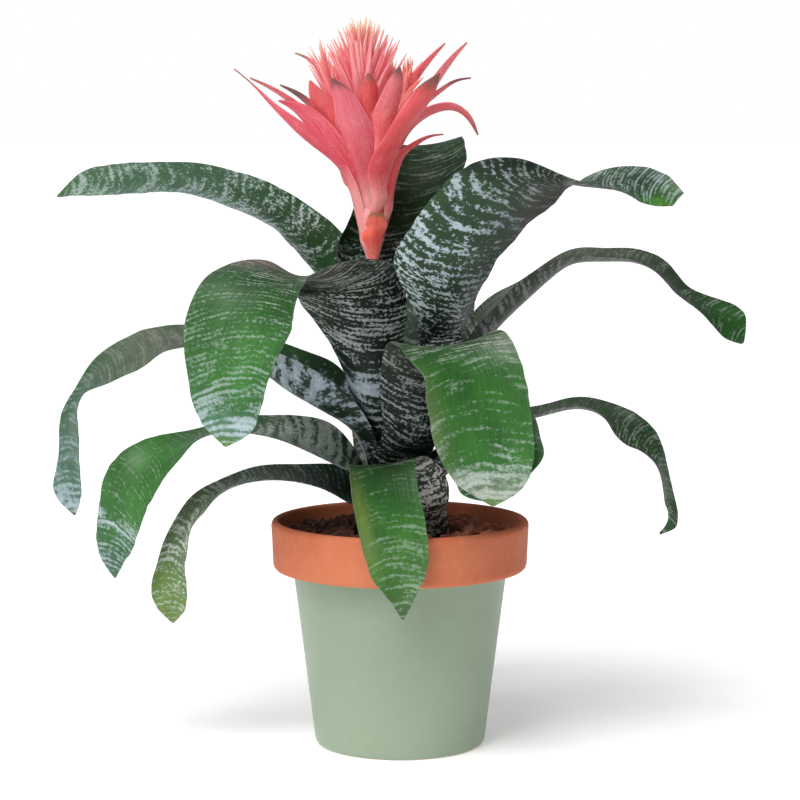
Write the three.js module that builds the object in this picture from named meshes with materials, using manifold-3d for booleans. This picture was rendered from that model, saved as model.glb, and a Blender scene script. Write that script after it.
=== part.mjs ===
// Potted bromeliad: a vase plant (silver-banded strap leaves in a funnel rosette,
// pink bract head on a short stalk) growing in a two-tone clay pot.
// Millimetres, +Z up, origin at the centre of the pot's flat underside.
import * as THREE from 'three';
import Module from 'manifold-3d';

// ---- driving dimensions (mm) ----
const POT_HEIGHT = 145.2;          // underside to rim crest
const POT_RIM_RADIUS = 82.5;       // outside of the rim band, at the top
const POT_RIM_BAND = 31.6;         // height of the thick rim band
const POT_MOUTH_RADIUS = 77.1;     // inside of the rim
const POT_SHOULDER_RADIUS = 68.7;  // outside of the body just below the band
const POT_BASE_RADIUS = 54.6;      // outside of the body near the floor
const POT_FOOT_RADIUS = 51.2;      // edge of the flat underside
const POT_FLOOR = 7.5;             // floor thickness
const POT_DRAIN_RADIUS = 4.5;      // three drain holes
const POT_DRAIN_CIRCLE = 26.0;     // on this radius, so the middle stays solid
const POT_SEGMENTS = 36;
const SOIL_SEGMENTS = 28;
const SOIL_GAP = 0.45;             // soil stands off the clay by this much
const SOIL_EDGE_Z = 134.6;         // soil level along the wall
const SOIL_CENTRE_Z = 138.6;       // soil level at the foot of the plant
const PLANT_X = 4.0;               // the rosette stands a little off centre
const TUBE_POCKET_RADIUS = 33.4;   // hole in the soil that takes the leaf bases
const CROWN_RADIUS = 32.7;         // rootstock disc under the leaf bases
const CROWN_TOP_Z = 127.4;
const CROWN_UNDER_Z = 121.6;
const ROOT_TIP_Z = 103.0;
const LEAF_THICKNESS = 0.9;
const BRACT_THICKNESS = 0.8;
const BRACT_CLEARANCE = 0.34;      // kept between neighbouring bracts
const STALK_RADIUS = 3.3;          // inside the leaf tube
const STALK_NECK_RADIUS = 2.3;     // where the bracts stand on it
const STALK_TOP_Z = 361.5;

// Nets of surface points, one row per station from base to tip, seven points from
// one margin over the midrib to the other. Each point is x,y,z in mm.
const LEAVES = {
  leaf_back_upper: [
    [-3,4.1,128, -1,6.5,128, 1.8,7.9,128, 4.9,8.2,128, 7.8,7.2,128, 10.2,5.3,128, 11.7,2.6,128],
    [-9.7,5.5,174.2, -7.4,7.9,174.5, -4.3,9.3,174.9, -0.9,9.6,175.4, 2.3,8.6,175.8, 5,6.6,176.2, 6.8,3.7,176.4],
    [-15.3,9.1,221.6, -12.6,10.5,221.9, -9.8,11.1,222.3, -7,11.1,222.7, -4.2,10.5,223, -1.6,9.3,223.4, 0.7,7.4,223.7],
    [-20.2,5.8,250.1, -18,8.8,250.4, -14.7,10.7,250.8, -10.9,11.1,251.3, -7.1,10,251.8, -4.2,7.5,252.2, -2.6,4.2,252.4],
    [-24.9,-7.3,281, -27.5,1,280.6, -23.7,8.8,281.1, -15.5,11.7,282.2, -7.6,8.1,283.3, -4.4,0,283.7, -7.7,-8.1,283.2],
    [-34.9,-5.2,303.7, -35.1,5.4,303.7, -28.7,14,304.6, -18.4,17,306, -8.4,13,307.3, -2.9,3.8,308, -4,-6.8,307.8],
    [-37.3,10.9,323.9, -32.1,19.6,323.1, -23.6,25.2,322.9, -13.5,26.9,323.4, -3.7,24.3,324.3, 4.1,18,325.5, 8.5,9.1,326.8],
    [-28.4,32,348, -19.8,37.2,344.7, -10,40.4,342.7, 0.5,41.5,342.1, 10.9,40.5,343.1, 20.6,37.3,345.5, 29.1,32.1,349.2],
    [-21.6,50.3,367.7, -11.1,52.9,365.3, -0.1,54.6,364.1, 11,55.1,364.1, 22,54.5,365.4, 32.8,52.8,367.9, 42.9,50.1,371.5],
    [-14.2,61,381.6, -5,65,380, 4.5,68.8,379.3, 14.1,72.2,379.6, 23.7,75.2,381, 33.2,77.9,383.3, 42.6,80.1,386.6],
    [-9.5,75.8,384.2, -1.4,80.9,382.7, 6.6,86.2,381.9, 14.6,91.7,381.8, 22.5,97.3,382.6, 30.1,103,384.1, 37.5,108.8,386.3],
    [-7.9,98.6,372.9, -0.2,103.1,371.9, 7.3,108,371.4, 14.4,113.4,371.3, 21.3,119.2,371.7, 27.8,125.3,372.5, 33.9,131.7,373.8],
    [-6.2,117.5,349.6, 0.9,121.3,349, 7.7,125.7,348.7, 14.1,130.6,348.7, 20.2,135.9,348.9, 25.7,141.7,349.4, 30.8,148,350.2],
    [-2.1,131.4,318.8, 3.3,134.1,318.5, 8.6,137.4,318.3, 13.5,141,318.2, 18.1,145,318.2, 22.4,149.4,318.3, 26.3,154.2,318.5],
    [12.5,146.3,289.3, 12.7,146.5,289.3, 12.9,146.8,289.3, 13.2,147,289.3, 13.4,147.2,289.3, 13.6,147.5,289.3, 13.9,147.7,289.2],
  ],
  leaf_right_upper: [
    [12.7,4.6,128, 13.8,1,128, 13.5,-2.7,128, 11.8,-6.1,128, 8.9,-8.5,128, 5.4,-9.7,128, 1.7,-9.5,128],
    [8.1,5.3,175.5, 9.3,1.2,175.6, 8.9,-3.1,175.6, 7,-6.9,175.3, 3.7,-9.7,174.9, -0.3,-11.1,174.4, -4.6,-10.9,173.8],
    [3,7.3,212.4, 4.6,2.6,212.6, 4.4,-2.4,212.5, 2.3,-6.9,212.3, -1.2,-10.3,211.8, -5.7,-12,211.2, -10.6,-12,210.6],
    [12,-9.8,235, 10.6,-11.9,235.2, 8.2,-13.5,235.1, 5.2,-14.2,234.7, 1.8,-13.8,234.2, -1.6,-12.2,233.5, -4.3,-9.3,232.7],
    [30,-37.1,251.7, 23.8,-35.2,251.8, 18.2,-31.8,251.7, 13.6,-27,251.3, 10.4,-21,250.8, 8.8,-14.3,250.2, 9.1,-7.3,249.4],
    [39,-29.3,266.8, 35.2,-32.9,266.3, 30.6,-35.4,266, 25.6,-36.7,266.2, 20.5,-36.6,266.7, 15.7,-35.2,267.5, 11.6,-32.6,268.6],
    [43.7,-23.7,280.9, 40.8,-31.9,280.1, 36.2,-39.2,280.2, 30.1,-45.4,281.2, 22.8,-49.9,283.1, 15,-52.6,285.8, 6.9,-53.2,289],
    [50.3,-43.2,296.8, 42.6,-49.5,296.3, 33.9,-54.5,296.7, 24.5,-57.8,298.3, 14.9,-59.4,300.7, 5.4,-59.2,304.1, -3.6,-57.2,308.2],
    [59.8,-54.4,313.7, 50.7,-59.1,315.1, 41,-62.2,317, 31.1,-63.8,319.3, 21.2,-63.7,322, 11.4,-62,324.9, 2.2,-58.7,328.1],
    [76,-50.6,332.5, 67.8,-56.2,335.4, 59.2,-60.7,338.8, 50.2,-64,342.6, 40.9,-66,346.8, 31.7,-66.7,351.3, 22.5,-66.2,356],
    [95.5,-51.6,349.8, 88.3,-57.7,352.6, 80.9,-63.2,355.9, 73.2,-68,360, 65.5,-72,364.5, 57.7,-75.1,369.7, 50,-77.5,375.3],
    [106.1,-46.9,359.3, 101.8,-54.4,359.8, 97.5,-61.9,361, 93.3,-69.2,363.1, 89.1,-76.3,365.9, 85.2,-83.2,369.4, 81.3,-89.8,373.6],
    [123.9,-49.6,367.6, 123.3,-55.8,364.2, 122.8,-62.4,361.6, 122.2,-69.3,359.8, 121.6,-76.3,358.8, 121,-83.4,358.7, 120.5,-90.5,359.4],
    [153.1,-54.5,370.4, 151,-58.2,366.1, 149,-62.5,362.2, 147.2,-67.1,358.7, 145.6,-72.2,355.6, 144.2,-77.6,353, 143,-83.2,351],
    [172.3,-66,355.2, 171,-65.8,353.9, 169.8,-65.8,352.6, 168.6,-65.7,351.3, 167.4,-65.8,350, 166.3,-65.8,348.6, 165.1,-66,347.3],
  ],
  leaf_left_upper: [
    [-5.6,-6.4,128, -7.3,-2.4,128, -7.3,2,128, -5.8,6.1,128, -2.8,9.3,128, 1.2,11.1,128, 5.5,11.3,128],
    [-12.7,-5.8,170.7, -14,-1.6,170.5, -13.8,2.7,170.6, -12.2,6.8,170.8, -9.3,10,171.2, -5.4,12.1,171.7, -1.2,12.7,172.2],
    [-19.8,-4.6,210, -20.4,-0.7,210, -19.9,3.3,210, -18.3,6.9,210.2, -15.7,10,210.5, -12.4,12.1,210.9, -8.5,13.2,211.4],
    [-23.5,-3,235.8, -24.5,1.4,235.8, -24.1,5.8,235.9, -22.6,9.9,236.2, -19.9,13.4,236.7, -16.3,16,237.2, -12.1,17.5,237.7],
    [-25.6,0.1,263.1, -28.2,6.3,263.4, -28.9,12.7,263.8, -27.5,18.8,264.5, -24.2,24.1,265.4, -19.3,28.1,266.3, -13.3,30.3,267.1],
    [-34.4,7,285.7, -35.8,14.4,285.3, -35.2,22,285.7, -32.6,29.1,286.9, -28.2,35,288.7, -22.4,39.4,291, -15.7,41.9,293.6],
    [-49.9,15.6,299.5, -47.6,23.3,298.2, -43.9,30.5,298.4, -39.2,37,299.9, -33.7,42.3,302.7, -27.8,46.1,306.7, -21.6,48.3,311.5],
    [-65.4,18.7,314.8, -62.9,26.6,314.2, -59.4,34.1,314.7, -55.1,41.1,316.1, -50.1,47.3,318.6, -44.6,52.5,321.9, -38.7,56.6,326.1],
    [-81,21.6,329.6, -79.1,29.7,330.1, -76.7,37.5,331.6, -73.8,45,333.9, -70.5,52,337, -66.8,58.3,340.9, -62.8,64,345.5],
    [-101.2,25.4,340.6, -99.9,33.3,341.8, -98.3,40.9,343.8, -96.5,48.3,346.6, -94.4,55.4,350, -92,62,354, -89.5,68.1,358.7],
    [-126.3,30,349.1, -125.7,37.6,350.7, -124.9,44.9,353, -124,52,356, -123.1,58.8,359.7, -122,65.1,364, -120.8,71,368.9],
    [-150.5,34.8,353.4, -150.3,41.7,355.1, -150,48.4,357.3, -149.7,54.9,360.2, -149.5,61.1,363.6, -149.2,67,367.5, -148.9,72.5,372],
    [-178.9,40.7,352.2, -179,46.2,354.5, -179.1,51.5,357.2, -179.3,56.6,360.2, -179.5,61.4,363.6, -179.7,66,367.4, -180,70.3,371.5],
    [-205,46.7,350.3, -205,50.5,352.6, -205.1,54.2,355.1, -205.2,57.6,357.9, -205.4,61,360.8, -205.7,64.1,363.9, -205.9,67.1,367.2],
    [-224.4,56.2,349.2, -224.3,56.5,349.5, -224.3,56.8,349.7, -224.3,57,349.9, -224.2,57.3,350.1, -224.2,57.5,350.3, -224.2,57.8,350.5],
  ],
  leaf_front_left: [
    [12,-10.3,128, 7.5,-12.6,128, 2.6,-13.1,128, -2.2,-11.6,128, -6,-8.5,128, -8.5,-4.1,128, -9.1,0.9,128],
    [7.1,-11.4,174.8, 2.2,-13.9,174.2, -3.2,-14.4,173.5, -8.4,-12.8,172.8, -12.7,-9.4,172.2, -15.3,-4.6,171.9, -16.1,0.9,171.8],
    [2.6,-15.3,206.7, -2.4,-17.3,205.8, -7.8,-17.5,204.9, -12.9,-15.8,204.1, -17.3,-12.6,203.4, -20.3,-8,203, -21.7,-2.7,202.8],
    [2.4,-29.6,234.8, -3.6,-31.8,232.3, -10,-32,230, -16.3,-30.2,228, -22,-26.5,226.7, -26.4,-21.4,226, -29.4,-15.2,226.1],
    [1.4,-38.3,261.3, -5.7,-41.6,258.4, -13.6,-42.5,255.8, -21.5,-41.1,253.8, -28.9,-37.3,252.6, -35,-31.7,252.2, -39.3,-24.5,252.8],
    [4.3,-37.6,283.2, -3.9,-43.5,280.1, -13.6,-47.2,277.6, -24,-48.4,275.9, -34.5,-47.1,275, -44.4,-43.2,275, -53.2,-37.2,275.9],
    [0.3,-36.8,303.1, -8,-43.7,298.3, -17.6,-49.3,294.3, -28.2,-53.3,291.3, -39.6,-55.6,289.4, -51.2,-56.3,288.7, -62.9,-55.2,289.1],
    [-10,-68.2,313.2, -18.3,-66.7,306.6, -27.3,-64.2,301.3, -36.7,-60.7,297.3, -46.3,-56.2,294.8, -55.8,-50.8,293.8, -65.2,-44.7,294.3],
    [-28.9,-97.1,315.6, -35.7,-89.1,309.9, -42.6,-80.4,305.6, -49.4,-71.1,302.7, -56.2,-61.4,301.4, -62.7,-51.4,301.7, -68.8,-41.4,303.5],
    [-54.4,-113.9,307.1, -58.7,-103.2,304.6, -63.4,-92.5,303.6, -68.4,-81.8,304.1, -73.6,-71.4,306, -78.9,-61.5,309.4, -84.2,-52.2,314.2],
    [-61.8,-113.7,291, -68.2,-104.2,291.8, -75.3,-95.4,293.6, -83,-87.5,296.4, -91.2,-80.5,300.1, -99.9,-74.7,304.7, -108.8,-70,310.1],
    [-67.8,-109,268.7, -76.8,-102.6,270.6, -86.4,-97.3,272.9, -96.4,-93,275.6, -106.8,-89.9,278.5, -117.3,-87.8,281.7, -128,-87,285.1],
    [-77.5,-113.8,247.4, -85.1,-107.6,248.7, -93.2,-102.2,250.1, -101.8,-97.5,251.7, -110.7,-93.6,253.4, -119.9,-90.5,255.3, -129.3,-88.3,257.3],
    [-85,-113.2,221.2, -90.7,-109,222.1, -96.6,-105.2,223, -102.9,-101.8,224, -109.3,-98.8,225.1, -115.9,-96.4,226.1, -122.7,-94.3,227.2],
    [-103.9,-105.7,205, -104.2,-105.5,205, -104.4,-105.2,205.1, -104.6,-105,205.2, -104.8,-104.8,205.2, -105,-104.5,205.3, -105.2,-104.3,205.4],
  ],
  leaf_right_middle: [
    [7.7,14.3,128, 12.5,12.2,128, 16.2,8.4,128, 18.4,3.6,128, 18.7,-1.7,128, 17.2,-6.8,128, 14,-11,128],
    [4.9,14.8,169.6, 9.1,12.3,170.2, 12.3,8.5,170.6, 14.3,3.9,170.8, 14.7,-1.1,170.9, 13.6,-5.9,170.7, 11.1,-10.2,170.4],
    [2.5,14.9,200.1, 6.3,12.1,200.7, 9.1,8.4,201.1, 10.9,4.1,201.3, 11.4,-0.6,201.4, 10.6,-5.2,201.3, 8.7,-9.4,201],
    [11.5,18.5,220.4, 15.9,15.2,219.7, 19,10.6,219.2, 20.5,5.2,219, 20.3,-0.4,219.1, 18.4,-5.5,219.5, 15.1,-9.7,220.1],
    [30.5,25,243.9, 36.2,21,240.9, 39.9,14.8,238.4, 41.1,7.3,237, 39.4,-0.2,236.9, 35.3,-6.5,238, 29.4,-10.5,240.3],
    [43.8,26.1,270.7, 49.6,22.8,265.4, 53.1,16.9,260.4, 53.7,9.4,256.6, 51.3,1.5,254.7, 46.3,-5.4,254.8, 39.5,-10.1,257.1],
    [61.5,28.9,287.3, 65.3,24.9,280.8, 67.3,18.5,275.6, 67.3,10.6,272.5, 65.2,2.4,271.8, 61.4,-4.9,273.8, 56.4,-10.3,278.2],
    [83.3,30.3,300.2, 85.9,24.5,295.4, 87.2,17.3,292.2, 86.9,9.5,291, 85.2,1.7,291.9, 82.2,-5,294.7, 78.2,-10.2,299.2],
    [107.7,30,315, 108.1,23.9,311, 108,17.1,308.4, 107.2,9.9,307.3, 105.9,2.7,307.9, 104.2,-4.1,310, 102.1,-10.1,313.5],
    [131.9,27.6,316.8, 131.2,21.8,313.5, 130.5,15.5,311.3, 129.8,9,310.3, 129.1,2.3,310.5, 128.5,-4.2,311.9, 128,-10.4,314.4],
    [157.3,24.8,316.1, 155.9,19.5,313.1, 154.6,13.8,310.9, 153.6,7.9,309.5, 152.7,1.8,308.9, 152.1,-4.4,309.1, 151.7,-10.5,310.2],
    [175.8,22.2,302.8, 173.3,17.1,301, 171.2,11.8,299.6, 169.5,6.2,298.6, 168.3,0.5,298.1, 167.5,-5.4,298, 167.1,-11.3,298.4],
    [195.1,18.5,289.1, 192.8,14,287.2, 190.8,9.4,285.6, 189,4.5,284.3, 187.5,-0.6,283.5, 186.2,-5.7,283, 185.2,-10.9,283],
    [215.2,10.5,279, 212.9,8.3,276.2, 210.7,5.8,273.6, 208.6,3.1,271.1, 206.6,0.2,268.7, 204.7,-2.9,266.6, 202.9,-6.2,264.6],
    [219.3,2,258, 219,2,257.9, 218.7,2,257.8, 218.4,2,257.7, 218.1,2,257.6, 217.7,2,257.5, 217.4,2,257.4],
  ],
  leaf_left_middle: [
    [-3.8,-14.5,128, -8.7,-10.6,128, -11.7,-5.1,128, -12.4,1.1,128, -10.8,7.2,128, -7.1,12.2,128, -1.7,15.4,128],
    [-9.4,-15.6,169.4, -14.6,-11.3,168.7, -17.8,-5.4,168.3, -18.6,1.2,168.2, -16.9,7.7,168.4, -12.9,13.1,169, -7.2,16.6,169.7],
    [-14.2,-18.7,196.2, -20.2,-14.5,195.7, -24.2,-8.4,195.4, -25.6,-1.3,195.3, -24.2,5.9,195.5, -20.2,12,195.9, -14.1,16.2,196.6],
    [-22.9,-23.9,215.7, -30.8,-20.6,212.7, -36.5,-13.7,210.6, -38.7,-4.7,210.1, -37,4.3,211.2, -31.8,11.4,213.7, -24.2,15,217],
    [-42,-25.8,235.5, -49.4,-22.7,226.9, -54.5,-13.9,221, -55.6,-2.1,219.8, -52.2,8.5,223.7, -45.6,14.5,231.5, -37.9,13.8,240.4],
    [-70.5,-28,251.8, -74.1,-24.7,241.7, -75.7,-16.4,234.4, -74.8,-5.5,231.9, -71.7,4.8,235, -67.2,11.5,242.8, -62.7,12.6,253.1],
    [-95.8,-32.7,259.6, -96.7,-26.3,253.3, -96.9,-18.1,249.4, -96.3,-9,248.4, -95.1,-0.2,250.5, -93.4,7.3,255.2, -91.4,12.7,262.2],
    [-118.4,-33.5,260.7, -118.6,-26.3,258.5, -118.8,-18.8,257.5, -118.8,-11.3,257.9, -118.7,-3.9,259.7, -118.6,3,262.7, -118.4,9.2,266.9],
    [-143.4,-32.7,256.5, -144.1,-26,257, -144.9,-19.5,258.2, -145.9,-13.1,260, -147,-6.9,262.5, -148.2,-1.1,265.5, -149.4,4.4,269.2],
    [-164,-30.8,244.8, -165.3,-25.4,246.7, -166.7,-20.1,249, -168.3,-15,251.6, -170.1,-10.2,254.6, -172,-5.7,257.9, -174,-1.4,261.5],
    [-186,-31.1,235, -187.1,-26.3,236.3, -188.4,-21.7,238, -189.9,-17.2,240, -191.5,-12.9,242.2, -193.3,-8.9,244.7, -195.3,-5.1,247.5],
    [-200.3,-32.9,225, -200.8,-28.5,224.7, -201.6,-24.1,224.6, -202.8,-19.8,224.6, -204.2,-15.5,224.7, -205.9,-11.4,225, -207.8,-7.4,225.4],
    [-202.1,-31.9,201.4, -203.8,-28.3,201.4, -205.7,-24.7,201.3, -207.8,-21.3,201.3, -210.1,-18,201.4, -212.7,-14.9,201.4, -215.4,-11.9,201.4],
    [-200.9,-29.7,170.3, -203.5,-27.3,170.3, -206.2,-24.9,170.3, -209,-22.8,170.3, -211.9,-20.8,170.4, -215,-19,170.4, -218.1,-17.4,170.5],
    [-205,-24.6,151.3, -205.2,-24.4,151.3, -205.5,-24.2,151.3, -205.7,-24,151.3, -205.9,-23.8,151.4, -206.1,-23.6,151.4, -206.4,-23.4,151.4],
  ],
  leaf_back_right: [
    [-7.4,13.8,128, -1.5,17.2,128, 5.3,18,128, 11.9,16.3,128, 17.4,12.1,128, 21,6.2,128, 22.1,-0.6,128],
    [-12,15.4,163.3, -5.8,18.5,164.1, 1.1,19.1,165, 7.7,17.3,165.9, 13.3,13.2,166.6, 17.1,7.3,167.1, 18.5,0.5,167.3],
    [-13.8,18.3,189.3, -7.7,20.6,190, -1.3,20.8,190.9, 5,18.8,191.7, 10.2,14.9,192.4, 14,9.5,192.9, 15.8,3.2,193.2],
    [-10.3,32.2,206.8, -4.8,32.3,207.1, 0.8,30.8,207.7, 5.8,27.9,208.3, 10.1,23.6,209, 13,18.2,209.6, 14.5,12.3,210.3],
    [-3.9,55.6,229.7, 1.1,52.6,229.3, 5.5,48.8,229.3, 9.4,44.3,229.6, 12.4,39.2,230.3, 14.6,33.7,231.3, 15.7,28,232.6],
    [-1.5,70.4,251.7, 4.4,67.1,250.7, 9.8,62.9,250.3, 14.7,58.1,250.4, 18.9,52.7,251.1, 22.4,46.9,252.4, 24.9,40.8,254.3],
    [2.5,84.6,272.9, 9.7,81.6,270.9, 16.6,77.7,269.8, 23,72.9,269.5, 28.9,67.5,270, 34,61.6,271.5, 38.3,55.2,273.7],
    [5.3,97.8,284.5, 12.7,93.4,281.7, 20.1,88.6,280, 27.4,83.4,279.4, 34.6,78,279.9, 41.5,72.4,281.4, 48,66.7,284],
    [6.6,119.1,284.2, 13.4,113.4,282, 20.5,107.7,280.8, 27.7,102.1,280.4, 35.1,96.7,281, 42.5,91.4,282.5, 49.8,86.5,284.9],
    [7.3,138.1,276.6, 13.7,131.9,275.1, 20.5,126,274.3, 27.6,120.4,274.1, 35,115.2,274.5, 42.6,110.5,275.7, 50.4,106.3,277.4],
    [8.5,154.5,260, 14.6,148.2,259.3, 21.1,142.4,259, 28.1,137.1,259.1, 35.5,132.3,259.6, 43.1,128.1,260.6, 51,124.5,262],
    [10.1,165.2,239.2, 15.9,159.2,239, 22.1,153.6,239, 28.7,148.6,239.3, 35.7,144.1,239.9, 43,140.2,240.7, 50.6,136.9,241.7],
    [12.6,170.7,213.8, 17.9,165.4,213.9, 23.6,160.5,214.2, 29.7,156.1,214.5, 36,152.2,215, 42.6,148.8,215.6, 49.5,145.9,216.4],
    [17.7,170.3,188.5, 22.2,166.9,188.7, 26.9,163.7,188.9, 31.8,160.9,189.2, 36.9,158.3,189.6, 42.2,156.2,190, 47.6,154.4,190.4],
    [33.9,164.7,166.7, 34.1,164.5,166.8, 34.3,164.2,166.8, 34.6,164,166.8, 34.8,163.8,166.9, 35,163.5,166.9, 35.3,163.3,166.9],
  ],
  leaf_front_right: [
    [23.7,-0.1,128, 22.2,-7.5,128, 18.2,-13.7,128, 12,-18,128, 4.8,-19.7,128, -2.6,-18.5,128, -9,-14.6,128],
    [20.5,-0.1,163.9, 19,-7.8,163.7, 14.7,-14.5,163.1, 8.2,-19,162.3, 0.6,-20.7,161.3, -7.2,-19.5,160.2, -13.9,-15.4,159.4],
    [18.9,-1.1,185.4, 17.2,-9,185.1, 12.7,-15.8,184.5, 6,-20.4,183.6, -1.9,-22.2,182.6, -9.8,-20.9,181.7, -16.8,-16.7,180.9],
    [24.6,-13.7,196.1, 21.5,-20.8,194.9, 16.1,-26.7,193.9, 9.1,-30.7,193.3, 1.1,-32.3,193.2, -6.8,-31.2,193.5, -13.9,-27.7,194.4],
    [32.2,-28.7,207.3, 27.4,-35.2,205.2, 21,-40.4,204, 13.5,-43.8,203.7, 5.3,-45.3,204.5, -2.8,-44.6,206.2, -10.3,-41.9,208.7],
    [35,-32.2,225.6, 29.9,-39.7,223.8, 23,-45.8,222.8, 14.8,-50,222.5, 5.8,-52.2,223, -3.4,-52.1,224.3, -12.1,-49.7,226.3],
    [41.9,-38.5,248.4, 35.5,-45.8,245.3, 27.5,-51.9,243.1, 18.3,-56.4,242, 8.4,-59.1,241.9, -1.7,-59.8,243, -11.7,-58.7,245.1],
    [51.8,-52.1,265.5, 43.1,-57,261.3, 33.4,-61.1,258.4, 23.1,-64.2,256.7, 12.4,-66.4,256.3, 1.5,-67.4,257.3, -9.2,-67.3,259.6],
    [61.4,-70.4,271.8, 51,-71.5,267.4, 40.2,-72.7,264.3, 29.1,-74.2,262.5, 17.8,-75.8,262, 6.7,-77.5,262.9, -4.2,-79.3,265.2],
    [69.5,-79.6,263.7, 58.7,-80.3,260.5, 47.7,-81.8,258.2, 36.7,-84.3,256.8, 25.9,-87.6,256.3, 15.4,-91.7,256.7, 5.2,-96.6,258],
    [74.4,-85.3,248, 63.7,-86.6,246.5, 53,-89,245.5, 42.6,-92.2,245, 32.6,-96.4,245, 22.9,-101.4,245.5, 13.7,-107.2,246.4],
    [78.9,-92.7,225.9, 68,-93.1,225.4, 57.2,-94.6,225, 46.6,-97.2,224.9, 36.4,-100.8,224.9, 26.5,-105.3,225.2, 17.1,-110.8,225.7],
    [80.2,-97.7,201.4, 70.1,-97.8,201.1, 60.1,-98.8,201, 50.2,-100.8,201.1, 40.6,-103.7,201.3, 31.2,-107.5,201.6, 22.3,-112.1,202.1],
    [74.9,-100.7,180.7, 68,-101.5,180.8, 61.2,-102.8,181, 54.5,-104.7,181.3, 47.9,-107,181.7, 41.6,-109.9,182.1, 35.5,-113.2,182.6],
    [56.2,-107.2,169.6, 56,-107.5,169.6, 55.8,-107.7,169.7, 55.6,-108,169.7, 55.4,-108.3,169.7, 55.2,-108.5,169.8, 55,-108.8,169.8],
  ],
  leaf_back_left: [
    [-14.1,11.3,128, -10.3,15.9,128, -5.4,19.2,128, 0.3,21.1,128, 6.2,21.3,128, 12,19.8,128, 17.1,16.8,128],
    [-17.9,13.4,159.5, -14,17.5,160, -9.3,20.4,160.6, -4,22,161.3, 1.6,22.3,162, 7,21.2,162.7, 12,18.7,163.4],
    [-21.1,15.5,182.4, -17.7,19.4,182.6, -13.4,22.5,182.9, -8.4,24.5,183.4, -3.2,25.3,184, 2.2,24.8,184.6, 7.3,23,185.4],
    [-26.5,18.2,201.5, -24.8,23.9,200.3, -21.5,29,199.5, -17,33.2,199.1, -11.4,36.1,199.2, -5.3,37.4,199.8, 1,37.2,200.9],
    [-31.1,23.9,219.6, -30.1,31,217.2, -27.1,37.8,215.4, -22.5,43.8,214.4, -16.5,48.6,214.2, -9.6,51.7,215, -2.2,53,216.6],
    [-32.6,33.8,233.3, -29.8,41.1,230.5, -25.5,48,228.7, -20.1,54.1,227.8, -13.6,59.3,228, -6.4,63.3,229.1, 1.2,65.9,231.3],
    [-33,50.4,244.6, -28.1,56.9,241.6, -22.5,63.3,239.7, -16.4,69.3,238.8, -9.8,74.9,239.1, -3,80,240.5, 4,84.5,242.9],
    [-33.3,67.8,247.4, -27.1,73.6,244.7, -20.6,79.5,243, -14.1,85.6,242.3, -7.5,91.6,242.7, -1,97.6,244.1, 5.3,103.4,246.6],
    [-33.7,85.7,243.9, -26.6,90.8,241.7, -19.6,96.4,240.3, -12.8,102.3,239.8, -6.3,108.6,240.2, -0.1,115,241.4, 5.7,121.7,243.5],
    [-34.1,104.4,233.8, -26.6,109,232.1, -19.3,114.1,231.1, -12.4,119.8,230.6, -5.9,125.9,230.8, 0.2,132.4,231.6, 5.7,139.3,232.9],
    [-34.4,120.1,219.1, -26.8,124.1,217.8, -19.6,128.8,216.9, -12.6,133.9,216.4, -6.1,139.6,216.3, 0,145.7,216.6, 5.6,152.2,217.3],
    [-34.1,133.8,199, -26.8,137.3,198.1, -19.9,141.3,197.5, -13.2,145.9,197, -6.9,150.9,196.8, -1,156.4,196.9, 4.4,162.3,197.2],
    [-32.3,144.3,174.6, -25.9,147.3,174, -19.8,150.8,173.6, -13.9,154.7,173.2, -8.4,159.1,173, -3.2,163.8,172.9, 1.6,169,172.9],
    [-28,152.2,151.9, -23.4,154.4,151.6, -18.9,156.9,151.4, -14.6,159.7,151.2, -10.5,162.7,151, -6.6,166,150.9, -2.9,169.6,150.9],
    [-16.2,162.3,131.4, -16,162.5,131.4, -15.8,162.8,131.4, -15.5,163,131.3, -15.3,163.2,131.3, -15.1,163.5,131.3, -14.8,163.7,131.2],
  ],
  leaf_right_lower: [
    [18.7,17.8,128, 23.5,12.4,128, 26.4,5.7,128, 27,-1.6,128, 25.3,-8.7,128, 21.6,-15,128, 16.1,-19.7,128],
    [16.8,17.2,160.2, 20.9,11.7,160.7, 23.4,5.2,161.1, 23.9,-1.7,161.1, 22.4,-8.4,160.9, 19.1,-14.5,160.5, 14.2,-19.3,159.8],
    [18,15,178.7, 21.6,9.5,178.8, 23.6,3.2,178.8, 23.9,-3.4,178.8, 22.4,-9.9,178.8, 19.3,-15.7,178.8, 14.7,-20.4,178.8],
    [27.2,10.3,193, 30,4.7,191, 31.3,-1.7,189.8, 31.1,-8.3,189.4, 29.4,-14.7,190, 26.2,-20.3,191.3, 21.9,-24.8,193.4],
    [41.5,11.7,203.1, 42.7,6.8,198.8, 43.2,0.9,195.9, 42.9,-5.5,194.5, 41.9,-12,194.6, 40.2,-18.1,196.5, 38,-23.3,199.7],
    [63.5,13,211.8, 63.9,8.1,208.6, 63.8,2.7,206.3, 63.4,-3.1,205.2, 62.6,-8.9,205.3, 61.4,-14.6,206.6, 60,-19.7,209],
    [84.3,12.5,215.9, 84.3,7.4,213.4, 84.1,2.1,211.7, 83.7,-3.5,210.8, 83,-9.1,210.9, 82.2,-14.6,211.9, 81.2,-19.8,213.7],
    [104.4,10.1,220.8, 104.2,4.4,218.6, 103.9,-1.5,217.2, 103.5,-7.6,216.6, 102.9,-13.7,216.8, 102.2,-19.6,217.8, 101.4,-25.4,219.7],
    [121.9,10.5,221.7, 120.8,5,219.7, 119.9,-0.8,218.3, 119,-6.7,217.5, 118.2,-12.6,217.4, 117.6,-18.5,217.9, 117.1,-24.4,219],
    [144.4,9.9,215.2, 141.8,5.3,213, 139.4,0.5,211.1, 137.3,-4.6,209.6, 135.4,-9.8,208.5, 133.9,-15.2,207.8, 132.5,-20.7,207.5],
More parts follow.
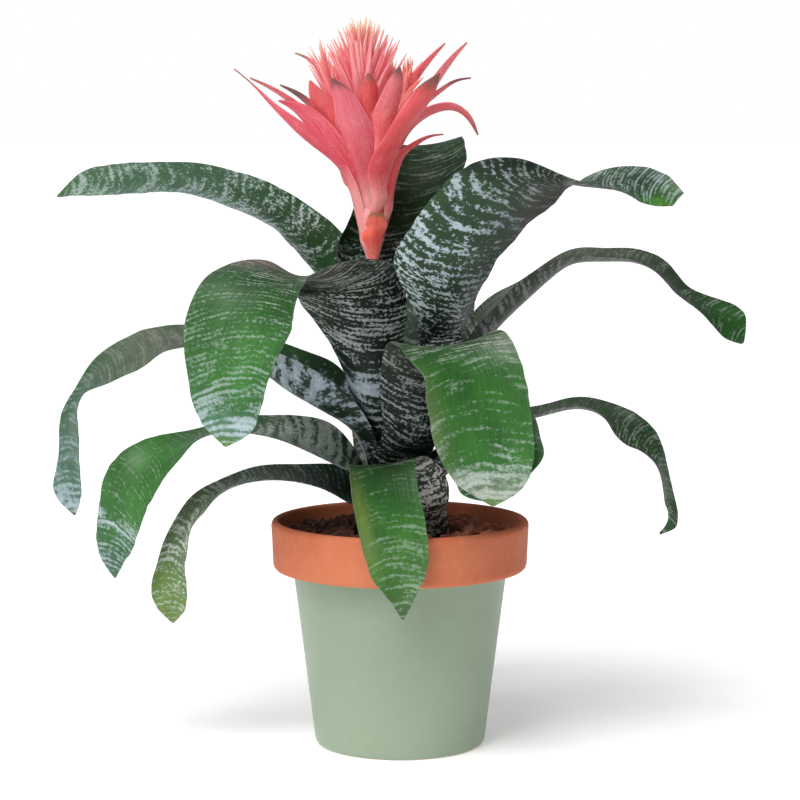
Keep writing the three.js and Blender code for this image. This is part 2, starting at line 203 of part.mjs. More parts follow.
    [160.5,7.2,205.6, 157.5,3.8,203.1, 154.7,0.1,200.9, 152,-3.8,198.8, 149.6,-8,197, 147.4,-12.4,195.4, 145.4,-17,194],
    [170.4,7.5,184.6, 168.3,4,184, 166.4,0.3,183.5, 164.8,-3.5,183.2, 163.5,-7.4,182.9, 162.4,-11.4,182.8, 161.7,-15.4,182.8],
    [174.9,5.9,164, 173,3.1,164.4, 171.3,0.2,164.9, 169.8,-2.8,165.4, 168.5,-5.8,166, 167.4,-9,166.6, 166.5,-12.2,167.2],
    [177.1,-0.8,142.7, 176.1,-1.4,143.6, 175.1,-1.9,144.6, 174.1,-2.6,145.5, 173.2,-3.3,146.5, 172.3,-4,147.4, 171.5,-4.8,148.4],
    [166.4,-5.6,135.7, 166.3,-5.8,136, 166.3,-5.9,136.2, 166.3,-6,136.4, 166.3,-6.1,136.6, 166.3,-6.2,136.8, 166.3,-6.4,137.1],
  ],
  leaf_left_lower: [
    [0.7,-24.4,128, -7.8,-21.7,128, -14.7,-16.2,128, -19.2,-8.4,128, -20.7,0.4,128, -19,9.2,128, -14.3,16.7,128],
    [-5.5,-24.9,161.7, -13.3,-21.7,160.7, -19.7,-16.1,159.8, -23.9,-8.7,159.3, -25.5,-0.3,159.1, -24.2,8.1,159.2, -20.3,15.7,159.7],
    [-13.1,-27.8,174.1, -19.1,-24.1,173.5, -23.7,-18.8,173.2, -26.7,-12.3,173.2, -27.6,-5.2,173.6, -26.4,1.8,174.3, -23.1,8.2,175.2],
    [-24.8,-33.5,178.4, -28.1,-28.5,178.4, -30.4,-23,179.1, -31.6,-17.3,180.6, -31.4,-11.8,182.7, -30.1,-6.7,185.4, -27.6,-2.3,188.4],
    [-41.2,-37,185.5, -43.2,-30.2,185.7, -44.5,-23.4,187.3, -45.1,-16.9,190.3, -44.8,-11.1,194.5, -43.8,-6.3,199.6, -42.1,-2.6,205.5],
    [-61.8,-41.7,196, -62.7,-34.7,196.1, -63.3,-27.7,197.3, -63.4,-21,199.5, -63.3,-14.7,202.7, -62.7,-9,206.9, -61.9,-4,211.8],
    [-82.7,-45.3,204, -83.2,-38.5,203.5, -83.5,-31.6,203.8, -83.6,-24.9,204.9, -83.7,-18.3,206.7, -83.6,-11.9,209.3, -83.4,-6,212.6],
    [-107.3,-48,208.2, -107.1,-41.5,206.7, -107,-34.9,206, -107,-28.3,206, -107,-21.7,206.8, -107.2,-15.3,208.2, -107.4,-9,210.4],
    [-124,-49.4,204.4, -124.1,-43.1,202.9, -124.5,-36.7,202.1, -125.2,-30.3,201.8, -126,-23.8,202.2, -127.1,-17.5,203.2, -128.4,-11.4,204.8],
    [-137.8,-49,189.6, -139.5,-42.9,190.2, -141.6,-36.8,191.3, -143.9,-31,192.8, -146.4,-25.4,194.7, -149.1,-20,197.1, -152.1,-15,199.9],
    [-150.7,-44,171.8, -153.8,-39.6,174.9, -157.1,-35.6,178.2, -160.6,-31.9,181.8, -164.3,-28.7,185.6, -168.1,-25.8,189.6, -172,-23.4,193.7],
    [-159.2,-39.4,155.6, -163.2,-36.9,159.4, -167.2,-34.8,163.4, -171.4,-33.2,167.4, -175.7,-32,171.6, -180,-31.3,175.7, -184.3,-31.1,179.9],
    [-165.5,-42.3,138.8, -169.3,-39.7,141.4, -173.2,-37.4,144, -177.2,-35.5,146.7, -181.3,-33.8,149.4, -185.5,-32.5,152.2, -189.8,-31.5,155],
    [-171.5,-42.7,125.5, -174.5,-40.7,126.4, -177.6,-38.9,127.3, -180.8,-37.3,128.1, -184.1,-35.8,129, -187.5,-34.5,129.9, -190.9,-33.3,130.9],
    [-178.6,-38.6,113.5, -178.7,-38.4,113.5, -178.9,-38.2,113.5, -179,-38,113.5, -179.1,-37.8,113.5, -179.2,-37.6,113.5, -179.4,-37.4,113.5],
  ],
  leaf_front_right_inner: [
    [27.6,11.8,128, 30.2,3.3,128, 29.7,-5.7,128, 26.3,-14,128, 20.4,-20.6,128, 12.6,-24.9,128, 3.8,-26.3,128],
    [26.1,10.6,151.9, 28.2,2.2,152.1, 27.5,-6.4,152.1, 24.1,-14.3,151.6, 18.4,-20.8,150.9, 11,-25.2,149.9, 2.7,-26.9,148.8],
    [25.5,8.7,166.7, 27.1,0.6,166.9, 26.3,-7.6,166.8, 23,-15.2,166.3, 17.7,-21.5,165.7, 10.7,-25.9,164.8, 2.8,-28,163.9],
    [28,2.1,175.6, 29.4,-5.5,175.3, 28.6,-13.3,174.9, 25.7,-20.5,174.6, 20.9,-26.7,174.2, 14.7,-31.2,173.9, 7.6,-33.7,173.8],
    [34.2,-10.6,185, 35.3,-17.5,183.8, 34.6,-24.5,183, 32.2,-31.3,182.7, 28.4,-37.2,183, 23.4,-41.9,183.8, 17.5,-45.1,185.1],
    [41.1,-21.4,194.3, 41.5,-27.8,192.3, 40.5,-34.3,191.2, 38.2,-40.6,190.9, 34.8,-46.3,191.5, 30.3,-51.1,193, 25.2,-54.7,195.3],
    [50,-29.2,206.6, 48.9,-35.6,204.4, 46.6,-41.9,203.1, 43.3,-47.8,202.7, 39.1,-53.2,203.2, 34.2,-57.8,204.5, 28.8,-61.4,206.6],
    [59.7,-38.6,218.1, 56.5,-44.9,215.5, 52.4,-51,213.8, 47.6,-56.7,213.1, 42.1,-61.9,213.4, 36.1,-66.3,214.7, 29.9,-69.9,216.9],
    [69.5,-51.5,224.2, 63.7,-56.4,221.5, 57.4,-61.2,219.7, 50.9,-65.9,219, 44.1,-70.4,219.3, 37.2,-74.6,220.7, 30.3,-78.4,223],
    [79.3,-63.3,221.2, 71,-65.1,219.6, 62.7,-67.4,218.6, 54.5,-70.2,218.3, 46.4,-73.6,218.5, 38.6,-77.5,219.4, 31.2,-81.8,220.9],
    [84.7,-75.1,212.4, 75.7,-74.5,211.4, 66.6,-74.6,210.8, 57.6,-75.5,210.6, 48.8,-77.1,210.8, 40.1,-79.5,211.3, 31.6,-82.5,212.2],
    [86.7,-83.3,200.9, 77.7,-81.3,199.9, 68.5,-80.1,199.2, 59.2,-79.7,198.7, 49.9,-80.2,198.5, 40.7,-81.5,198.6, 31.6,-83.6,198.9],
    [82.7,-86.8,190.6, 74.6,-84.8,189, 66.4,-83.6,187.6, 58,-83.1,186.4, 49.6,-83.5,185.3, 41.2,-84.8,184.4, 33,-86.8,183.8],
    [70.9,-88.8,178.9, 65.6,-87.8,177.8, 60.2,-87.2,176.8, 54.8,-87,175.9, 49.4,-87.2,175.1, 43.9,-87.7,174.3, 38.6,-88.7,173.6],
    [56.3,-89.7,170, 56,-89.8,169.9, 55.7,-89.9,169.8, 55.4,-90,169.7, 55.1,-90.1,169.6, 54.8,-90.2,169.5, 54.4,-90.3,169.4],
  ],
  leaf_back_lower: [
    [-13.4,21.7,128, -7.3,25.6,128, -0.3,27.6,128, 6.9,27.8,128, 14,26.1,128, 20.4,22.7,128, 25.6,17.6,128],
    [-15.8,23.7,153.9, -9.8,26.9,154.7, -3.2,28.6,155.5, 3.6,28.7,156.4, 10.2,27.2,157.3, 16.3,24.1,158.1, 21.4,19.7,158.8],
    [-15,31.3,172.4, -8.9,33.3,172.8, -2.4,33.8,173.4, 3.9,32.7,174.1, 9.7,30.3,174.9, 14.8,26.5,175.8, 18.8,21.7,176.7],
    [-12.7,45.7,189.7, -5.8,45.8,189.2, 0.8,44.2,189.1, 6.8,41.1,189.6, 11.9,36.6,190.4, 15.6,31,191.6, 17.7,24.7,193.2],
    [-12.4,61.2,205.3, -5.2,59.3,203.7, 1.6,56.1,202.9, 7.8,51.7,203, 13,46.3,204, 17.1,40.1,205.8, 19.7,33.6,208.4],
    [-13.4,75.9,215.3, -6.4,72.4,213.1, 0.4,68.3,211.9, 7,63.5,211.9, 13.1,58.3,213, 18.6,52.7,215.2, 23.3,47,218.5],
    [-13.5,92.9,219.6, -7,88.1,217.8, -0.3,83.1,216.9, 6.3,78,216.9, 12.7,72.9,217.9, 19,67.8,219.9, 25,62.8,222.8],
    [-13.6,110.3,216.8, -7.8,104.5,215.6, -1.7,98.8,215.1, 4.6,93.4,215.3, 11.1,88.2,216.2, 17.7,83.4,217.8, 24.3,78.9,220.1],
    [-13.7,124.7,207.8, -8.2,118.4,207.2, -2.4,112.5,207, 3.9,107,207.4, 10.5,101.9,208.2, 17.3,97.2,209.5, 24.3,93.1,211.2],
    [-13.9,136.2,192.9, -8.5,130,192.8, -2.7,124.3,192.9, 3.5,119,193.3, 10.1,114.2,194.1, 17,109.9,195.1, 24.1,106.2,196.4],
    [-13.7,145.6,171.4, -8.5,139.9,171.6, -2.9,134.6,171.9, 3,129.8,172.4, 9.3,125.4,173.1, 15.9,121.5,173.9, 22.7,118,175],
    [-12.5,152.2,151.1, -7.8,146.8,151.4, -2.7,141.9,151.8, 2.8,137.3,152.4, 8.5,133.1,153.1, 14.5,129.3,153.9, 20.7,125.9,154.8],
    [-10.2,155.1,128.5, -5.8,151,128.8, -1.1,147.2,129.2, 3.8,143.8,129.7, 8.9,140.6,130.2, 14.2,137.9,130.8, 19.7,135.4,131.5],
    [-6.6,155.1,106.1, -3.2,152.8,106.3, 0.3,150.7,106.6, 3.9,148.7,106.9, 7.6,146.9,107.2, 11.4,145.3,107.6, 15.2,143.9,107.9],
    [2.8,151.7,87.5, 3,151.5,87.6, 3.3,151.2,87.6, 3.5,151,87.6, 3.7,150.8,87.7, 4,150.5,87.7, 4.2,150.3,87.8],
  ],
  leaf_left_lowest: [
    [-11.7,-25.2,128, -18.5,-19.4,128, -23.2,-11.8,128, -25.5,-3.1,128, -25.1,5.9,128, -22,14.3,128, -16.6,21.4,128],
    [-16.5,-24.6,152.8, -22.6,-18.8,152, -26.9,-11.4,151.4, -28.9,-3.1,151.1, -28.6,5.4,151.2, -26,13.5,151.5, -21.2,20.6,152.1],
    [-21.3,-24.6,157.3, -26,-18.9,157.2, -29.2,-12.4,157.6, -30.8,-5.4,158.6, -30.6,1.7,160, -28.6,8.3,161.8, -25,14,163.9],
    [-30,-25.4,157.9, -32.6,-19.8,158.4, -34.3,-14,160, -35.2,-8.3,162.6, -35.2,-2.9,166, -34.3,1.8,170.1, -32.6,5.8,174.7],
    [-44.5,-28.3,167, -45.7,-22,166.6, -46.5,-15.6,167.2, -46.9,-9.4,168.9, -47,-3.6,171.6, -46.8,1.8,175.3, -46.2,6.4,179.8],
    [-62.1,-31.8,173.2, -62.5,-25.4,172.2, -62.9,-19,172, -63.1,-12.6,172.7, -63.2,-6.3,174.2, -63.3,-0.3,176.5, -63.2,5.3,179.6],
    [-82.2,-34.1,175.2, -82.2,-27.8,174.3, -82.1,-21.5,174, -82.1,-15.1,174.4, -82.1,-8.9,175.5, -82.2,-2.8,177.2, -82.2,3.1,179.6],
    [-99.3,-35.8,172.9, -98.4,-29.7,172.2, -97.7,-23.5,172.1, -97.1,-17.2,172.6, -96.7,-11.1,173.8, -96.4,-5.1,175.5, -96.3,0.7,177.9],
    [-113.9,-38.2,166.1, -113.3,-32.1,165.7, -112.9,-26,165.7, -112.7,-19.9,166.3, -112.8,-13.9,167.3, -113.2,-8,168.8, -113.8,-2.2,170.7],
    [-123.8,-39.3,155.2, -124.3,-33.4,155.3, -125.2,-27.5,155.8, -126.4,-21.8,156.6, -128,-16.2,157.8, -129.8,-10.7,159.3, -131.9,-5.5,161.2],
    [-131,-39.2,145.3, -132.3,-33.7,144.9, -133.9,-28.2,144.8, -135.9,-22.9,144.8, -138.3,-17.8,145.1, -141.1,-12.8,145.6, -144.1,-8.1,146.4],
    [-134.1,-38.3,129.1, -136.1,-33.4,128.9, -138.5,-28.7,128.8, -141.2,-24.2,128.8, -144.3,-19.8,128.8, -147.7,-15.7,129, -151.3,-11.9,129.3],
    [-135.2,-35.6,111.2, -138.3,-32,110.8, -141.5,-28.6,110.4, -145,-25.5,110.1, -148.7,-22.6,109.8, -152.6,-19.9,109.6, -156.7,-17.5,109.3],
    [-134.6,-31.4,95.7, -138,-29.5,95.5, -141.4,-27.7,95.3, -144.9,-26.1,95.1, -148.5,-24.8,94.9, -152.1,-23.6,94.7, -155.8,-22.6,94.5],
    [-143.2,-27.5,82.6, -143.4,-27.4,82.5, -143.5,-27.2,82.5, -143.7,-27,82.4, -143.9,-26.8,82.4, -144,-26.6,82.4, -144.2,-26.5,82.3],
  ],
  leaf_front_lowest: [
    [32.2,-13.2,128, 26.9,-21.2,128, 19.4,-27.2,128, 10.5,-30.6,128, 1,-31.1,128, -8.3,-28.7,128, -16.3,-23.5,128],
    [29.8,-15.1,149.3, 24.3,-22.5,148.6, 17,-28,147.6, 8.5,-31.2,146.5, -0.7,-31.8,145.3, -9.6,-29.7,144.2, -17.5,-25.1,143.1],
    [28.8,-21.2,156.5, 23.3,-27.5,155.3, 16.3,-32.1,154.3, 8.3,-34.8,153.4, -0.2,-35.4,152.8, -8.5,-33.8,152.4, -16,-30.2,152.4],
    [29.8,-33.3,159.2, 23.7,-37.8,157.1, 16.7,-41.1,155.7, 9.1,-42.9,155.1, 1.3,-43.2,155.4, -6.3,-41.9,156.5, -13.4,-39.2,158.3],
    [30.5,-40.4,169.6, 23.4,-44.4,167.1, 15.5,-46.9,165.3, 7.2,-48,164.4, -1.3,-47.4,164.4, -9.5,-45.3,165.2, -17,-41.8,166.9],
    [25.9,-47.7,183.5, 18.1,-50.5,180.5, 9.8,-52.1,178.3, 1.1,-52.7,176.9, -7.6,-52,176.4, -16.2,-50.2,176.7, -24.4,-47.3,177.8],
    [18.2,-54.9,191.7, 10.8,-56.7,188.9, 3,-58.1,186.8, -5.1,-58.9,185.5, -13.2,-59.2,184.9, -21.4,-59,185.1, -29.4,-58.3,186],
    [11.6,-61.6,193.2, 4.6,-63.4,191.1, -2.4,-65.2,189.7, -9.6,-67.1,188.8, -16.7,-68.9,188.5, -23.9,-70.8,188.8, -30.9,-72.7,189.7],
    [9,-69.7,188.1, 2.2,-71.4,186.7, -4.5,-73.5,185.8, -11.2,-75.9,185.2, -17.8,-78.7,185.1, -24.2,-81.8,185.4, -30.5,-85.3,186.2],
    [11.3,-79.6,175.9, 4.3,-80.8,174.9, -2.6,-82.5,174.1, -9.5,-84.7,173.7, -16.2,-87.2,173.4, -22.8,-90.2,173.5, -29.2,-93.5,173.8],
    [14.3,-85.9,161.7, 7.2,-86.9,161, 0.2,-88.4,160.5, -6.7,-90.4,160.1, -13.5,-92.8,159.9, -20.1,-95.7,159.9, -26.4,-99,160],
    [16.9,-91.3,145.1, 10.1,-91.6,144.7, 3.3,-92.4,144.3, -3.4,-93.7,144.1, -10,-95.5,143.9, -16.5,-97.7,143.8, -22.8,-100.3,143.8],
    [16.5,-94.1,129.6, 10.5,-94.2,129.5, 4.5,-94.6,129.4, -1.4,-95.5,129.4, -7.3,-96.9,129.4, -13,-98.6,129.5, -18.6,-100.7,129.6],
    [10.3,-95.2,114.2, 7,-96,114.2, 3.7,-96.9,114.1, 0.5,-98,114.1, -2.7,-99.3,114.1, -5.8,-100.7,114.2, -8.9,-102.2,114.2],
    [2.4,-98.5,98.9, 2.2,-98.7,98.9, 2,-98.8,98.9, 1.8,-99,99, 1.6,-99.2,99, 1.4,-99.3,99, 1.2,-99.5,99.1],
  ],
};

// The same for the bracts of the flower head, five points across. Listed from the
// innermost whorl to the outermost.
const BRACTS = {
  bract_right_spike: [
    [-15.96,0.99,340.19, -15.83,-0.46,340.18, -16.37,-1.81,340.14, -17.45,-2.77,340.08, -18.85,-3.15,340.02],
    [-15.04,1.58,358.28, -14.86,-0.79,358.02, -15.74,-3.01,357.86, -17.52,-4.61,357.85, -19.81,-5.27,357.99],
    [-11.3,-0.22,372.73, -11.75,-2.89,372.37, -13.17,-5.22,372.24, -15.34,-6.87,372.37, -17.95,-7.58,372.72],
    [-6.56,-1.44,387.38, -6.97,-4.26,387.14, -8.31,-6.78,387.27, -10.39,-8.66,387.74, -12.94,-9.67,388.5],
    [0.78,-3.79,404.5, 0.15,-6.32,404.43, -1.18,-8.55,404.72, -3.09,-10.25,405.33, -5.35,-11.23,406.2],
    [8.86,-5.77,419.97, 8.24,-7.84,420.12, 7.14,-9.64,420.57, 5.67,-11.03,421.28, 3.94,-11.91,422.21],
    [17.27,-8.42,432.78, 16.76,-9.61,433.16, 16.07,-10.65,433.69, 15.22,-11.48,434.36, 14.25,-12.05,435.13],
    [28.41,-10.68,446.57, 28.29,-10.84,446.72, 28.17,-11,446.86, 28.04,-11.15,447.02, 27.9,-11.28,447.18],
  ],
  bract_right_back: [
    [-20.19,2.89,340, -18.76,3.14,340.06, -17.37,2.73,340.14, -16.32,1.73,340.21, -15.82,0.37,340.26],
    [-22.5,5.34,360.55, -19.95,5.72,360.4, -17.48,5.01,360.43, -15.54,3.34,360.64, -14.51,1.03,360.99],
    [-16.85,10.11,370.3, -15.11,8.9,370.06, -13.83,7.13,370.15, -13.2,5.04,370.54, -13.3,2.87,371.21],
    [-5.34,15.64,381.16, -5.07,12.52,380.96, -5.73,9.49,381.26, -7.22,6.89,382.02, -9.37,5.01,383.18],
    [3.78,17.78,395.49, 4.03,14.84,395.45, 3.52,11.98,395.97, 2.3,9.5,396.99, 0.5,7.65,398.41],
    [16.78,18.23,408.88, 16.65,15.89,408.93, 16.08,13.68,409.44, 15.11,11.75,410.37, 13.82,10.27,411.64],
    [31.81,15.74,420.76, 31.64,14.83,421.05, 31.39,14,421.46, 31.08,13.26,422, 30.7,12.64,422.63],
    [45.1,14.35,425.46, 45.1,14.17,425.63, 45.09,14,425.81, 45.09,13.84,426.01, 45.08,13.7,426.21],
  ],
  bract_left_spike: [
    [-19.59,-3.08,340.3, -20.91,-2.47,340.2, -21.8,-1.33,340.14, -22.1,0.09,340.13, -21.73,1.49,340.17],
    [-21.39,-5.35,359.37, -23.54,-4.26,358.96, -25.02,-2.33,358.78, -25.53,0.05,358.85, -24.99,2.41,359.16],
    [-24.25,-5.62,372.36, -26.63,-4.38,371.87, -28.39,-2.31,371.58, -29.27,0.28,371.54, -29.15,3.01,371.76],
    [-27.84,-7.1,386.53, -30.31,-5.97,385.69, -32.24,-3.97,385.09, -33.37,-1.37,384.82, -33.55,1.47,384.91],
    [-34.32,-9.38,403.54, -36.56,-8.27,402.62, -38.38,-6.45,401.96, -39.58,-4.1,401.62, -40.03,-1.48,401.64],
    [-43.36,-10.16,421.58, -44.95,-9.21,420.91, -46.26,-7.84,420.41, -47.22,-6.16,420.11, -47.75,-4.27,420.04],
    [-53.05,-9.4,435.22, -53.68,-8.76,434.79, -54.22,-8.01,434.44, -54.67,-7.16,434.17, -55,-6.24,434.01],
    [-65.32,-8.21,441.26, -65.48,-8.11,441.1, -65.65,-8,440.95, -65.81,-7.88,440.8, -65.96,-7.75,440.65],
  ],
  bract_right_tall: [
    [-15.47,1.69,328.87, -15.01,0.26,328.8, -15.23,-1.22,328.76, -16.1,-2.45,328.74, -17.43,-3.15,328.76],
    [-15.17,2.78,353.05, -14.42,0.41,352.84, -14.8,-2.05,352.73, -16.22,-4.09,352.73, -18.4,-5.3,352.84],
    [-11.01,2.93,364.28, -10.56,0.03,363.79, -11.26,-2.86,363.6, -12.98,-5.3,363.75, -15.47,-6.88,364.21],
    [-3.55,2.63,373.89, -3.56,-0.55,373.46, -4.65,-3.56,373.56, -6.65,-5.98,374.18, -9.29,-7.48,375.22],
    [4.42,2.56,391, 4.27,-0.98,390.92, 2.99,-4.25,391.46, 0.74,-6.78,392.53, -2.17,-8.23,393.98],
    [16.39,1.09,410.49, 15.91,-2.04,410.52, 14.63,-4.89,411.09, 12.69,-7.17,412.12, 10.27,-8.66,413.52],
    [29.31,-1.57,429.94, 28.88,-3.37,430.32, 28.16,-5,430.94, 27.18,-6.39,431.76, 25.98,-7.46,432.75],
    [42.31,-4.75,447.26, 42.15,-4.88,447.4, 41.99,-5,447.55, 41.83,-5.11,447.71, 41.66,-5.22,447.86],
  ],
  bract_left_back: [
    [-21.26,-1.29,328.88, -21.51,0.19,328.76, -21.08,1.63,328.76, -20.05,2.72,328.85, -18.65,3.24,329.03],
    [-24.4,-2.06,351.04, -24.76,0.3,350.82, -24.04,2.59,350.8, -22.4,4.33,351, -20.17,5.15,351.37],
    [-27.46,-1.7,363.18, -27.91,0.95,362.48, -27.23,3.61,362.08, -25.57,5.83,362.03, -23.2,7.23,362.33],
    [-31.75,1.94,374.62, -33.4,3.02,372.34, -34.46,4.84,370.16, -34.8,7.26,368.32, -34.34,10.02,367.05],
    [-37.57,2.7,388.38, -39.24,4.59,386.78, -40.26,7.05,385.42, -40.56,9.86,384.44, -40.09,12.76,383.91],
    [-47.06,4.83,402.33, -48.78,6.52,400.84, -50.02,8.77,399.64, -50.7,11.4,398.85, -50.75,14.21,398.5],
    [-59.49,7.98,414.34, -60.49,8.91,413.38, -61.32,10.11,412.59, -61.97,11.53,412.01, -62.39,13.1,411.65],
    [-76.08,10.79,421.82, -76.09,10.89,421.59, -76.1,11,421.36, -76.1,11.12,421.15, -76.1,11.26,420.94],
  ],
  bract_back_inner: [
    [-21.03,1.72,328.74, -19.96,2.78,328.71, -18.54,3.25,328.76, -17.06,3.03,328.88, -15.83,2.18,329.05],
    [-23.93,2.71,350.35, -22.25,4.35,350.25, -20.02,5.08,350.31, -17.7,4.75,350.52, -15.79,3.42,350.85],
    [-25.82,4.26,360.33, -23.59,6.15,360.01, -20.77,7,360.01, -17.87,6.65,360.32, -15.39,5.16,360.89],
    [-26.72,5.75,359.1, -24.14,7.86,358.4, -20.89,8.82,358.14, -17.51,8.49,358.38, -14.58,6.92,359.07],
    [-29.04,6.2,372.77, -26.17,9.1,372.32, -22.32,10.51,372.17, -18.24,10.16,372.32, -14.7,8.13,372.77],
    [-30.92,9.69,387.75, -27.96,12.47,386.98, -24.1,13.92,386.71, -19.98,13.79,386.98, -16.28,12.11,387.75],
    [-32.16,18.25,404.69, -29.75,20.09,404.02, -26.82,21.11,403.79, -23.73,21.21,404.02, -20.81,20.37,404.69],
    [-30.14,29.31,420.01, -29.85,29.39,420, -29.55,29.45,420, -29.26,29.5,420, -28.96,29.54,420.01],
  ],
  bract_left_slender: [
    [-19.89,-2.46,323.26, -20.77,-1.31,323.11, -21.05,0.11,323.06, -20.68,1.51,323.11, -19.72,2.59,323.27],
    [-22.77,-4.51,346.74, -24.36,-2.4,346.53, -24.86,0.2,346.5, -24.16,2.74,346.65, -22.4,4.69,346.96],
    [-27.07,-4.07,357.99, -28.5,-2.16,356.96, -29.06,0.27,356.16, -28.66,2.83,355.67, -27.38,5.13,355.53],
    [-34.77,-2.95,370.14, -35.99,-1.55,368.28, -36.8,0.33,366.66, -37.15,2.61,365.41, -37,5.14,364.65],
    [-42.46,-3.77,385.23, -44.1,-2.05,383.78, -45.26,0.2,382.61, -45.87,2.81,381.82, -45.86,5.57,381.46],
    [-57.29,-3.55,404.83, -58.81,-2.17,403.55, -60.05,-0.36,402.55, -60.95,1.78,401.87, -61.46,4.11,401.55],
    [-72.99,-2.94,416.29, -73.79,-2.07,415.52, -74.5,-1.01,414.91, -75.1,0.19,414.47, -75.56,1.5,414.23],
    [-94.36,-1.22,426, -94.37,-1.12,425.77, -94.38,-1,425.55, -94.39,-0.87,425.34, -94.39,-0.74,425.13],
  ],
  bract_front_centre: [
    [-14.9,-0.91,323.3, -15.62,-2.16,323.16, -16.83,-2.96,323.06, -18.27,-3.13,323.01, -19.64,-2.64,323.02],
    [-14.02,-1.5,341.19, -15.21,-3.58,341, -17.21,-4.89,340.84, -19.59,-5.17,340.74, -21.85,-4.36,340.72],
    [-13.3,-2.21,356.46, -14.91,-4.87,356.07, -17.55,-6.55,355.8, -20.67,-6.88,355.72, -23.63,-5.81,355.84],
    [-12.7,-5,370.36, -14.74,-7.58,370.03, -17.63,-9.16,369.84, -20.91,-9.51,369.82, -24.07,-8.56,369.98],
    [-13.23,-5.33,385.13, -14.84,-8.65,384.97, -17.62,-11.09,384.92, -21.12,-12.26,385.02, -24.8,-11.98,385.23],
    [-13.05,-7.57,403.88, -15.12,-10.92,403.67, -18.27,-13.29,403.6, -22.06,-14.36,403.66, -25.97,-13.99,403.85],
    [-14.03,-10.5,417.99, -16.02,-13.02,417.84, -18.69,-14.81,417.78, -21.78,-15.69,417.81, -24.98,-15.59,417.92],
    [-19.32,-15.55,428.21, -19.61,-15.78,428.2, -19.92,-16,428.19, -20.24,-16.2,428.19, -20.56,-16.39,428.19],
  ],
  bract_back_right_inner: [
    [-19.05,2.94,323.02, -17.61,3.14,323.01, -16.24,2.67,323.06, -15.22,1.64,323.15, -14.77,0.27,323.28],
    [-21.23,5.11,344.52, -18.72,5.46,344.52, -16.32,4.65,344.62, -14.54,2.85,344.78, -13.77,0.44,344.97],
    [-22.11,6.65,353.92, -19.01,7.01,353.66, -16.04,5.98,353.67, -13.82,3.77,353.92, -12.81,0.84,354.38],
    [-21.52,9.61,354.75, -17.87,9.68,353.82, -14.38,8.27,353.48, -11.69,5.65,353.79, -10.29,2.28,354.69],
    [-21.71,12.42,370.3, -17.18,12.23,369.69, -13.05,10.27,369.48, -10,6.85,369.69, -8.55,2.55,370.3],
    [-17.83,17.33,386.38, -13.59,16.56,385.49, -9.8,14.36,385.17, -6.93,11.04,385.49, -5.37,7.02,386.38],
    [-9.17,23.51,402.26, -6.6,22.6,401.65, -4.29,21.04,401.44, -2.44,18.96,401.65, -1.19,16.55,402.26],
    [2.66,30.11,417.01, 2.89,29.92,417, 3.12,29.73,417, 3.34,29.52,417, 3.55,29.31,417.01],
  ],
  bract_front_wide: [
    [-15.47,-2.23,319.89, -16.69,-2.99,319.7, -18.13,-3.12,319.57, -19.49,-2.59,319.53, -20.46,-1.52,319.59],
    [-14.63,-4.23,339.04, -16.96,-5.68,338.75, -19.7,-5.92,338.53, -22.26,-4.92,338.43, -24.11,-2.87,338.47],
    [-13.82,-4.39,353.39, -16.37,-6.55,352.87, -19.63,-7.35,352.52, -22.91,-6.64,352.42, -25.54,-4.57,352.57],
    [-11.88,-4.51,365.21, -14.95,-7.93,364.28, -19.23,-9.78,363.69, -23.95,-9.71,363.57, -28.23,-7.73,363.93],
    [-13.14,-9.74,380.8, -18.6,-13.29,379.59, -25.08,-14.51,378.99, -31.56,-13.19,379.1, -37.04,-9.56,379.91],
    [-17.81,-15.36,397.23, -23.21,-17.93,396.6, -29.15,-18.81,396.37, -35.1,-17.93,396.57, -40.5,-15.35,397.18],
    [-27.28,-20.16,413.67, -30.72,-21.94,413.84, -34.49,-22.77,414.2, -38.33,-22.59,414.74, -41.97,-21.42,415.42],
    [-41.52,-24.68,424.76, -41.82,-24.85,424.92, -42.12,-25,425.08, -42.44,-25.14,425.23, -42.76,-25.27,425.37],
  ],
  bract_right_drooping: [
    [-16.18,2.76,319.64, -15.1,1.79,319.58, -14.57,0.44,319.57, -14.71,-1.01,319.61, -15.47,-2.24,319.68],
    [-16.52,5.68,343.59, -14.24,3.74,343.56, -13.09,0.99,343.57, -13.29,-1.97,343.62, -14.8,-4.52,343.7],
    [-6.69,4.75,357.21, -6.35,1.83,356.59, -7.07,-1.06,356.32, -8.75,-3.54,356.43, -11.16,-5.26,356.91],
    [-1.08,4.05,376.1, -0.95,0.8,375.99, -1.87,-2.3,376.25, -3.74,-4.9,376.85, -6.34,-6.66,377.72],
    [8.14,2.09,394.02, 7.74,-1.02,393.91, 6.62,-3.89,394.41, 4.89,-6.27,395.48, 2.71,-7.9,397.01],
    [22.8,-1.38,403.84, 22.41,-3.73,404.28, 21.85,-5.85,405.29, 21.15,-7.6,406.8, 20.37,-8.85,408.72],
    [36.68,-4.03,404.34, 36.78,-5.62,404.98, 37.02,-7.03,405.9, 37.38,-8.2,407.08, 37.85,-9.08,408.45],
    [48.7,-6.75,389.61, 48.85,-6.88,389.76, 49,-7,389.92, 49.16,-7.11,390.07, 49.32,-7.21,390.24],
  ],
  bract_back_left: [
    [-20.83,-0.45,319.68, -20.69,0.99,319.57, -19.92,2.23,319.57, -18.69,2.99,319.69, -17.26,3.12,319.89],
    [-24.88,-0.87,339.45, -24.62,1.9,339.32, -23.16,4.26,339.36, -20.8,5.71,339.55, -18.05,5.96,339.86],
    [-27.04,-0.69,348.81, -26.53,2.49,348.22, -24.7,5.28,348.08, -21.92,7.09,348.43, -18.76,7.58,349.19],
    [-29.81,-0.06,347.43, -28.71,3.58,345.95, -26.34,6.89,345.42, -23.08,9.36,345.93, -19.46,10.56,347.4],
    [-34.21,0.24,361.77, -33.25,5.07,360.6, -30.58,9.35,360.19, -26.61,12.46,360.6, -21.91,13.93,361.77],
